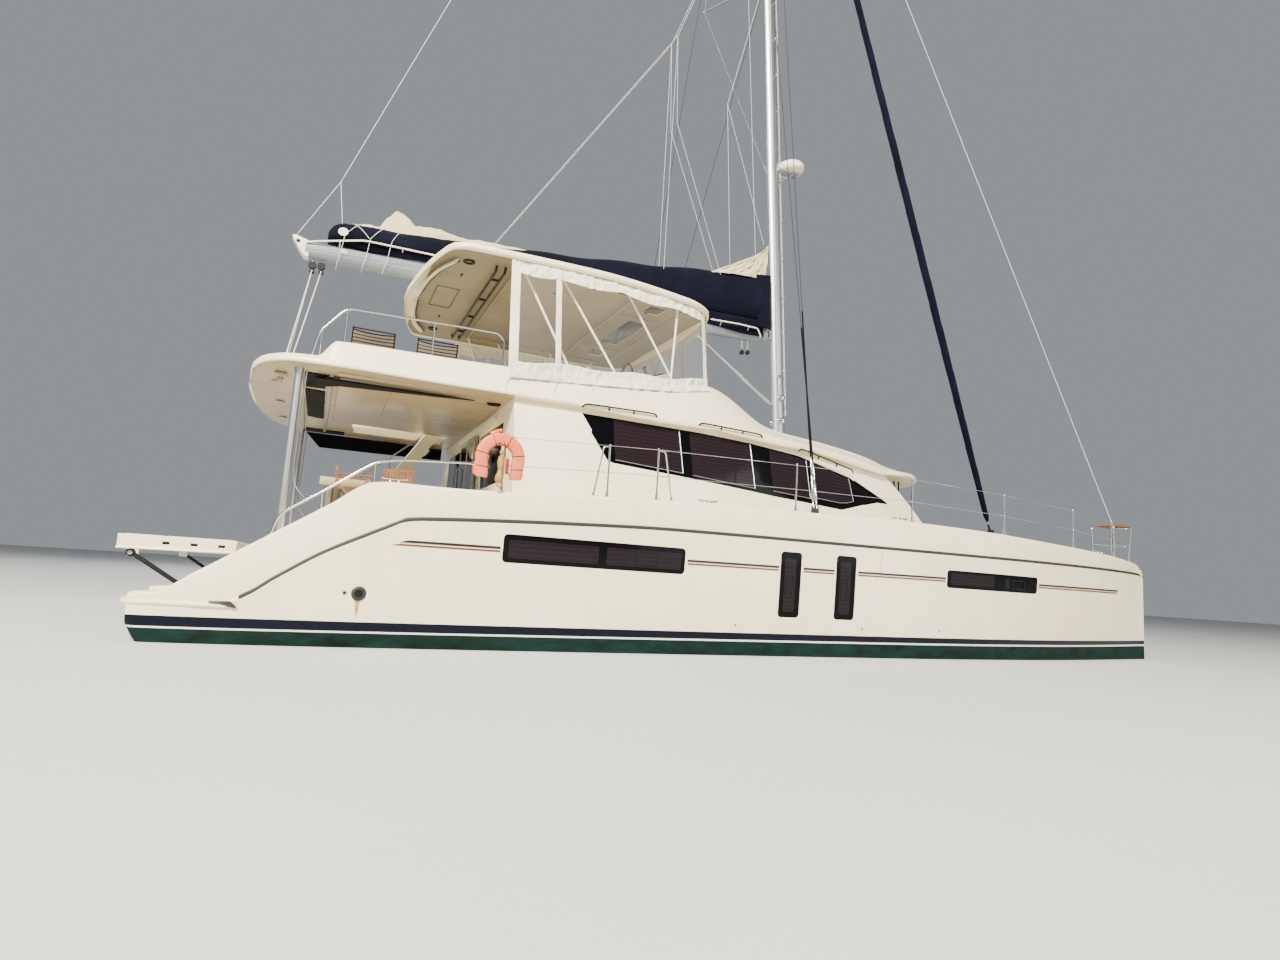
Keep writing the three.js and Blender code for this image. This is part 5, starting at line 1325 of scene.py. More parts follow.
def hardtop_lining():
    """The hardtop's headlining: a thin skin inside the rounded rim, open under the skylights."""
    rings = []
    stations = [3150, 3200, 3270, 3340, 3440, 3560] + steps_between(3700, 7500, 20)
    stations += [7600, 7700, 7790, 7860]
    for s in stations:
        half = hardtop_section(s)
        rings.append(across([(0, half[0][1] - 10)] + [(y, z - 10) for y, z in half[1:5]]
                            + [(half[4][0], half[4][1] + 2)] + [(y, z + 2) for y, z in half[3:0:-1]]
                            + [(0, half[0][1] + 2)], s))
    openings = [block(s0 - 6, s1 + 6, y0 - 6, y1 + 6, 5560, 5960, 30) for s0, s1, y0, y1 in SKYLIGHTS]
    return carved(loft(rings), *openings)


def light_line(y_sign, drop):
    """Line of the light strip along the hardtop's aft edge, on one side."""
    return [at(s, y_sign * y, top_rim(s) + drop)
            for s, y in ((3100, -150), (3150, -900), (3265, -1500), (3450, -1940))]


def hardtop_fittings():
    """The white light strips along the hardtop's aft edge."""
    return joined([tube(light_line(side, -8), 52, 200, 12, .5) for side in (1, -1)])


def hardtop_slots():
    """Small dark slots and speakers in the hardtop's underside."""
    slots = [block(3635, 3665, y - 50, y + 50, 5680, 5694, 5) for y in (-1240, 1060)]
    slots += [turned([(52, 2), (92, 2), (92, -12), (78, -20), (52, -14), (52, 2)], at(3650, y, 5684),
                     sides=28)
              for y in (-1860, 1860)]
    slots += [tube([point + Vector((.045, 0, 0)) for point in light_line(side, -2)], 12, 200, 8)
              for side in (1, -1)]
    hatch = [at(s, y, 5686) for s, y in ((3370, -560), (3740, -560), (3740, 470), (3370, 470), (3370, -560))]
    slots += [tube([a, b], 5, sides=6) for a, b in zip(hatch, hatch[1:])]
    slots += [turned([(0, 0), (30, 0), (30, -7), (0, -9)], at(s, y, 5676), sides=16)
              for s in (5200, 6900) for y in (-1350, 1350)]
    return joined(slots)


def overhead_rails():
    """The two dark handrails with rungs that run athwart under the hardtop's fore part of the aft bay."""
    runs = [[at(s, -2000, 5668), at(s, -1960, 5590), at(s, 1960, 5590), at(s, 2000, 5668)]
            for s in (4060, 4200)]
    runs += [[at(4060, y, 5590), at(4200, y, 5590)] for y in (-1580, -580, 420, 1400)]
    return tubes(runs, 22, 60, 10)


# Breadth at which the struts' heads stand, and their height.
STRUT_SPREAD = -2150
STRUT_HEAD = 5674


def rail_point(station, lift=24):
    """A point of the strut rail along the starboard coaming."""
    return at(station, -(coaming_half(station) - 110), coaming_top(station) + lift)


def strut_tubes():
    """The hardtop's struts: single ones fore and aft, and one long bent tube that runs along the coaming."""
    def head(station):
        return at(station, STRUT_SPREAD, STRUT_HEAD)
    runs = [[head(4430), rail_point(5210, 10)], [head(6190), rail_point(7040, 30)],
            [head(5060)] + [rail_point(s, 26) for s in (5990, 6300, 6700, 6960)] + [head(7150)]]
    shape = tubes(runs, 19, 130, 12)
    feet = []
    for station in (5210, 7040, 6150, 6850):
        foot = rail_point(station, 4)
        feet.append(turned([(0, 0), (46, 0), (46, 6), (26, 10), (22, 26), (0, 26)], foot, sides=18))
    for station in (4430, 6190, 5060, 7150):
        top = at(station, STRUT_SPREAD, top_rim(station) + 46)
        feet.append(turned([(0, 0), (44, 0), (44, -6), (24, -10), (20, -30), (0, -30)], top, sides=18))
    return add_in(shape, *feet)


# Station and hem height of the side curtain.
CURTAIN_HEM = [[4200, 3690], [5500, 3800], [7000, 3980], [7250, 4040], [7700, 4150]]
hem_height = curve_through(CURTAIN_HEM, 1)


def curtain_point(station, share, proud=0.0, lively=1.0):
    """A point of the starboard side curtain, share 0 at the hem and 1 at the head, waving a little."""
    lip, half = coaming_top(station), coaming_half(station)
    hem = hem_height(station)
    foot = half + (lip - hem) * 0.62 + 16
    head, top = top_half(station) - 62, top_rim(station) + 2
    lip_share = (lip - hem) / (top - hem)
    if share < lip_share:
        t = share / lip_share
        y, z = foot + (half + 22 - foot) * t, hem + (lip - hem) * t
    else:
        t = (share - lip_share) / (1 - lip_share)
        y, z = half + 22 + (head - half - 22) * t, lip + (top - lip) * t
    slack = math.sin(math.pi * min(max(share, 0), 1))
    wave = lively * (10 * wander((station / 1000, share * 2.2, 0), 0.42, 1)
                     + 16 * slack * wander((station / 1000, share, 5), 1.1, 2))
    return at(station, -(y + proud + wave), z)


def curtain_patch(s0, s1, low, high, proud, across_count, up_count, crumple=0.0, seed=3):
    """A part of the side curtain between two stations and two shares of its height."""
    bm = bmesh.new()
    bmesh.ops.create_grid(bm, x_segments=across_count, y_segments=up_count, size=0.5)
    for vert in bm.verts:
        u, v = vert.co.x + 0.5, vert.co.y + 0.5
        station = s0 + (s1 - s0) * u
        bottom = low(station) if callable(low) else low
        top = high(station) if callable(high) else high
        share = bottom + (top - bottom) * v
        rough = crumple * (wander((station / 1000, share * 1.4, seed), 0.1, seed)
                           + 0.6 * wander((station / 1000, share * 1.2, seed), 0.045, seed + 2))
        vert.co = curtain_point(station, share, proud + rough)
    return bm


def valance(station):
    """Share of the curtain's height where the gathered upper band ends, scalloped between its ties."""
    bay = ((station - 4980) / 1030) % 1 if station > 4980 else ((station - 4200) / 780) % 1
    return 0.905 - 0.03 * math.sin(math.pi * bay)


def skirt(station):
    """Share of the curtain's height where the gathered lower band ends."""
    return 0.15 + 0.012 * math.sin(station / 190)


def curtain_borders():
    """White cloth borders of the side curtain: aft edge, the zip bands, the gathered head and hem."""
    parts = [curtain_patch(4195, 4335, 0.0, 1.0, 5, 8, 60, 7, 4),
             curtain_patch(4895, 4985, 0.02, 0.985, 6, 6, 60, 6, 6),
             curtain_patch(4200, 7690, 0.0, skirt, 3, 260, 14, 30, 8),
             curtain_patch(4200, 7690, valance, 0.995, 3, 260, 12, 28, 11),
             curtain_patch(7610, 7695, 0.0, 1.0, 4, 5, 50, 5, 13)]
    return joined(parts)


FRONT_CURTAIN = [[-1980, 7870, 7790], [-1450, 8030, 7930], [-600, 8080, 8010], [0, 8090, 8018],
                 [600, 8080, 8010], [1450, 8030, 7930], [1980, 7870, 7790]]
front_foot, front_head = (curve_through(FRONT_CURTAIN, k) for k in (1, 2))


def front_patch(y0, y1, low, high, proud, across_count, up_count, crumple=0.0):
    """A part of the front curtain between two breadths and two shares of its height."""
    bm = bmesh.new()
    bmesh.ops.create_grid(bm, x_segments=across_count, y_segments=up_count, size=0.5)
    for vert in bm.verts:
        u, v = vert.co.x + 0.5, vert.co.y + 0.5
        y = y0 + (y1 - y0) * u
        share = low + (high - low) * v
        station = front_foot(y) + (front_head(y) - front_foot(y)) * share
        base = max(coaming_top(station) + 6, 4238) if abs(y) < 2150 else 4150
        rough = crumple * (wander((y / 1000, share * 5, 3), 0.14, 5)
                           + 0.5 * wander((y / 1000, share * 9, 1), 0.05, 6))
        slack = 14 * math.sin(math.pi * share) * wander((y / 1000, share, 2), 1.0, 7)
        vert.co = at(station - 7 + proud + rough + slack, y, base + (top_rim(7990) + 26 - base) * share)
    return bm


def build_flybridge():
    """Hardtop, curtains, struts and rails of the flybridge."""
    deck = finish("deck_gelcoat")
    piece_from("hardtop_moulding", hardtop_shape(), deck, stands_for=("hardtop",), slot="gelcoat", angle=34)
    # The hardtop's headlining vinyl is darkened as painted shade.
    piece_from("hardtop_headlining", hardtop_lining(), finish("headlining_vinyl"), slot="gelcoat", angle=40)
    # The hardtop's beams take the same gelcoat darkened as painted shade.
    piece_from("hardtop_beams", hardtop_underside(), finish("ceiling_gelcoat"), slot="gelcoat", angle=50)
    piece_from("hardtop_lamps", hardtop_fittings(), finish("white_canvas"), slot="gelcoat")
    piece_from("hardtop_slots", hardtop_slots(), finish("black_nylon"), slot="black_plastic")
    piece_from("overhead_rails", overhead_rails(), finish("bronze_tube"), slot="black_plastic")
    piece_from("skylights", skylight_panes(), finish("solar_glass"), slot="dark_glass")
    pair_of(strut_tubes, "hardtop_strut_tubes", finish("white_powder_coat"), stands_for=("hardtop_struts",),
            slot="stainless")
    cloth = finish("white_canvas")
    clear = finish("clear_vinyl")
    borders = pair_of(curtain_borders, "curtain_borders", cloth, slot="white_cloth", angle=80, solid=1.2)
    windows = pair_of(lambda: curtain_patch(4205, 7685, 0.02, 0.98, 0, 90, 36), "side_curtain_vinyl", clear,
                      stands_for=("side_curtain",), slot="white_cloth", angle=80)
    front = piece_from("front_curtain_vinyl", front_patch(-1975, 1975, 0, 1, 0, 60, 30), clear,
                       stands_for=("front_curtain",), slot="white_cloth", angle=80)
    edges = add_in(front_patch(-1980, 1980, 0, .13, 3, 200, 10, 16),
                   front_patch(-1980, 1980, .9, 1, 3, 200, 8, 14),
                   *[front_patch(y - 45, y + 45, .04, .97, 4, 5, 40, 4) for y in (-1930, -680, 680, 1930)])
    front_edges = piece_from("front_curtain_borders", edges, cloth, slot="white_cloth", angle=80, solid=1.2)
    pair_of(curtain_straps, "curtain_straps", finish("white_rope"), slot="white_cloth")


def curtain_straps():
    """Short straps that hold the curtain's hem down to eyes on the coaming's outer face."""
    parts = []
    for station in (4205, 4925, 5500, 6270, 6980):
        hem = hem_height(station)
        top = curtain_point(station, 0.02, 6)
        below = at(station - 60, -(roof_face(station, hem - 150) + 6), hem - 150)
        parts.append(tube([top, below], 7, 10, 6))
        parts.append(turned([(0, 0), (20, 0), (20, 5), (8, 10), (0, 10)], below, (0, -1, 0.4), 10))
    return joined(parts)


def roof_face(station, height):
    """Half breadth of the coaming's outer face at a height."""
    section = roof_section(station)[8:18]
    for (y0, z0), (y1, z1) in zip(section, section[1:]):
        if z0 <= height <= z1:
            return y0 + (y1 - y0) * (height - z0) / max(z1 - z0, 1)
    return section[-1][0]


# Rig

# Station and height of the mast's heel, and its rake aft in degrees.
HEEL_STATION, HEEL_HEIGHT, RAKE = 10735, 3900, 4
# How far up the mast the stay and cap shrouds meet it, and the lower shrouds.
HOUNDS = 19300
LOWER_HOUNDS = 10900
# The gooseneck aft of the mast's middle and up from its heel, and the boom's rise aft in degrees.
GOOSENECK_AFT, GOOSENECK_UP = 185, 2430
BOOM_RISE = 2.2
# The starboard spreader's tip: fore of the mast's middle, aside and up.
SPREADER_TIP = (-850, 1500, 10740)


def on_rig(fore, y, up):
    """A point given fore of the mast's middle and up from its heel, along the raked mast."""
    lean = math.radians(RAKE)
    return at(HEEL_STATION + fore * math.cos(lean) - up * math.sin(lean), y,
              HEEL_HEIGHT + fore * math.sin(lean) + up * math.cos(lean))


def up_the_mast():
    """The raked mast's own direction, a metre long."""
    return on_rig(0, 0, 1000) - on_rig(0, 0, 0)


def on_boom(aft, y, up):
    """A point given aft of the gooseneck's line and up from the boom's middle line."""
    lift = math.radians(BOOM_RISE)
    return on_rig(-GOOSENECK_AFT - aft * math.cos(lift) + up * math.sin(lift), y,
                  GOOSENECK_UP + aft * math.sin(lift) + up * math.cos(lift))


MAST_RINGS = [[0, 145, 90], [HOUNDS, 145, 90], [24300, 95, 62]]
mast_long, mast_wide = (straight_through(MAST_RINGS, k) for k in (1, 2))


def mast_tube():
    """The mast's oval extrusion with the sail track's groove down its aft face."""
    rings = []
    for z in [0, 4000, 9000, 14000, HOUNDS, 21000, 22600, 24300]:
        long, wide = mast_long(z), mast_wide(z)
        ring = []
        for k in range(32):
            a = math.tau * k / 32
            x, y = long * math.cos(a), wide * math.sin(a)
            if k in (15, 17):
                x -= 4
            ring.append(on_rig(x + (10 if k == 16 else 0), y, z))
        rings.append(ring)
    return loft(rings)


def mast_parts():
    """Spreaders, heel collar, gooseneck plates, masthead, hitches and tangs."""
    parts = []
    for side in (-1, 1):
        rings = []
        for share in (0, .04, .5, .93, 1):
            x, y, z = -60 - 790 * share, side * (60 + 1440 * share), 10700 + 40 * share
            long, thick = 62 - 26 * share, 24 - 10 * share
            rings.append([on_rig(x + long * math.cos(a), y, z + thick * math.sin(a))
                          for a in (math.tau * k / 14 for k in range(14))])
        parts.append(loft(rings))
        parts.append(turned([(0, -26), (22, -22), (28, 0), (22, 22), (0, 26)],
                            on_rig(-850, side * 1506, 10740), sides=14))
        parts.append(block_on_rig(-40, 110, side * 92 - 8, side * 92 + 8, 10580, 10820, 6))
    parts.append(block_on_rig(-330, 170, -55, 55, 24240, 24360, 22))
    parts.append(tube([on_rig(-250, 0, 24320), on_rig(-250, 0, 25000)], 8, sides=8))
    parts.append(tube([on_rig(-330, 0, 24990), on_rig(-170, 0, 24990)], 7, sides=8))
    parts.append(turned([(0, -20), (26, -14), (34, 6), (22, 26), (0, 30)], on_rig(-170, 0, 24990), sides=12))
    parts.append(block_on_rig(-100, 190, -32, 32, HOUNDS - 60, HOUNDS + 60, 10))
    for dz in (52, -72):
        parts.append(block_on_rig(-220, -100, -36, 36, GOOSENECK_UP + dz, GOOSENECK_UP + 20 + dz, 5))
    parts.append(turned([(0, 50), (20, 50), (20, 86), (26, 88), (26, 98), (0, 98)],
                        on_rig(-GOOSENECK_AFT, 0, GOOSENECK_UP), up_the_mast(), 16))
    parts.append(block_on_rig(-215, -100, -30, 30, 915, 935, 4))
    parts.append(turned([(0, -60), (250, -60), (256, 40), (226, 90), (190, 110), (0, 110)], on_rig(0, 0, 0),
                        up_the_mast(), 40))
    return joined(parts)


def block_on_rig(x0, x1, y0, y1, z0, z1, round_mm):
    """A rounded block given in the rig's own frame."""
    bm = bmesh.new()
    bmesh.ops.create_cube(bm, size=1)
    bmesh.ops.scale(bm, vec=Vector((x1 - x0, y1 - y0, z1 - z0)) / 1000, verts=bm.verts)
    bmesh.ops.bevel(bm, geom=list(bm.edges), offset=round_mm / 1000, segments=2, profile=0.5, affect="EDGES",
                    material=-1)
    return placed(bm, on_rig((x0 + x1) / 2, (y0 + y1) / 2, (z0 + z1) / 2),
                  Matrix.Rotation(math.radians(-RAKE), 3, "Y"))


def mast_track():
    """The batten cars' track on the mast's aft face, and the mast's steps."""
    track = tube([on_rig(-150, 0, 2750), on_rig(-150, 0, HOUNDS)], 11, sides=8)
    steps = []
    for k in range(22):
        z = 1500 + k * 430
        side = 1 if k % 2 else -1
        x = 60
        y = side * (mast_wide(z) * .9)
        steps.append(tube([on_rig(x, y, z), on_rig(x, y + side * 120, z + 4),
                           on_rig(x + 20, y + side * 140, z + 30), on_rig(x + 20, y + side * 120, z + 130),
                           on_rig(x, y, z + 150)], 7, 30, 6))
    return add_in(track, *steps)


def mast_winches():
    """Halyard winches and clutches at the mast's foot."""
    parts = []
    for side, z in ((-1, 560), (1, 560), (-1, 1050)):
        place = on_rig(-20, side * 88, z)
        parts.append(turned([(0, 0), (62, 0), (66, 12), (50, 22), (40, 60), (46, 96), (58, 104), (60, 118),
                             (40, 128), (0, 128)], place, (0, side, 0), 28))
    for side in (-1, 1):
        parts.append(block_on_rig(-60, 30, side * 84 - 14, side * 84 + 30 * (side > 0) + 14, 1350, 1560, 10))
    return joined(parts)


def standing_wires():
    """Diamond stays from the mast's foot over the spreaders, and back to the hounds."""
    parts = []
    for side in (-1, 1):
        tip = on_rig(SPREADER_TIP[0], side * SPREADER_TIP[1], SPREADER_TIP[2])
        low, high = on_rig(-40, side * 82, 6000), on_rig(-20, side * 85, HOUNDS - 250)
        parts += [tube([low, tip], 6, sides=8), tube([tip, high], 6, sides=8)]
        along = (tip - low).normalized()
        parts.append(tube([low + along * .05, low + along * .42], 13, sides=10))
    return joined(parts)


SHROUD_STATION, SHROUD_SIDE = 8650, -4110
SHROUD_FOOT = deck_edge(SHROUD_STATION) + 90


def shroud_lines():
    """Foot, head and direction of the starboard cap shroud and lower shroud."""
    lines = []
    for shift, height in ((-30, HOUNDS), (30, LOWER_HOUNDS)):
        foot, head = at(SHROUD_STATION + shift, SHROUD_SIDE, SHROUD_FOOT), on_rig(0, -70, height)
        lines.append((foot, head, (head - foot).normalized()))
    return lines


def shroud_wires():
    """Cap and lower shroud of the starboard side and their chainplate."""
    parts = [tube([foot, head], 7.5, sides=8) for foot, head, _ in shroud_lines()]
    parts.append(plate([at(s, -4118, SHROUD_FOOT + up)
                        for s, up in ((8575, -150), (8725, -150), (8712, 28), (8588, 28))],
                       (0, 0.014, 0), 14, 3, 2))
    parts.append(block(8590, 8710, -4135, -4085, SHROUD_FOOT - 92, SHROUD_FOOT - 76, 5))
    return joined(parts)


def turnbuckles():
    """Toggles, screws and sleeves at the foot of the shrouds."""
    profile = [(0, -20), (18, -16), (20, 40), (13, 60), (13, 110), (21, 130), (21, 400), (13, 420),
               (13, 520), (17, 540), (17, 760), (10, 780), (0, 780)]
    return joined([turned(profile, foot, along, 14) for foot, _, along in shroud_lines()])


def shroud_sleeves():
    """Dark wound covers on the lower shrouds above the turnbuckles."""
    return joined([tube([foot + along * .8, foot + along * 3.3], 13, sides=10)
                   for foot, _, along in shroud_lines()])


def stay_line():
    """Tack and head of the stay that carries the furled headsail."""
    return at(16990, 0, 2330), on_rig(202, 0, HOUNDS)


def roll_of_headsail():
    """The furled headsail: its dark sun strip wound in a slow spiral round the foil."""
    tack, head = stay_line()
    along = head - tack
    reach = along.length
    along.normalize()
    side = along.cross(Vector((0, 1, 0))).normalized()
    other = along.cross(side)
    radius_at = curve_through([[0.025, 20], [0.032, 60], [0.1, 74], [0.3, 88], [0.7, 66], [0.955, 34],
                               [0.965, 16]], 1)
    rings = []
    for share in steps_between(0.0255, 0.9645, 280):
        turn = share * 19.0
        ring = []
        for k in range(22):
            a = math.tau * k / 22
            lap = (a / math.tau + turn) % 1
            size = radius_at(share) * (0.93 + 0.1 * lap
                                       + 0.02 * wander((share * reach, math.cos(a), math.sin(a)), 0.3, 4))
            out = side * math.cos(a) + other * math.sin(a)
            ring.append(tack + along * share * reach + out * size / 1000)
        rings.append(ring)
    return loft(rings)


def furler():
    """The furler's two-flanged drum on its toggle."""
    tack, head = stay_line()
    along = head - tack
    reach = along.length * 1000
    profile = [(0, 0), (15, 4), (15, .006 * reach - 12), (94, .006 * reach - 8), (96, .006 * reach),
               (94, .008 * reach), (62, .008 * reach + 4), (58, .012 * reach), (92, .013 * reach),
               (95, .014 * reach), (92, .015 * reach), (40, .0155 * reach), (24, .018 * reach),
               (22, .0225 * reach), (0, .0225 * reach)]
    return turned(profile, tack, along, 36)


def foil_ends():
    """The bare foil below and above the rolled sail, with the halyard swivel."""
    tack, head = stay_line()
    along = head - tack
    parts = [tube([tack + along * .0225, tack + along * .03], 15, sides=10),
             tube([tack + along * .958, head], 12, sides=10),
             turned([(0, -60), (34, -50), (36, 40), (24, 60), (0, 60)], tack + along * .968, along, 18)]
    return joined(parts)


# Distance aft of the gooseneck, depth below and height above the middle line, half breadth.
BOOM_ROWS = [[140, 170, 200, 115], [500, 205, 200, 128], [4500, 190, 170, 128], [8770, 130, 130, 120],
             [9120, 110, 120, 110]]
boom_below, boom_above, boom_half = (curve_through(BOOM_ROWS, k) for k in (1, 2, 3))


def boom_tube():
    """The boom's deep extrusion with rounded corners and a shallow groove along each flank."""
    rings = []
    for aft in [140, 320, 500] + steps_between(1200, 8770, 14) + [8960, 9120]:
        below, above, half = boom_below(aft), boom_above(aft), boom_half(aft)
        section = [(0, -below), (-.35 * half, -below), (-.52 * half, -below * .96),
                   (-.72 * half, -below * .8), (-.96 * half, -below * .42), (-half, -below * .3),
                   (-half + 7, -below * .2), (-half + 7, -below * .1), (-half, 0), (-half, .5 * above),
                   (-.97 * half, .72 * above), (-.84 * half, .92 * above), (-.66 * half, above), (0, above)]
        ring = section + [(-y, z) for y, z in reversed(section[1:-1])]
        rings.append([on_boom(aft, y, z) for y, z in ring])
    return loft(rings)


def boom_ends():
    """The gooseneck tongue and the hangers of the sheet blocks."""
    front = loft([[on_boom(aft, y * half, z * high + 14) for y, z in (
        (-.6, -1), (-1, -.5), (-1, .5), (-.6, 1), (.6, 1), (1, .5), (1, -.5), (.6, -1))]
        for aft, half, high in ((60, 36, 40), (110, 40, 60), (142, 112, 178), (190, 120, 190))])
    pin = turned([(0, -44), (34, -44), (34, 40), (0, 40)], on_boom(0, 0, 0),
                 on_rig(0, 0, 1) - on_rig(0, 0, 0), 20)
    hangers = [turned([(0, 0), (30, 0), (30, 12), (12, 20), (12, 60), (0, 60)],
                      on_boom(aft, 0, -boom_below(aft) + 4), (0, 0, -1), 14)
               for aft in (540, 680, 1850, 8850, 8990)]
    hangers += [tube([on_boom(aft, side * 16, -boom_below(aft) - 40), on_boom(aft, side * 16, -420)], 7,
                     sides=8)
                for aft in (540, 680) for side in (-1, 1)]
    return add_in(front, pin, *hangers)


def boom_cap():
    """The white casting that closes the boom's after end, a raked nose."""
    outline = [(9060, 140), (9160, 172), (9285, 208), (9322, 192), (9314, 150), (9235, 20), (9180, -70),
               (9120, -128), (9060, -130)]
    return plate([on_boom(aft, -100, up) for aft, up in outline], (0, .2, 0), 12, 3, 8)


def boom_eye():
    """The dark eye through the boom's end casting."""
    return turned([(0, -103), (30, -103), (34, -101), (34, 101), (30, 103), (0, 103)], on_boom(9232, 0, 108),
                  (0, 1, 0), 24)


def boom_rails():
    """The white side rails along the sail bag's foot."""
    parts = []
    for side in (-1, 1):
        parts.append(tube([on_boom(9108, side * 118, 96), on_boom(8960, side * 150, 132),
                           on_boom(8215, side * 236, 268), on_boom(6960, side * 246, 240),
                           on_boom(6640, side * 246, 120), on_boom(6560, side * 122, 20)],
                          15, 90, 8))
        parts.append(tube([on_boom(1560, side * 238, 26), on_boom(900, side * 236, 34),
                           on_boom(430, side * 206, 26), on_boom(310, side * 150, -120),
                           on_boom(330, side * 112, -128)], 15, 60, 8))
        for aft, y, z in ((8600, 194, 198), (7600, 240, 254), (1300, 238, 30), (640, 222, 30)):
            parts.append(tube([on_boom(aft, side * 118, z - 90), on_boom(aft, side * y, z)], 9, sides=8))
    return joined(parts)


def bag_skirt():
    """The bag's lower cloth, hung over the boom's flanks and laced under it."""
    hem = curve_through([[200, -110], [600, -120], [2000, 0], [5000, 110], [8000, 130], [8550, 176]], 1)
    parts = []
    for side in (-1, 1):
        bm = bmesh.new()
        bmesh.ops.create_grid(bm, x_segments=110, y_segments=5, size=0.5)
        for vert in bm.verts:
            aft = 240 + 8360 * (vert.co.x + 0.5)
            down = 0.5 - vert.co.y
            low = min(hem(aft) + 14 * wander((aft / 1000, 0, side), .45, 4), 196)
            wave = 10 * wander((aft / 1000, down, side), .35, 6) * down
            y = side * (bag_half(aft) * (.86 - .1 * down) * (1 - down) + (boom_half(aft) + 24) * down + wave)
            vert.co = on_boom(aft, y, 215 * (1 - down) + low * down)
        parts.append(bm)
        parts.append(cloth_patch([on_boom(430, side * 214, 60), on_boom(70, side * 158, 40),
                                  on_boom(70, side * 130, 1270), on_boom(430, side * 130, 1230)], 18, 30,
                                 side * .05, 7 + side, .02))
    return joined(parts)


def boom_marks():
    """The round white patch on the bag and the white tape on the boom, each side."""
    parts = []
    for side in (-1, 1):
        place = bag_point(8560, side * .95, .4)
        along, upward = bag_point(8500, side * .95, .4) - place, bag_point(8560, side * .86, .6) - place
        lie = along.cross(upward).normalized()
        out = lie if lie.y * side > 0 else -lie
        parts.append(turned([(0, -2), (78, -2), (80, 3), (76, 7), (0, 9)], place + out * .012, out, 32))
        parts.append(block_on_boom(8480, 8560, side * 122, 9, 18, 92))
    return joined(parts)


def block_on_boom(aft0, aft1, y, thick, low, high):
    """A thin patch on the boom's flank."""
    return plate([on_boom(aft, y - thick / 2, up)
                  for aft, up in ((aft0, low), (aft1, low), (aft1, high), (aft0, high))],
                 (0, thick / 1000, 0), 6, 3, 1)


def sheave_block(place, along, radius=48, thick=34):
    """A mainsheet block: two cheeks round a sheave, on a becket."""
    axis = Vector((0, 1, 0))
    cheeks = turned([(0, -thick / 2), (radius - 6, -thick / 2), (radius, -thick / 2 + 5), (radius, -5),
                     (radius - 12, -3), (radius - 12, 3), (radius, 5), (radius, thick / 2 - 5),
                     (radius - 6, thick / 2), (0, thick / 2)], place, axis, 24)
    strap = tube([place + Vector(along) * .02, place + Vector(along) * .1], 11, sides=8)
    return add_in(cheeks, strap)


# Distance aft of the gooseneck, height of the crown above the boom's middle line, half breadth.
BAG_ROWS = [[170, 1280, 150], [420, 1270, 215], [2500, 1050, 235], [5000, 815, 240], [7300, 655, 225],
            [8000, 622, 220], [8550, 585, 205], [8720, 500, 170], [8790, 380, 110]]
bag_crown, bag_half = (curve_through(BAG_ROWS, k) for k in (1, 2))
BAG_HALF_RING = [(-.45, 0), (-.72, .03), (-.9, .12), (-.99, .24), (-1, .34), (-.95, .46), (-.86, .6),
                 (-.74, .72), (-.6, .82), (-.44, .9), (-.27, .96), (-.12, .992), (0, 1)]


def bag_point(aft, across, share, lively=1.0):
    """A point of the sail bag's skin: across from -1 to 1, share up from its foot, sagging between ties."""
    foot, crown, half = 201, bag_crown(aft), bag_half(aft)
    sag = 34 * math.sin(math.pi * ((aft - 420) / 1560 % 1)) ** 2 * (1 if 420 < aft < 8550 else 0)
    rise = crown - foot - sag
    fore = max(0, 1 - aft / 2600)
    pull = share * (1 - share) * 4
    hang = (aft / 1000 + share * .25 * (1 + 2 * fore), across * .4, share * .35)
    fold = (16 + 18 * fore) * pull * wander(hang, 0.17, 3)
    fold += 9 * pull * wander((aft / 1000, across, share * 1.4), 0.33, 9)
    fold += 5 * wander((aft / 1000, across * .5, share * 3), 0.09, 12) * (0.3 + fore)
    bulge = 14 * pull * math.sin(math.pi * ((aft - 420) / 1560 % 1))
    side = 0 if across == 0 else math.copysign(1, across)
    y = across * half + side * (fold + bulge) * lively
    z = foot + share * rise + (fold * .35 if share > .8 else 0) * lively
    return on_boom(aft, y, z)


def sail_bag():
    """The sail bag: one stretched cloth shell with folds that hang from its ties."""
    ring = BAG_HALF_RING + [(-y, z) for y, z in reversed(BAG_HALF_RING[:-1])]
    stations = [170, 185, 215, 260] + steps_between(320, 8500, 190) + [8560, 8620, 8670, 8720, 8760, 8790]
    return loft([[bag_point(aft, y, z) for y, z in ring] for aft in stations])


def bag_trims():
    """The zip along the bag's crown."""
    zip_line = [bag_point(aft, 0, 1) + Vector((0, 0, .004)) for aft in steps_between(200, 8700, 120)]
    return tube(zip_line, 12, 5, 6, .6)


def bag_lines():
    """Thin white lines laid slanting over the bag and under the boom in loops, two of them crossed."""
    parts = []
    for top, low, foot in ((8290, 8530, -210), (7890, 8130, -190), (7640, 7790, -170), (8420, 8150, 0)):
        over = []
        for y, z in ((-1, .3), (-.97, .5), (-.8, .7), (-.55, .86), (-.25, .965), (0, 1), (.25, .965),
                     (.55, .86), (.8, .7), (.97, .5), (1, .3)):
            aft = low + (top - low) * (z - .3) / .7
            point = bag_point(aft, y, z)
            over.append(point + (point - on_boom(aft, 0, 400)).normalized() * .014)
        side = [on_boom(low + 40, 200, 60), on_boom(low + 90, 136, foot + 40)]
        under = side + [on_boom(low + 100, 60, foot), on_boom(low + 100, -60, foot)] + [
            Vector((point.x, -point.y, point.z)) for point in side[::-1]]
        parts.append(tube(over + under + over[:1] if foot else over, 5, 60, 6))
    return joined(parts)


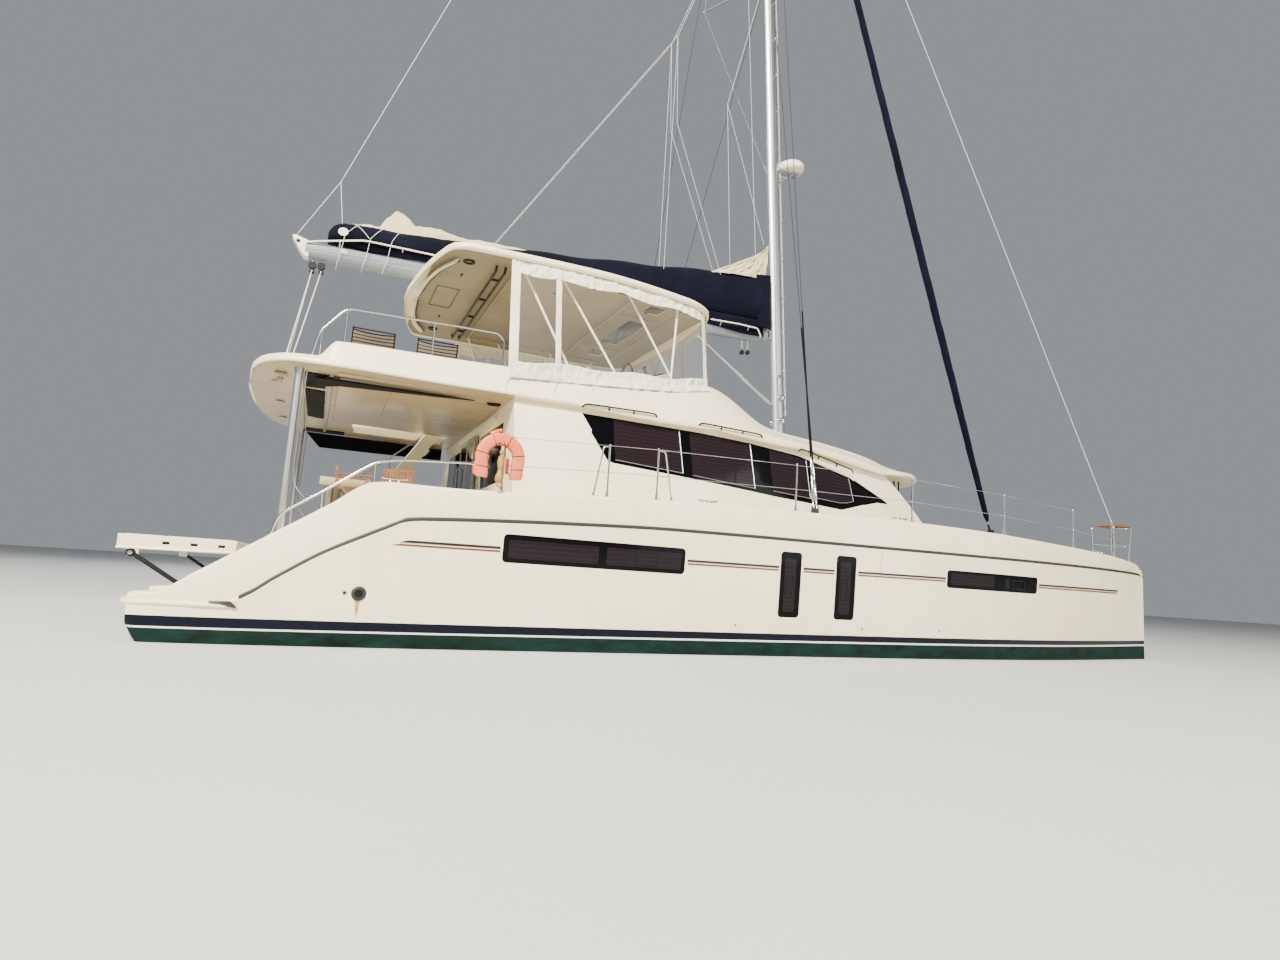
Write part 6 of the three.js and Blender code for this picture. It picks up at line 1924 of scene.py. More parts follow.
def cloth_patch(corners, columns, rows, bulge, seed, crease=0.02):
    """A creased patch of sailcloth between four corners, bulged to one side."""
    low_left, low_right, high_right, high_left = (Vector(corner) for corner in corners)
    bm = bmesh.new()
    bmesh.ops.create_grid(bm, x_segments=columns, y_segments=rows, size=0.5)
    for vert in bm.verts:
        u, v = vert.co.x + 0.5, vert.co.y + 0.5
        low, high = low_left.lerp(low_right, u), high_left.lerp(high_right, u)
        point = low.lerp(high, v)
        bow = 4 * u * (1 - u)
        rough = crease * (wander((u * 1.6, v * .5, seed), 0.13, seed)
                          + .5 * wander((u * 3, v, seed), 0.1, seed + 1))
        swell = Vector((0, bulge * bow * (1 - v * .6), 0))
        vert.co = point + swell + Vector((0, rough * min(1, 6 * v + .3), rough * .4))
    return bm


def luff_of_mainsail():
    """The mainsail's head and luff standing out of the bag's fore end, gathered to the mast's cars."""
    parts = []
    for side in (-1, 1):
        parts.append(cloth_patch([on_boom(1500, side * 90, bag_crown(1500) - 70),
                                  on_boom(150, side * 60, 1180), on_rig(-175, side * 12, 4420),
                                  on_rig(-330, side * 14, 4240)], 46, 26,
                                 side * .07, 5 + side, .045))
    return joined(parts)


def leech_of_mainsail():
    """Cream sailcloth folded over the bag's aft end."""
    parts = []
    for k, (a0, a1, lift, wide) in enumerate([(8020, 6880, 340, 70), (7700, 6300, 190, 120),
                                              (7000, 5200, 90, 90), (8400, 7780, 80, 60)]):
        rings = []
        for share in steps_between(0, 1, 40):
            aft = a0 + (a1 - a0) * share
            hump = math.sin(math.pi * share ** .7) ** .8
            z = bag_crown(aft) - 40 + lift * hump * (1 if k else math.exp(-((share - .27) / .3) ** 2) + .15)
            half = wide * (.35 + .65 * hump)
            ring = []
            for j in range(14):
                a = math.pi * j / 13
                rough = 1 + .22 * wander((share * 3 + k, j * .4, k), .35, k + 2)
                ring.append(on_boom(aft, -half * math.cos(a) * rough + 25 * wander((share * 4, k, 2), .5, 3),
                                    bag_crown(aft) - 60 + (z - bag_crown(aft) + 60) * math.sin(a) * rough))
            rings.append(ring)
        parts.append(loft(rings, closed=True))
    return joined(parts)


def vang_parts():
    """The vang: a rod in its spring case from the mast's lug to the boom, with forged ends."""
    foot, head = vang_foot(), on_boom(1850, 0, -215)
    along = head - foot
    reach = along.length * 1000
    return turned([(0, 22), (20, 26), (24, 70), (33, 90), (34, 680), (43, 700), (44, reach - 120),
                   (30, reach - 100), (24, reach - 30), (0, reach - 24)], foot, along, 24)


def vang_foot():
    """The vang's lower pin, on the gooseneck's line so that it swings with the boom."""
    return on_rig(-GOOSENECK_AFT, 0, 925)


def lines_between(pairs, radius, sides=6):
    """Straight taut lines between pairs of points."""
    return joined([tube(steps_of(a, b, 14), radius, 2, sides) for a, b in pairs])


def steps_of(a, b, count):
    """Points along a straight line."""
    return [Vector(a).lerp(Vector(b), k / (count - 1)) for k in range(count)]


def build_rig():
    """Mast, boom, sail bag, headsail, shrouds and lines."""
    silver, steel, navy = finish("anodised_aluminium"), finish("polished_stainless"), finish("navy_canvas")
    piece_from("mast_extrusion", mast_tube(), silver, stands_for=("mast",), slot="aluminium", angle=30)
    piece_from("mast_fittings", mast_parts(), silver, slot="aluminium")
    piece_from("mast_track_and_steps", mast_track(), steel, slot="stainless")
    piece_from("mast_winches", mast_winches(), steel, slot="stainless")
    piece_from("diamond_stays", standing_wires(), steel, slot="stainless")
    pair_of(shroud_wires, "shroud_wires", finish("dark_rope"), stands_for=("shrouds",), slot="stainless")
    pair_of(turnbuckles, "shroud_turnbuckles", steel, slot="stainless")
    pair_of(shroud_sleeves, "shroud_sleeves", finish("black_webbing"), slot="black_plastic")
    piece_from("radar_housing", radar(), finish("deck_gelcoat"), stands_for=("radar_dome",), slot="gelcoat")
    piece_from("radar_bracket", radar_bracket(), silver, slot="aluminium")
    roll = piece_from("headsail_roll", roll_of_headsail(), navy, stands_for=("furled_headsail",),
                      slot="navy_cloth", angle=60)
    piece_from("furler", furler(), finish("black_nylon"), stands_for=("furler_drum",), slot="black_plastic")
    piece_from("foil_ends", foil_ends(), silver, slot="aluminium")
    # The boom's blue grey paint is a painted reflection of the sky.
    piece_from("boom_extrusion", boom_tube(), finish("silver_paint"), body="boom", stands_for=("boom",),
               slot="aluminium", angle=24)
    piece_from("boom_castings", boom_ends(), silver, body="boom", slot="aluminium")
    piece_from("boom_end_casting", boom_cap(), finish("white_powder_coat"), body="boom", slot="aluminium")
    piece_from("boom_end_eye", boom_eye(), finish("black_nylon"), body="boom", slot="black_plastic")
    piece_from("boom_side_rails", boom_rails(), finish("white_powder_coat"), body="boom", slot="aluminium")
    piece_from("boom_marks", boom_marks(), finish("white_canvas"), body="boom", slot="white_cloth")
    piece_from("bag_lines", bag_lines(), finish("white_rope"), body="boom", slot="white_cloth")
    skirt = piece_from("sail_bag_skirt", bag_skirt(), navy, body="boom", slot="navy_cloth", angle=80,
                       solid=3)
    bag = piece_from("sail_bag_cloth", sail_bag(), navy, body="boom", stands_for=("sail_bag",),
                     slot="navy_cloth", angle=70)
    piece_from("sail_bag_zip", bag_trims(), finish("black_webbing"), body="boom", slot="navy_cloth")
    luff = piece_from("mainsail_luff", luff_of_mainsail(), finish("sailcloth"), body="boom",
                      slot="white_cloth", angle=80, solid=3)
    leech = piece_from("mainsail_leech", leech_of_mainsail(), finish("sailcloth"), body="boom",
                       slot="white_cloth", angle=80)
    piece_from("vang_case", vang_parts(), silver, body="boom", stands_for=("vang",), slot="aluminium")
    blocks = []
    for aft, up in ((8850, -228), (8990, -236)):
        blocks.append(sheave_block(on_boom(aft, 0, up), (0, 0, 1), 62, 52))
        blocks.append(sheave_block(on_boom(aft, 0, up - 104), (0, 0, 1), 42, 44))
    for aft, up in ((680, -478), (540, -458)):
        blocks.append(sheave_block(on_boom(aft, 0, up), (0, 0, 1), 50, 46))
    piece_from("boom_blocks", joined(blocks), finish("black_nylon"), body="boom", slot="black_plastic")
    jacks = []
    for side in (-1, 1):
        fork, lower = on_boom(2453, side * 150, 6029), on_boom(2413, side * 150, 4097)
        jacks += [(on_rig(-90, side * 75, 13900), fork), (fork, bag_point(6066, side * .5, .9)),
                  (fork, bag_point(2600, side * .5, .9)), (fork, lower),
                  (lower, bag_point(1293, side * .5, .9))]
    knot = on_boom(1145, 0, 4977)
    jacks += [(on_rig(-130, 0, 10650), knot), (knot, bag_point(1000, 0, 1)), (knot, on_boom(170, 0, 2000)),
              (on_rig(-273, 449, 10711), on_boom(320, 60, 1285))]
    lazy = piece_from("lazy_jacks", lines_between(jacks, 3), finish("white_rope"), body=None,
                      slot="white_cloth")
    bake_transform(lazy)
    apex = on_boom(8664, 0, 1312)
    spans = [(on_boom(9290, 0, 196), apex), (apex, on_rig(-130, 0, 23380)), (apex, bag_point(8585, 0, 1))]
    lift = piece_from("topping_lift", lines_between(spans, 5), finish("white_rope"), body=None,
                      slot="white_cloth")
    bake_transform(lift)
    halyards = [(on_rig(168, y, 700), on_rig(150, y, HOUNDS - 150)) for y in (-34, 0, 34)]
    halyards += [(on_rig(-60, -104, 1500), on_rig(-60, -100, 13900)),
                 (on_rig(-60, 104, 1500), on_rig(-60, 100, HOUNDS - 150))]
    piece_from("mast_halyards", lines_between(halyards, 5), finish("white_rope"), slot="white_cloth")
    spare = [(at(16600, -3230, 2640), on_rig(175, -30, HOUNDS - 100))]
    piece_from("spare_halyard", lines_between(spare, 4.5), finish("white_rope"), slot="white_cloth")


def radar():
    """The radar's two-part housing on its foot."""
    profile = [(0, 0), (235, 0), (258, 8), (288, 40), (300, 62), (300, 104), (297, 108), (297, 114),
               (300, 118), (294, 142), (262, 184), (205, 218), (120, 236), (0, 241)]
    return turned(profile, on_rig(460, 0, 6216), up_the_mast(), 44)


def radar_bracket():
    """The radar's bracket: two plates and braces from the mast's fore face."""
    top = block_on_rig(100, 640, -120, 120, 6180, 6214, 8)
    braces = [tube([on_rig(110, y, 5900), on_rig(520, y, 6185)], 14, sides=10) for y in (-60, 60)]
    return add_in(top, *braces)


# Deck gear

STANCHION_STATIONS = [3950, 5340, 6050, 8300, 10510, 12600, 14600, 16100]


def stanchion_foot(station, lift=0):
    """Foot of a stanchion on the starboard deck edge, or a point that much above it."""
    return at(station, -(HULL_CENTRE + deck_half(station) - 85), deck_edge(station) + lift)


def stanchions():
    """Stanchions with their sockets, the leaning legs of the gate, and the pulpit."""
    parts = []
    for s in STANCHION_STATIONS:
        parts.append(tube([stanchion_foot(s, 10), stanchion_foot(s, 697)], 12.5, sides=14))
        parts.append(turned([(0, -3), (12, -3), (13, 1), (12, 5), (6, 9), (0, 10)], stanchion_foot(s, 695),
                            sides=14))
        parts.append(turned([(0, 0), (42, 0), (42, 5), (19, 9), (18, 66), (13, 70), (0, 70)],
                            stanchion_foot(s, 16), sides=18))
    for head, foot in ((5340, 5150), (6050, 6275)):
        near = head + (foot - head) * .45
        parts.append(tube([stanchion_foot(head, 680), stanchion_foot(near, 672), stanchion_foot(foot, 20)],
                          11, 50, 12))
        parts.append(turned([(0, 0), (34, 0), (34, 5), (16, 9), (14, 40), (0, 40)], stanchion_foot(foot, 16),
                            sides=16))
    pulpit = [at(*point) for point in ((16250, -3480, 1820), (16250, -3480, 2620), (16900, -3400, 2620),
                                       (17180, -3200, 2600), (16900, -3000, 2620), (16350, -2960, 2620),
                                       (16350, -2975, 1820))]
    parts.append(tube(pulpit, 15, 110, 14))
    middle = [at(*point) for point in ((16250, -3475, 2240), (16905, -3365, 2240), (17120, -3200, 2230),
                                       (16905, -3035, 2240), (16350, -2968, 2240))]
    parts.append(tube(middle, 11, 90, 12))
    for y0, y1 in ((-3400, -3330), (-3000, -3070)):
        parts.append(tube([at(16900, y0, 2620), at(16900, y1, 1830)], 13, sides=14))
    for s, y in ((16250, -3480), (16350, -2975), (16900, -3330), (16900, -3070)):
        parts.append(turned([(0, 0), (40, 0), (40, 5), (18, 9), (17, 30), (0, 30)],
                            at(s, y, deck_edge(s) + 14), sides=16))
    return joined(parts)


def guard_wires():
    """Two wires a side with swaged ends, tensioners and the small eyes that they pass."""
    parts = []
    for lift in (688, 330):
        points = [stanchion_foot(s, lift) for s in STANCHION_STATIONS] + [at(16250, -3480, 1930 + lift)]
        for a, b in zip(points, points[1:]):
            parts.append(tube(steps_of(a, b, 3), 3.6, sides=6))
        for point in points[:-1]:
            parts.append(turned([(0, -7), (15, -7), (17, 0), (15, 7), (0, 7)], point, sides=12))
        for k in (0, 2):
            along = (points[k + 1] - points[k]).normalized()
            parts.append(tube([points[k] + along * .03, points[k] + along * .14], 7, sides=8))
            parts.append(tube([points[k] + along * .14, points[k] + along * .19], 4.6, sides=8))
    return joined(parts)


def bow_seat():
    """The slatted seat in the pulpit: five rounded slats on two bearers."""
    slats = []
    for k in range(5):
        y = -3430 + k * 105
        slats.append(plate([at(s, y + dy, 2600) for s, dy in (
            (16400, -34), (16870, -34 + 12 * (2 - k)), (16870, 34 + 12 * (2 - k)), (16400, 34))],
                           (0, 0, .02), 14, 3, 3))
    slats += [block(s - 18, s + 18, -3440, -2990, 2590, 2602, 4) for s in (16480, 16790)]
    return joined(slats)


def stern_rail():
    """The handrail that climbs with the stern steps, its posts and their flanges."""
    rail = [at(*point) for point in ((1440, -3860, 1150), (1500, -3860, 1430), (1930, -3880, 1735),
                                     (2470, -3900, 2140), (2760, -3905, 2205), (3600, -3920, 2262),
                                     (3690, -3920, 2225), (3700, -3920, 1930))]
    parts = [tube(rail, 15, 110, 14)]
    for s, y, top in ((1930, -3882, 1735), (2470, -3900, 2140)):
        parts.append(tube([at(s, y, deck_edge(s) + 5), at(s, y, top)], 13, sides=14))
    for s, y in ((1440, -3860), (1930, -3882), (2470, -3900), (3700, -3920)):
        parts.append(turned([(0, 0), (38, 0), (38, 5), (20, 9), (17, 34), (0, 34)],
                            at(s, y, deck_edge(s) + 9), sides=18))
    return joined(parts)


def overhang_post():
    """The post under the overhang: a stout tube with a cast foot and a flanged head."""
    s, y = 1490, -2560
    floor = 1000
    parts = [tube([at(s, y, floor), at(s, y, 3470)], 48, sides=28),
             turned([(0, 0), (92, 0), (94, 10), (84, 18), (60, 22), (54, 60), (50, 64), (0, 64)],
                    at(s, y, floor), sides=30),
             turned([(0, 0), (82, 0), (84, -12), (74, -22), (60, -26), (53, -92), (0, -92)], at(s, y, 3470),
                    sides=30)]
    return joined(parts)


def overhang_lines():
    """The slim curved pipe that runs down forward of the post."""
    return tube([at(1585, -2600, 3425), at(1580, -2600, 2900), at(1560, -2600, 2150), at(1600, -2600, 1900),
                 at(1700, -2600, 1780), at(1800, -2600, 1700)], 9, 160, 10)


def fly_rail():
    """The starboard rail round the after part of the flybridge, with flanged posts."""
    y = -2620
    rail = [at(s, y, z) for s, z in ((1610, 3600), (1680, 3960), (1950, 4300), (2050, 4345), (3560, 4385),
                                     (4050, 4390), (4140, 4300), (4150, 3860))]
    parts = [tube(rail, 15, 90, 14)]
    for s, low, high in ((1705, 3612, 3985), (1990, 3845, 4318), (3140, 3860, 4375)):
        parts.append(tube([at(s, y, low), at(s, y, high)], 12.5, sides=14))
    for s in (1610, 1705, 1990, 3140, 4150):
        parts.append(turned([(0, 0), (36, 0), (36, 5), (18, 9), (16, 36), (0, 36)],
                            at(s, y, roof_side(s, y) - 2), sides=16))
    return joined(parts)


# Middle of the float's arch, the arch's radius and the length of each leg.
FLOAT_CENTRE = (3885, -4173, 2335)
FLOAT_ARCH, FLOAT_LEG = 229, 255


def float_path(share):
    """A point of the float's middle line, which goes up one leg and down the other, and the way out of it."""
    arch = math.pi * FLOAT_ARCH
    run = share * (2 * FLOAT_LEG + arch)
    if run < FLOAT_LEG:
        x, z, out = 17 - FLOAT_ARCH - 17 * run / FLOAT_LEG, run - FLOAT_LEG, (-1, 0.07)
    elif run > FLOAT_LEG + arch:
        down = run - FLOAT_LEG - arch
        x, z, out = FLOAT_ARCH - 17 * down / FLOAT_LEG, -down, (1, 0.07)
    else:
        a = math.pi - (run - FLOAT_LEG) / FLOAT_ARCH
        x, z, out = FLOAT_ARCH * math.cos(a), FLOAT_ARCH * math.sin(a), (math.cos(a), math.sin(a))
    station, y, height = FLOAT_CENTRE
    return at(station + x, y, height + z), Vector((out[0], 0, out[1])).normalized()


def float_ring(share, grow=0.0):
    """The float's plump section at a share of its length."""
    near = min(share, 1 - share) * 60
    half_wide = 77 - (5 if near < 1 else 0) + 2 * math.sin(share * 40) + grow
    half_thick = 43 - (6 if near < 1 else 0) + 1.5 * math.sin(share * 33) + grow
    middle, reach = float_path(share)
    ring = []
    for j in range(20):
        b = math.tau * j / 20
        out = math.copysign(abs(math.cos(b)) ** .55, math.cos(b)) * half_wide
        side = math.copysign(abs(math.sin(b)) ** .55, math.sin(b)) * half_thick
        ring.append(middle + reach * (out / 1000) + Vector((0, side / 1000, 0)))
    return ring


def horseshoe_float():
    """The horseshoe float: a soft foam core in a vinyl cover, plump in section, with square ends."""
    return loft([float_ring(k / 66) for k in range(67)])


def horseshoe_straps():
    """Thin dark cords round the float, and its hanger on the rail."""
    parts = [tube(float_ring(share, 2.5) + float_ring(share, 2.5)[:1], 3.5, 4, 6)
             for share in (.1, .24, .42, .58, .76, .9)]
    for side in (-1, 1):
        parts.append(tube([at(3885 + side * 120, -4221, 2110), at(3885 + side * 62, -4226, 2320),
                           at(3885 + side * 30, -4222, 2520)], 4, 90, 8))
    return joined(parts)


def throw_bag():
    """The throwing line's slack gold-tan bag in the float, its neck tied and its foot bunched."""
    parts = [turned([(0, -232), (34, -228), (50, -196), (46, -150), (30, -110), (26, -60), (38, -20),
                     (44, 30), (36, 84), (18, 104), (14, 116), (30, 132), (26, 168), (0, 176)],
                    at(3884, -4236, 2250), (.04, 0, 1), 22)]
    parts.append(tube([at(3884, -4236, 2080), at(3860, -4240, 2020), at(3850, -4238, 1985),
                       at(3885, -4238, 1965), at(3915, -4238, 1990), at(3900, -4238, 2040)], 12, 40, 8))
    return joined(parts)


def float_lights():
    """Two orange lights of the float, low on its left and on its top."""
    parts = [turned([(0, -60), (24, -60), (27, -40), (27, 40), (20, 56), (20, 84), (12, 92), (0, 92)],
                    at(s, -4175, z), lean, 18)
             for s, z, lean in ((3590, 2165, (0, 0, 1)), (3800, 2640, (.9, 0, .5)))]
    return joined(parts)


def float_handle():
    """The red handle beside the throwing line."""
    return block(3942, 3990, -4250, -4222, 2130, 2330, 12)


def platform_parts():
    """Non-slip pads on the lifting platform."""
    return joined([block(aft, fore, y0, y1, 1128, 1134, 8) for aft, fore in ((-240, 150), (210, 940))
                   for y0, y1 in ((-2050, -720), (-660, 660), (720, 2050))])


def platform_lip():
    """The rounded lip along the platform's aft and side edges."""
    path = [at(960, -2112, 978), at(-300, -2112, 968), at(-306, -2080, 968), at(-306, 2080, 968),
            at(-300, 2112, 968), at(960, 2112, 978)]
    return tube(path, 24, 40, 12, .7)


def platform_slots():
    """Dark linings of the three drain slots in each end of the platform."""
    return joined([block(174 + k * 310, 246 + k * 310, min(side * 2066, side * 2112),
                         max(side * 2066, side * 2112), 1028, 1059, 6)
                   for k in range(3) for side in (-1, 1)])


def arm_pins():
    """Bolts and washers at the ends of the platform's arms."""
    parts = []
    for s, z, radius in ((-130, 905, 30), (900, 240, 34)):
        for y, turn in ((-2216 - 48, -1), (-2216 + 48, 1)):
            parts.append(turned([(0, 0), (radius, 0), (radius, 4), (radius * .6, 6), (radius * .6, 16),
                                 (0, 16)],
                                at(s, y, z), (0, turn, 0), 6 if radius < 32 else 18))
    return joined(parts)


def bow_beam():
    """The front crossbeam's tube with its end flanges, and the striker over it."""
    parts = [tube([at(16950, y, 1745) for y in steps_between(-3100, 3100, 9)], 104, sides=36)]
    for side in (-1, 1):
        parts.append(tube([at(16950, side * 2500, 1775), at(16950, side * 64, 2285)], 14, sides=14))
        parts.append(turned([(0, 0), (30, 0), (30, 30), (18, 44), (0, 44)], at(16950, side * 2500, 1836),
                            at(16950, side * 64, 2285) - at(16950, side * 2500, 1775), 16))
        parts.append(turned([(0, -20), (116, -20), (118, 0), (112, 10), (0, 10)],
                            at(16950, side * 2760, 1745), (0, 1, 0), 36))
    parts.append(turned([(0, 0), (74, 0), (74, 12), (50, 22), (45, 40), (45, 456), (54, 470), (54, 490),
                         (0, 500)],
                        at(16962, 0, 1838), (.03, 0, 1), 28))
    return joined(parts)


def anchor_gear():
    """The anchor roller under the walkway's fore end, between two cheek plates."""
    parts = [block(16540, 16830, -96, -88, 1700, 1800, 6), block(16540, 16830, 88, 96, 1700, 1800, 6),
             turned([(0, -86), (34, -86), (40, -80), (26, -30), (26, 30), (40, 80), (34, 86), (0, 86)],
                    at(16780, 0, 1740), (0, 1, 0), 24)]
    return joined(parts)


# Stations of the net's aft and fore ends, and its height.
NET_AFT, NET_FORE, NET_LEVEL = 14040, 16800, 1823


def trampoline():
    """The net between the walkway and the starboard hull: one sheet that sags a little."""
    bm = bmesh.new()
    bmesh.ops.create_grid(bm, x_segments=70, y_segments=60, size=0.5)
    for vert in bm.verts:
        u, v = vert.co.x + 0.5, vert.co.y + 0.5
        s = NET_AFT + 6 + (NET_FORE - NET_AFT - 12) * u
        outer = HULL_CENTRE - deck_half(s) - 50
        y = 166 + (outer - 166) * v
        sag = 6 * math.sin(math.pi * u) * math.sin(math.pi * v)
        vert.co = at(s, -y, NET_LEVEL - sag)
    return bm


def net_borders():
    """The webbing border of the net."""
    inner, outer = [], []
    for s in steps_between(NET_AFT + 14, NET_FORE - 14, 24):
        inner.append(at(s, -176, NET_LEVEL + 1))
        outer.append(at(s, -(HULL_CENTRE - deck_half(s) - 62), NET_LEVEL + 1))
    runs = [tube(inner, 14, 4, 8, .45), tube(outer, 14, 4, 8, .45),
            tube([inner[0], outer[0]], 14, 4, 8, .45), tube([inner[-1], outer[-1]], 14, 4, 8, .45)]
    return joined(runs)


def lid_hardware():
    """Hinges and a flush latch of a foredeck locker lid."""
    z = 2110
    parts = [block(13484, 13532, y - 40, y + 40, z + 20, z + 36, 6) for y in (-1950, -1450)]
    parts += [tube([at(13492, y - 46, z + 30), at(13492, y + 46, z + 30)], 9, sides=10)
              for y in (-1950, -1450)]
    parts.append(turned([(0, 0), (36, 0), (36, 4), (30, 6), (0, 6)], at(13930, -1700, z + 34), sides=24))
    return joined(parts)


def lid_pad():
    """Pebbled non-slip on a locker lid."""
    return block(13540, 13960, -2040, -1360, 2141, 2147, 10)


def rudder_blade():
    """The spade rudder: a foil on its stock, with a rounded tip."""
    rings = []
    for z, ahead, behind, half in [(-470, 128, 426, 45), (-700, 126, 410, 41), (-900, 119, 378, 34),
                                   (-1100, 108, 335, 26), (-1240, 97, 300, 20), (-1288, 80, 270, 12)]:
        shape = [(-1, 0), (-.7, .62), (-.3, .98), (.1, .92), (.5, .55), (.85, .2), (1, .04)]
        ring = []
        for x, side in shape + [(x, -side) for x, side in reversed(shape[1:])]:
            ring.append(at(1560 + (ahead * -x if x < 0 else -behind * x), side * half - HULL_CENTRE, z))
        rings.append(ring)
    stock = turned([(0, -480), (37, -480), (37, -441), (0, -441)], at(1560, -HULL_CENTRE, 0), sides=24)
    return add_in(loft(rings), stock)


def propeller():
    """A three-bladed propeller with twisted, rounded blades on a tapered hub."""
    z = SHAFT_LEVEL
    parts = [turned([(0, 0), (30, 2), (38, 12), (50, 60), (64, 140), (66, 150), (0, 150)],
                    at(3330, -HULL_CENTRE, z), (1, 0, 0), 30)]
    for k in range(3):
        spin = math.pi / 2 + k * math.tau / 3
        out = Vector((0, math.cos(spin), math.sin(spin)))
        tangent = Vector((0, -math.sin(spin), math.cos(spin)))
        rings = []
        for share in (0, .12, .28, .46, .64, .8, .92, .985, 1):
            radius = .045 + .203 * share
            taper = 1 if share < .92 else (1.02 - share) * 9
            chord = .05 + .062 * math.sin(math.pi * min(1, share * .72 + .2)) * taper
            chord = max(chord if share < .95 else chord * .5, .008)
            pitch = math.radians(62 - 36 * share)
            thick = .008 - .0055 * share
            lie = tangent * math.cos(pitch) + Vector((1, 0, 0)) * math.sin(pitch)
            over = lie.cross(out)
            centre = at(3405, -HULL_CENTRE, z) + out * radius + Vector((-.012 * share, 0, 0))
            rings.append([centre + lie * (chord * a) + over * (thick * b) for a, b in (
                (-1, 0), (-.6, .7), (0, 1), (.6, .7), (1, 0), (.6, -.6), (0, -.8), (-.6, -.6))])
        parts.append(loft(rings))
    return joined(parts)


def mainsheet():
    """The mainsheet's falls from the boom's end down to the overhang."""
    pairs = []
    low = [(1105, -60), (1105, 60), (1185, -40), (1185, 40), (1150, 0)]
    high = [(8990, -34), (8990, 34), (8850, -34), (8850, 34), (8990, 0)]
    for (s, y), (aft, y_high) in zip(low, high):
        pairs.append((at(s, y, 3700), on_boom(aft, y_high, -330)))
    return lines_between(pairs, 7)


def sheet_blocks():
    """Lower mainsheet blocks on the flybridge's aft edge, with their track."""
    blocks = [sheave_block(at(s, 0, 3682), (0, 0, -1), 44, 70) for s in (1115, 1180)]
    track = block(1050, 1245, -420, 420, 3600, 3622, 6)
    return joined([track, *blocks])


def visor_posts():
    """Two slim dark posts a side under the visor."""
    runs = []
    for s in (12640, 12760):
        runs.append([at(s, -1350, 2300), at(s + 10, -1350, roof_under(s) + 4)])
    return tubes(runs, 16, 20, 12)


HATCHES = [(14200, -3380, 500), (12550, -3300, 520), (10050, -3600, 420), (7550, -3620, 420)]


def deck_hatches():
    """Flush deck hatches on the hulls: dark acrylic."""
    return joined([block(s, s + size, y - size * .42, y + size * .42, deck_edge(s + size / 2) + 12,
                         deck_edge(s + size / 2) + 34, 12, 3) for s, y, size in HATCHES])


def hatch_frames():
    """Aluminium frames of the deck hatches."""
    frames = []
    for s, y, size in HATCHES:
        z = deck_edge(s + size / 2) + 4
        outer = block(s - 26, s + size + 26, y - size * .42 - 26, y + size * .42 + 26, z - 6, z + 24, 14, 3)
        inner = block(s + 2, s + size - 2, y - size * .42 + 2, y + size * .42 - 2, z - 20, z + 60, 10, 3)
        frames.append(carved(outer, inner))
    return joined(frames)


def deck_pads():
    """Non-slip panels on the side decks and foredeck of a hull."""
    panels = []
    for s0, s1 in ((4350, 5200), (5300, 7400), (8150, 9900), (10600, 12300), (12750, 14000), (14800, 15900)):
        count = 6
        line = steps_between(s0, s1, count)
        outer = [(s, HULL_CENTRE + deck_half(s) - 190) for s in line]
        inner = [(s, max(cabin_base(s) + 60, HULL_CENTRE - deck_half(s) + 90)) for s in line]
        points = [at(s, -y, deck_edge(s) + 12) for s, y in [*outer, *reversed(inner)]]
        panels.append(plate(points, (0, 0, .006), 40, 4))
    return joined(panels)


def hardtop_face(station, y):
    """Height of the hardtop's upper face."""
    return straight_through(sorted(hardtop_section(station)[13:]), 1)(abs(y))


def laid_on(face, s0, s1, y0, y1, thick, sink=12):
    """A panel that follows a face below it, thick above the face and let into it a little."""
    bm = bmesh.new()
    bmesh.ops.create_grid(bm, x_segments=8, y_segments=6, size=0.5)
    made = bmesh.ops.extrude_face_region(bm, geom=list(bm.faces), use_keep_orig=True)["geom"]
    upper = {part for part in made if isinstance(part, bmesh.types.BMVert)}
    for vert in bm.verts:
        s, y = s0 + (vert.co.x + 0.5) * (s1 - s0), y0 + (vert.co.y + 0.5) * (y1 - y0)
        vert.co = at(s, y, face(s, y) + (thick if vert in upper else -sink))
    bmesh.ops.recalc_face_normals(bm, faces=bm.faces)
    return bm


def solar_panels():
    """Solar panels on the hardtop and the coachroof: dark glass with cells."""
    return joined([laid_on(hardtop_face, s, s + 1050, y - 260, y + 260, 10)
                   for s in (3900, 5100) for y in (-1500, -900, 900, 1500)])


def coachroof_hatches():
    """Two opening hatches in the coachroof ahead of the mast, and the ones beside it."""
    panes = []
    for s, y in ((9100, -900), (9100, 900), (11900, -700), (11900, 700)):
        panes.append(laid_on(roof_side, s, s + 500, y - 250, y + 250, 24))
    return joined(panes)


def side_winches():
    """Winches at the flybridge helm."""
    parts = []
    for y in (-1750, -1350, -450, -50):
        parts.append(turned([(0, 0), (78, 0), (82, 14), (64, 28), (50, 76), (58, 120), (74, 132), (76, 150),
                             (48, 164), (0, 166)], at(7700, y, 4290), sides=32))
    return joined(parts)


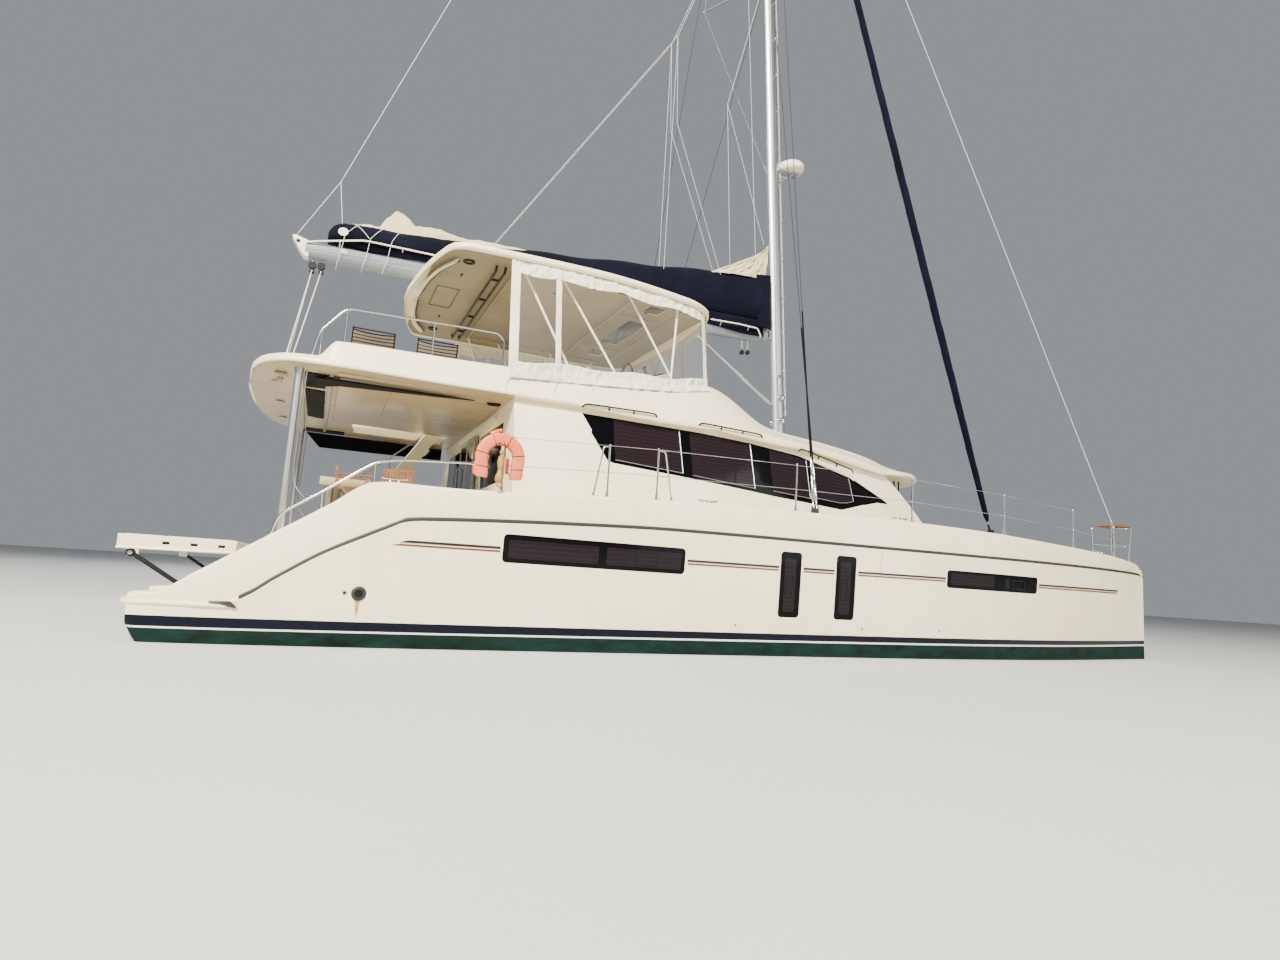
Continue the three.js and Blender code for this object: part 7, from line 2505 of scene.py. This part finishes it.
def build_deck_gear():
    """Rails, posts, float, platform, bow gear, rudders, propellers, hatches and running lines."""
    deck, steel, rubber = finish("deck_gelcoat"), finish("polished_stainless"), finish("black_nylon")
    pair_of(stanchions, "stanchions_and_pulpit", steel, stands_for=("guard_rail",), slot="stainless")
    pair_of(guard_wires, "guard_wires", steel, slot="stainless")
    pair_of(bow_seat, "bow_seat", finish("oiled_teak"), slot="teak")
    pair_of(stern_rail, "stern_handrail", steel, stands_for=("stern_rail",), slot="stainless")
    pair_of(overhang_post, "overhang_pillar", finish("anodised_aluminium"), stands_for=("overhang_post",),
            slot="stainless")
    pair_of(overhang_lines, "overhang_pipe", steel, slot="stainless")
    pair_of(fly_rail, "flybridge_handrail", steel, stands_for=("flybridge_rail",), slot="stainless")
    float_body = piece_from("horseshoe_float", horseshoe_float(), finish("salmon_vinyl"),
                            stands_for=("horseshoe_buoy",), slot="salmon", angle=70)
    piece_from("float_straps", horseshoe_straps(), finish("black_webbing"), slot="black_plastic")
    bag = piece_from("throw_bag", throw_bag(), finish("gold_nylon"), slot="white_cloth")
    piece_from("float_lights", float_lights(), finish("orange_plastic"), slot="salmon")
    piece_from("float_handle", float_handle(), finish("red_plastic"), slot="salmon")
    softened("lifting_platform", deck, 16)
    piece_from("platform_pads", platform_parts(), finish("nonslip_gelcoat"), body="lifting_platform",
               slot="gelcoat")
    piece_from("platform_lip", platform_lip(), deck, body="lifting_platform", slot="gelcoat")
    piece_from("platform_slots", platform_slots(), rubber, body="lifting_platform", slot="black_plastic")
    for side in PAIR:
        softened(f"platform_arm_{side}", rubber, 5)
    pair_of(arm_pins, "arm_bolts", steel, body="platform_arms", slot="stainless")
    piece_from("bow_beam", bow_beam(), finish("anodised_aluminium"), stands_for=("crossbeam",),
               slot="aluminium")
    piece_from("anchor_roller", anchor_gear(), steel, slot="stainless")
    softened("walkway_beam", deck, 16)
    nets = pair_of(trampoline, "trampoline_net", finish("netting"), stands_for=("trampoline",),
                   slot="black_net", angle=80)
    borders = pair_of(net_borders, "trampoline_webbing", finish("black_webbing"), slot="black_net")
    for side in PAIR:
        softened(f"locker_lid_{side}", deck, 12)
    pair_of(lid_hardware, "lid_hinges_and_latch", steel, body="locker_lid_{side}", slot="stainless")
    pair_of(lid_pad, "lid_pad", finish("nonslip_gelcoat"), body="locker_lid_{side}", slot="gelcoat")
    pair_of(rudder_blade, "rudder_blade", finish("antifouling_paint"), body="rudder_{side}",
            stands_for=("rudder",), slot="antifouling")
    pair_of(propeller, "propeller_blades", finish("cast_bronze"), body="propeller_{side}",
            stands_for=("propeller",), slot="bronze")
    falls = piece_from("mainsheet", mainsheet(), finish("white_rope"), body=None, slot="white_cloth")
    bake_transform(falls)
    piece_from("mainsheet_blocks", sheet_blocks(), rubber, slot="black_plastic")
    pair_of(visor_posts, "visor_posts", rubber, slot="black_plastic")
    pair_of(deck_hatches, "deck_hatches", finish("black_acrylic"), slot="dark_glass")
    pair_of(hatch_frames, "deck_hatch_frames", finish("anodised_aluminium"), slot="aluminium")
    pair_of(deck_pads, "deck_nonslip", finish("nonslip_gelcoat"), slot="gelcoat")
    piece_from("solar_panels", solar_panels(), finish("solar_glass"), slot="dark_glass")
    piece_from("coachroof_hatches", coachroof_hatches(), finish("black_acrylic"), slot="dark_glass")
    piece_from("helm_winches", side_winches(), steel, slot="stainless")


# Helm, furniture and rooms

def ring_tube(centre, radius, thick, axis, sides=64):
    """A closed round tube bent into a ring, its radii in millimetres."""
    profile = [(radius + thick * math.cos(a), thick * math.sin(a))
               for a in (math.tau * k / 14 for k in range(15))]
    return turned(profile, centre, axis, sides)


WHEEL_CENTRE, WHEEL_RADIUS = at(6780, -900, 4480), 330


def steering_wheel():
    """The wheel: a bright rim, five spokes and a capped hub."""
    centre = WHEEL_CENTRE
    parts = [ring_tube(centre, WHEEL_RADIUS, 13, (1, 0, 0))]
    parts.append(turned([(0, -40), (30, -40), (38, -32), (40, 0), (40, 30), (30, 35), (0, 35)], centre,
                        (1, 0, 0), 28))
    for k in range(5):
        turn = math.pi / 2 + k * math.tau / 5
        parts.append(tube([centre, centre + Vector((0, math.cos(turn), math.sin(turn))) * .325], 8, sides=12,
                          tip=6.5))
    return joined(parts)


def wheel_grip():
    """The leather grip sewn round the rim."""
    parts = []
    for k in range(5):
        turns = [math.pi / 2 + (k + share) * math.tau / 5 for share in steps_between(.07, .93, 14)]
        parts.append(tube([WHEEL_CENTRE + Vector((0, math.cos(t), math.sin(t))) * (WHEEL_RADIUS / 1000)
                           for t in turns],
                          16, 2, 12))
    return joined(parts)


# Sides of the plotter and of two instruments and how each is set, then the slope of the face that holds them.
HELM_GLASSES = [(-1080, -720, -40), (-1320, -1130, -60), (-670, -480, -60)]
HELM_SLOPE = Matrix.Rotation(math.radians(-21), 3, "Y")


def helm_screens():
    """Chart plotter and instrument glasses on the console's sloping face."""
    return joined([block(7100 + shift, 7400 + shift, y0, y1, 4589, 4601, 6, 2, HELM_SLOPE)
                   for y0, y1, shift in HELM_GLASSES])


def helm_details():
    """Bezels, throttle levers, compass and engine panel of the helm."""
    parts = [block(7085 + shift, 7415 + shift, y0 - 18, y1 + 18, 4576, 4594, 10, 2, HELM_SLOPE)
             for y0, y1, shift in HELM_GLASSES]
    parts.append(turned([(0, 0), (76, 0), (80, 14), (70, 44), (44, 76), (0, 86)], at(7420, -900, 4640),
                        sides=30))
    parts.append(block(6960, 7060, -1360, -1240, 4480, 4560, 16, 3))
    for y in (-1330, -1270):
        parts.append(tube([at(7010, y, 4550), at(6960, y, 4680)], 8, sides=10))
        parts.append(turned([(0, -22), (18, -16), (20, 0), (14, 20), (0, 24)], at(6956, y, 4690), (0, 1, 0),
                            16))
    return joined(parts)


def seat_bases():
    """Moulded bases under the helm seat and both settees, with a toe recess."""
    parts = [carved(block(5905, 6395, -1395, -405, FLY_SOLE + 1, 4004, 26, 3),
                    block(6330, 6500, -1500, -300, FLY_SOLE - 20, FLY_SOLE + 90, 10)),
             block(5862, 5900, -1395, -405, 3990, 4500, 14, 3),
             carved(block(4905, 7245, 905, 2125, FLY_SOLE + 1, 3925, 30, 3),
                    block(4950, 7200, 880, 960, FLY_SOLE - 20, FLY_SOLE + 90, 10)),
             block(4905, 7245, 2094, 2126, 3900, 4260, 12, 2),
             carved(block(2065, 4145, 2305, 2995, SOLE + 1, 1884, 26, 3),
                    block(2100, 4100, 2280, 2350, SOLE - 20, SOLE + 90, 10)),
             block(2064, 2150, 2303, 2996, 1870, 2350, 20, 3)]
    return joined(parts)


# Name, then stations, sides and heights of the space that each cushion fills.
PADS = [["helm_seat_pad", 5962, 6398, -1398, -402, 4000, 4118],
        ["helm_back_pad", 5892, 5958, -1390, -410, 4124, 4556]]
PADS += [[f"settee_pad_{k}", 4905 + k * 780, 5675 + k * 780, 905, 1985, 3921, 4028] for k in range(3)]
PADS += [[f"settee_back_{k}", 4905 + k * 780, 5675 + k * 780, 1994, 2088, 4034, 4286] for k in range(3)]
PADS += [[f"cockpit_pad_{k}", 2314 + k * 612, 2920 + k * 612, 2305, 2995, 1882, 1988] for k in range(3)]
PADS += [["cockpit_back_pad", 2152, 2306, 2304, 2996, 1994, 2376]]
PAD_CAP = 0.013


def inflated(pads):
    """The cushions: rounded blocks of even cells, puffed out by air pressure and held to their room."""
    objects = []
    for _, s0, s1, y0, y1, z0, z1 in pads:
        round_mm = min(34, (z1 - z0) * .36, (s1 - s0) * .36, (y1 - y0) * .36)
        shape = temporary(block(s0 + 9, s1 - 9, y0 + 9, y1 - 9, z0 + 9, z1 - 9, round_mm, 4))
        even = shape.modifiers.new("even_cells", "REMESH")
        even.mode = "VOXEL"
        even.voxel_size = 0.024
        bpy.context.view_layer.update()
        mesh = bpy.data.meshes.new_from_object(shape.evaluated_get(bpy.context.evaluated_depsgraph_get()))
        shape.modifiers.clear()
        shape.data = mesh
        objects.append(shape)
    starts = [[vert.co.copy() for vert in shape.data.vertices] for shape in objects]
    for shape in objects:
        cloth = shape.modifiers.new("air", "CLOTH")
        cloth.settings.quality = 4
        cloth.settings.use_pressure = True
        cloth.settings.uniform_pressure_force = 4
        cloth.settings.effector_weights.gravity = 0
        cloth.settings.bending_stiffness = 4
        cloth.point_cache.frame_start = 1
        cloth.point_cache.frame_end = 20
    for step in range(1, 21):
        bpy.context.scene.frame_set(step)
    puffed = []
    for shape in objects:
        result = shape.evaluated_get(bpy.context.evaluated_depsgraph_get()).to_mesh()
        puffed.append([vert.co.copy() for vert in result.vertices])
    for shape, start, after in zip(objects, starts, puffed):
        shape.modifiers.clear()
        for vert, before, now in zip(shape.data.vertices, start, after):
            step = now - before
            vert.co = before + step * min(1, PAD_CAP / max(step.length, 1e-6))
    bpy.context.scene.frame_set(1)
    return objects


def cushion_from(shape, name):
    """A finished cushion: seams sunk round its sides, one channel across, smooth, with its cover."""
    bm = bmesh.new()
    bm.from_mesh(shape.data)
    mesh = shape.data
    bpy.data.objects.remove(shape)
    bpy.data.meshes.remove(mesh)
    lows = [min(v.co[k] for v in bm.verts) for k in range(3)]
    highs = [max(v.co[k] for v in bm.verts) for k in range(3)]
    sizes = [high - low for low, high in zip(lows, highs)]
    thin = sizes.index(min(sizes))
    longest = sizes.index(max(sizes))
    middle = [(low + high) / 2 for low, high in zip(lows, highs)]
    for vert in bm.verts:
        out = Vector((0, 0, 0))
        face_share = (vert.co[thin] - middle[thin]) / (sizes[thin] / 2)
        near_seam = math.exp(-((abs(face_share) - .62) / .12) ** 2)
        for axis in range(3):
            if axis != thin:
                edge = abs(vert.co[axis] - middle[axis]) / (sizes[axis] / 2)
                if edge > .93:
                    out[axis] -= math.copysign(.006 * near_seam, vert.co[axis] - middle[axis])
        across = math.exp(-((vert.co[longest] - middle[longest]) / .014) ** 2)
        if abs(face_share) > .6:
            out[thin] -= math.copysign(.009 * across, face_share)
            out[thin] += .0035 * wander(vert.co, .16, 21) + .002 * wander(vert.co, .06, 22)
        vert.co += out
    return piece_from(name, bm, finish("oat_upholstery"), slot="grey_cushion", angle=80, levels=1)


# Seat height, back height, width and depth of each kind of folding chair.
SLING_CHAIR = (400, 800, 640, 560)
TEAK_CHAIRS = [["aft", 2320, -2150, False, (420, 680, 480, 460)],
               ["fore", 2930, -1740, True, (420, 760, 460, 460)]]


def chair_place(station, y, floor, facing_port):
    """Where a chair's own frame stands: x to its front, y to its left, in metres."""
    turn = Matrix.Rotation(math.radians(90 if facing_port else 0), 4, "Z")
    return Matrix.Translation(at(station, y, floor)) @ turn


def chair_frame(place, seat, back, wide, deep, radius=11):
    """A folding chair's tubes: crossed legs each side, arm rests and an upright back."""
    def p(x, y, z):
        return place @ (Vector((x, y, z)) / 1000)
    parts = []
    for side in (-1, 1):
        y = side * (wide * .46)
        parts.append(tube([p(-deep * .4, y, 8), p(deep * .44, y, seat + 140)], radius, sides=12))
        parts.append(tube([p(deep * .4, y, 8), p(-deep * .43, y, seat - 20), p(-deep * .49, y, back)],
                          radius, 40, 12))
        parts.append(tube([p(-deep * .46, y, seat + 148), p(deep * .48, y, seat + 152)], radius + 5, 20, 12,
                          .6))
        for x in (-.4, .4):
            parts.append(turned([(0, 0), (20, 0), (20, 10), (14, 18), (0, 18)], p(deep * x, y, 1), sides=14))
    for x, z in ((-.4, 60), (.4, 60), (.42, seat - 12), (-.42, seat - 12)):
        parts.append(tube([p(deep * x, -wide * .46, z), p(deep * x, wide * .46, z)], radius - 2, sides=10))
    parts.append(tube([p(-deep * .488, -wide * .46, back - 12), p(-deep * .488, wide * .46, back - 12)],
                      radius - 1, sides=10))
    return joined(parts)


def sling_cloths(place, seat, back, wide, deep):
    """Seat and back cloths of a sling chair, one sheet, sagging between the side tubes."""
    def p(x, y, z):
        return place @ (Vector((x, y, z)) / 1000)
    bm = bmesh.new()
    rows = [(deep * .44, seat - 2), (deep * .2, seat - 8), (0, seat - 12), (-deep * .2, seat - 10),
            (-deep * .36, seat + 4), (-deep * .44, seat + 50), (-deep * .462, seat + 130),
            (-deep * .475, seat + 230), (-deep * .485, seat + 310), (-deep * .492, back - 36)]
    bmesh.ops.create_grid(bm, x_segments=24, y_segments=36, size=0.5)
    depth = curve_through([[k, row[0]] for k, row in enumerate(rows)], 1)
    height = curve_through([[k, row[1]] for k, row in enumerate(rows)], 1)
    for vert in bm.verts:
        u, v = vert.co.x * 2, (vert.co.y + 0.5) * 9
        bow = 1 - u * u
        sag_down = 22 * bow * (1 if v < 4.5 else 0) * (1 - abs(v - 2) / 3 if v < 5 else 0)
        sag_back = 16 * bow * (v > 4.5) * min(1, (v - 4.5) / 2)
        ripple = 3 * wander((u * .5, v * .3, 1), .3, 31)
        sag_down = max(sag_down, 0) + 34 * bow * max(0, (v - 6) / 3)
        vert.co = p(depth(v) - sag_back + ripple, u * wide * .455, height(v) - sag_down + ripple)
    return bm


def sling_bands(place, back, wide, deep):
    """Dark welts across the back cloth of a sling chair."""
    def p(x, y, z):
        return place @ (Vector((x, y, z)) / 1000)
    runs = []
    for drop in (40, 96, 150, 205):
        line = []
        for u in steps_between(-1, 1, 13):
            bow = 1 - u * u
            z = back - drop - 34 * bow * max(0, 1 - drop / 260)
            line.append(p(-deep * (.49 - drop * .00008) - 16 * bow - 4, u * wide * .455, z))
        runs.append(tube(line, 5 if drop > 50 else 8, 4, 6))
    return joined(runs)


def teak_slats(place, seat, back, wide, deep):
    """Wooden seat slats and upright back slats of a folding chair, with their rails."""
    def p(x, y, z):
        return place @ (Vector((x, y, z)) / 1000)
    def board(corners, thick):
        a, b, c = corners[0], corners[1], corners[3]
        normal = (b - a).cross(c - a).normalized() * thick
        return plate(corners, normal, 5, 2, 2)
    parts = []
    for k in range(7):
        x = -deep * .42 + k * deep * .84 / 7
        w = deep * .84 / 7 - 9
        parts.append(board([p(x + along, wide * side, seat - 16)
                            for along, side in ((0, -.44), (w, -.44), (w, .44), (0, .44))], .014))
    lean = deep * .055
    for k in range(8):
        y = -wide * .42 + k * wide * .84 / 8
        w = wide * .84 / 8 - 12
        parts.append(board([p(-deep * .43, y, seat + 70), p(-deep * .43, y + w, seat + 70),
                            p(-deep * .43 - lean, y + w, back - 46), p(-deep * .43 - lean, y, back - 46)],
                           .012))
    for z, x in ((seat + 50, .43), (back - 24, .488)):
        parts.append(board([p(-deep * x, wide * side, z + up)
                            for side, up in ((-.46, -24), (.46, -24), (.46, 24), (-.46, 24))], .02))
    for side in (-1, 1):
        parts.append(board([p(deep * x, side * wide * .46 + out, seat + up)
                            for x, out, up in ((-.46, -26, 148), (.5, -26, 152), (.5, 26, 152),
                                               (-.46, 26, 148))], .016))
        for a, b in (((-.4, 8), (.44, seat + 140)), ((.4, 8), (-.43, seat + 40)),
                     ((-.43, seat + 30), (-.49, back))):
            parts.append(board([p(deep * end[0] + shift, side * wide * .44, end[1])
                                for end, shift in ((a, -15), (a, 15), (b, 15), (b, -15))], .018))
    return joined(parts)


def cockpit_table():
    """The table's moulded top: a rounded slab with a rim and a folding leaf's joint."""
    top = block(1900, 3500, -1350, -450, 2130, 2173, 18, 3)
    return carved(top, block(1960, 3440, -903, -897, 2169, 2200),
                  block(1990, 3410, -1290, -920, 2171, 2200, 1),
                  block(1990, 3410, -880, -510, 2171, 2200, 1))


def table_leg():
    """The table's pedestal with its foot plate."""
    return turned([(0, 0), (238, 0), (240, 8), (228, 16), (90, 22), (64, 40), (58, 90), (58, 520), (66, 548),
                   (120, 564), (150, 578), (0, 578)], at(2700, -900, SOLE + 1), sides=40)


def stair_treads():
    """Non-slip pads on the stairs to the flybridge."""
    return joined([block(2572 + k * 185, 2822 + k * 185, 1376, 2024, 1824 + k * 265, 1830 + k * 265, 8)
                   for k in range(7)])


def stair_rail():
    """Handrail of the stairs."""
    path = [at(2500, 1300, SOLE + 20), at(2560, 1300, 2480), at(3560, 1300, 3350)]
    return tubes([path, [at(3060, 1318, 2320), at(3060, 1300, 2910)]], 14, 120, 12)


# Stations of each wall's pane, its nearer and farther side, sill and head.
WALL_PANES = [(4300, 4343, 763, 2347, 2253, 3147), (11545, 11598, 563, 1747, 2303, 3077)]


def bulkhead_panes():
    """Dark panes in the aft bulkhead and the front wall, one to each side of the door."""
    return joined([block(aft, fore, *sorted((side * near, side * far)), sill, head, 4)
                   for aft, fore, near, far, sill, head in WALL_PANES for side in (-1, 1)])


def door_frames():
    """Aluminium stiles and rails of the saloon door, with its pull."""
    s0, s1 = 4300 - 78, 4300 - 22
    outer = block(s0, s1, -650, 650, SOLE + 12, 3196, 8)
    parts = [carved(outer, block(s0 - 50, s1 + 50, -592, -30, SOLE + 110, 3120, 6),
                    block(s0 - 50, s1 + 50, 30, 592, SOLE + 110, 3120, 6))]
    parts.append(tube([at(s0, 560, 2350), at(s0 - 50, 560, 2360), at(s0 - 50, 560, 2740), at(s0, 560, 2750)],
                      11, 20, 12))
    return joined(parts)


def room_inside():
    """Saloon joinery seen through the glass: galley, lockers and table."""
    parts = [block(4900, 6900, -2500, -1850, 1560, 2440, 12), block(5000, 6800, 1500, 2100, 1560, 2440, 12),
             block(8400, 10900, -2100, -1500, 1560, 2350, 12),
             block(10950, 11450, -1500, 1500, 1560, 2420, 12), block(8700, 9900, 400, 1300, 2230, 2270, 8),
             block(9200, 9400, 780, 920, 1560, 2240, 8)]
    return joined(parts)


def room_seats():
    """The saloon's sofa."""
    return joined([block(7400, 10700, 1500, 2150, 1560, 1960, 30, 3),
                   block(7400, 10700, 2000, 2160, 1960, 2400, 30, 3),
                   block(10500, 10900, 300, 1500, 1560, 1960, 30, 3)])


def room_floor():
    """The saloon's wooden sole."""
    return block(4360, 11530, -2300, 2300, SOLE + 2, SOLE + 9, 2)


def build_interior():
    """Helm, seats, chairs, table, stairs and what shows through the glass."""
    deck, steel, rubber = finish("deck_gelcoat"), finish("polished_stainless"), finish("black_nylon")
    piece_from("steering_wheel", steering_wheel(), steel, body="helm_wheel", stands_for=("helm_wheel",),
               slot="stainless")
    piece_from("wheel_grip", wheel_grip(), rubber, body="helm_wheel", slot="black_plastic")
    piece_from("helm_screens", helm_screens(), finish("screen_glass"), slot="dark_glass")
    piece_from("helm_details", helm_details(), rubber, slot="black_plastic")
    piece_from("seat_bases", seat_bases(), deck,
               stands_for=("helm_seat", "flybridge_settee", "cockpit_settee"), slot="gelcoat", angle=34)
    for shape, pad in zip(inflated(PADS), PADS):
        cushion = cushion_from(shape, pad[0])
    for name, station, y in (("aft", 2400, -1450), ("fore", 3330, -1450)):
        place = chair_place(station, y, FLY_SOLE, True)
        piece_from(f"sling_frame_{name}", chair_frame(place, *SLING_CHAIR), finish("bronze_tube"),
                   stands_for=(f"sling_chair_{name}",), slot="stainless")
        cloth = piece_from(f"sling_cloth_{name}", sling_cloths(place, *SLING_CHAIR), finish("taupe_mesh"),
                           slot="white_cloth", angle=80, solid=2.5)
        bands = piece_from(f"sling_welts_{name}", sling_bands(place, *SLING_CHAIR[1:]),
                           finish("black_webbing"), slot="black_plastic")
    for name, station, y, facing_port, sizes in TEAK_CHAIRS:
        place = chair_place(station, y, SOLE, facing_port)
        piece_from(f"teak_slats_{name}", teak_slats(place, *sizes), finish("oiled_teak"),
                   stands_for=(f"teak_chair_{name}",), slot="teak")
    piece_from("table_top", cockpit_table(), deck, stands_for=("cockpit_table",), slot="gelcoat", angle=30)
    piece_from("table_leg", table_leg(), steel, slot="stainless")
    piece_from("stair_pads", stair_treads(), finish("nonslip_gelcoat"), slot="gelcoat")
    piece_from("stair_rail", stair_rail(), steel, slot="stainless")
    piece_from("bulkhead_panes", bulkhead_panes(), finish("black_acrylic"), slot="dark_glass")
    piece_from("saloon_door_frame", door_frames(), finish("anodised_aluminium"), body="saloon_door",
               slot="aluminium")
    piece_from("saloon_joinery", room_inside(), finish("oak_joinery"), slot="teak")
    piece_from("saloon_sofa", room_seats(), finish("oat_upholstery"), slot="grey_cushion")
    piece_from("saloon_floor", room_floor(), finish("oak_joinery"), slot="teak")


camera_from_photograph()
studio()
build_hulls()
build_deckhouse()
build_flybridge()
build_rig()
build_deck_gear()
build_interior()
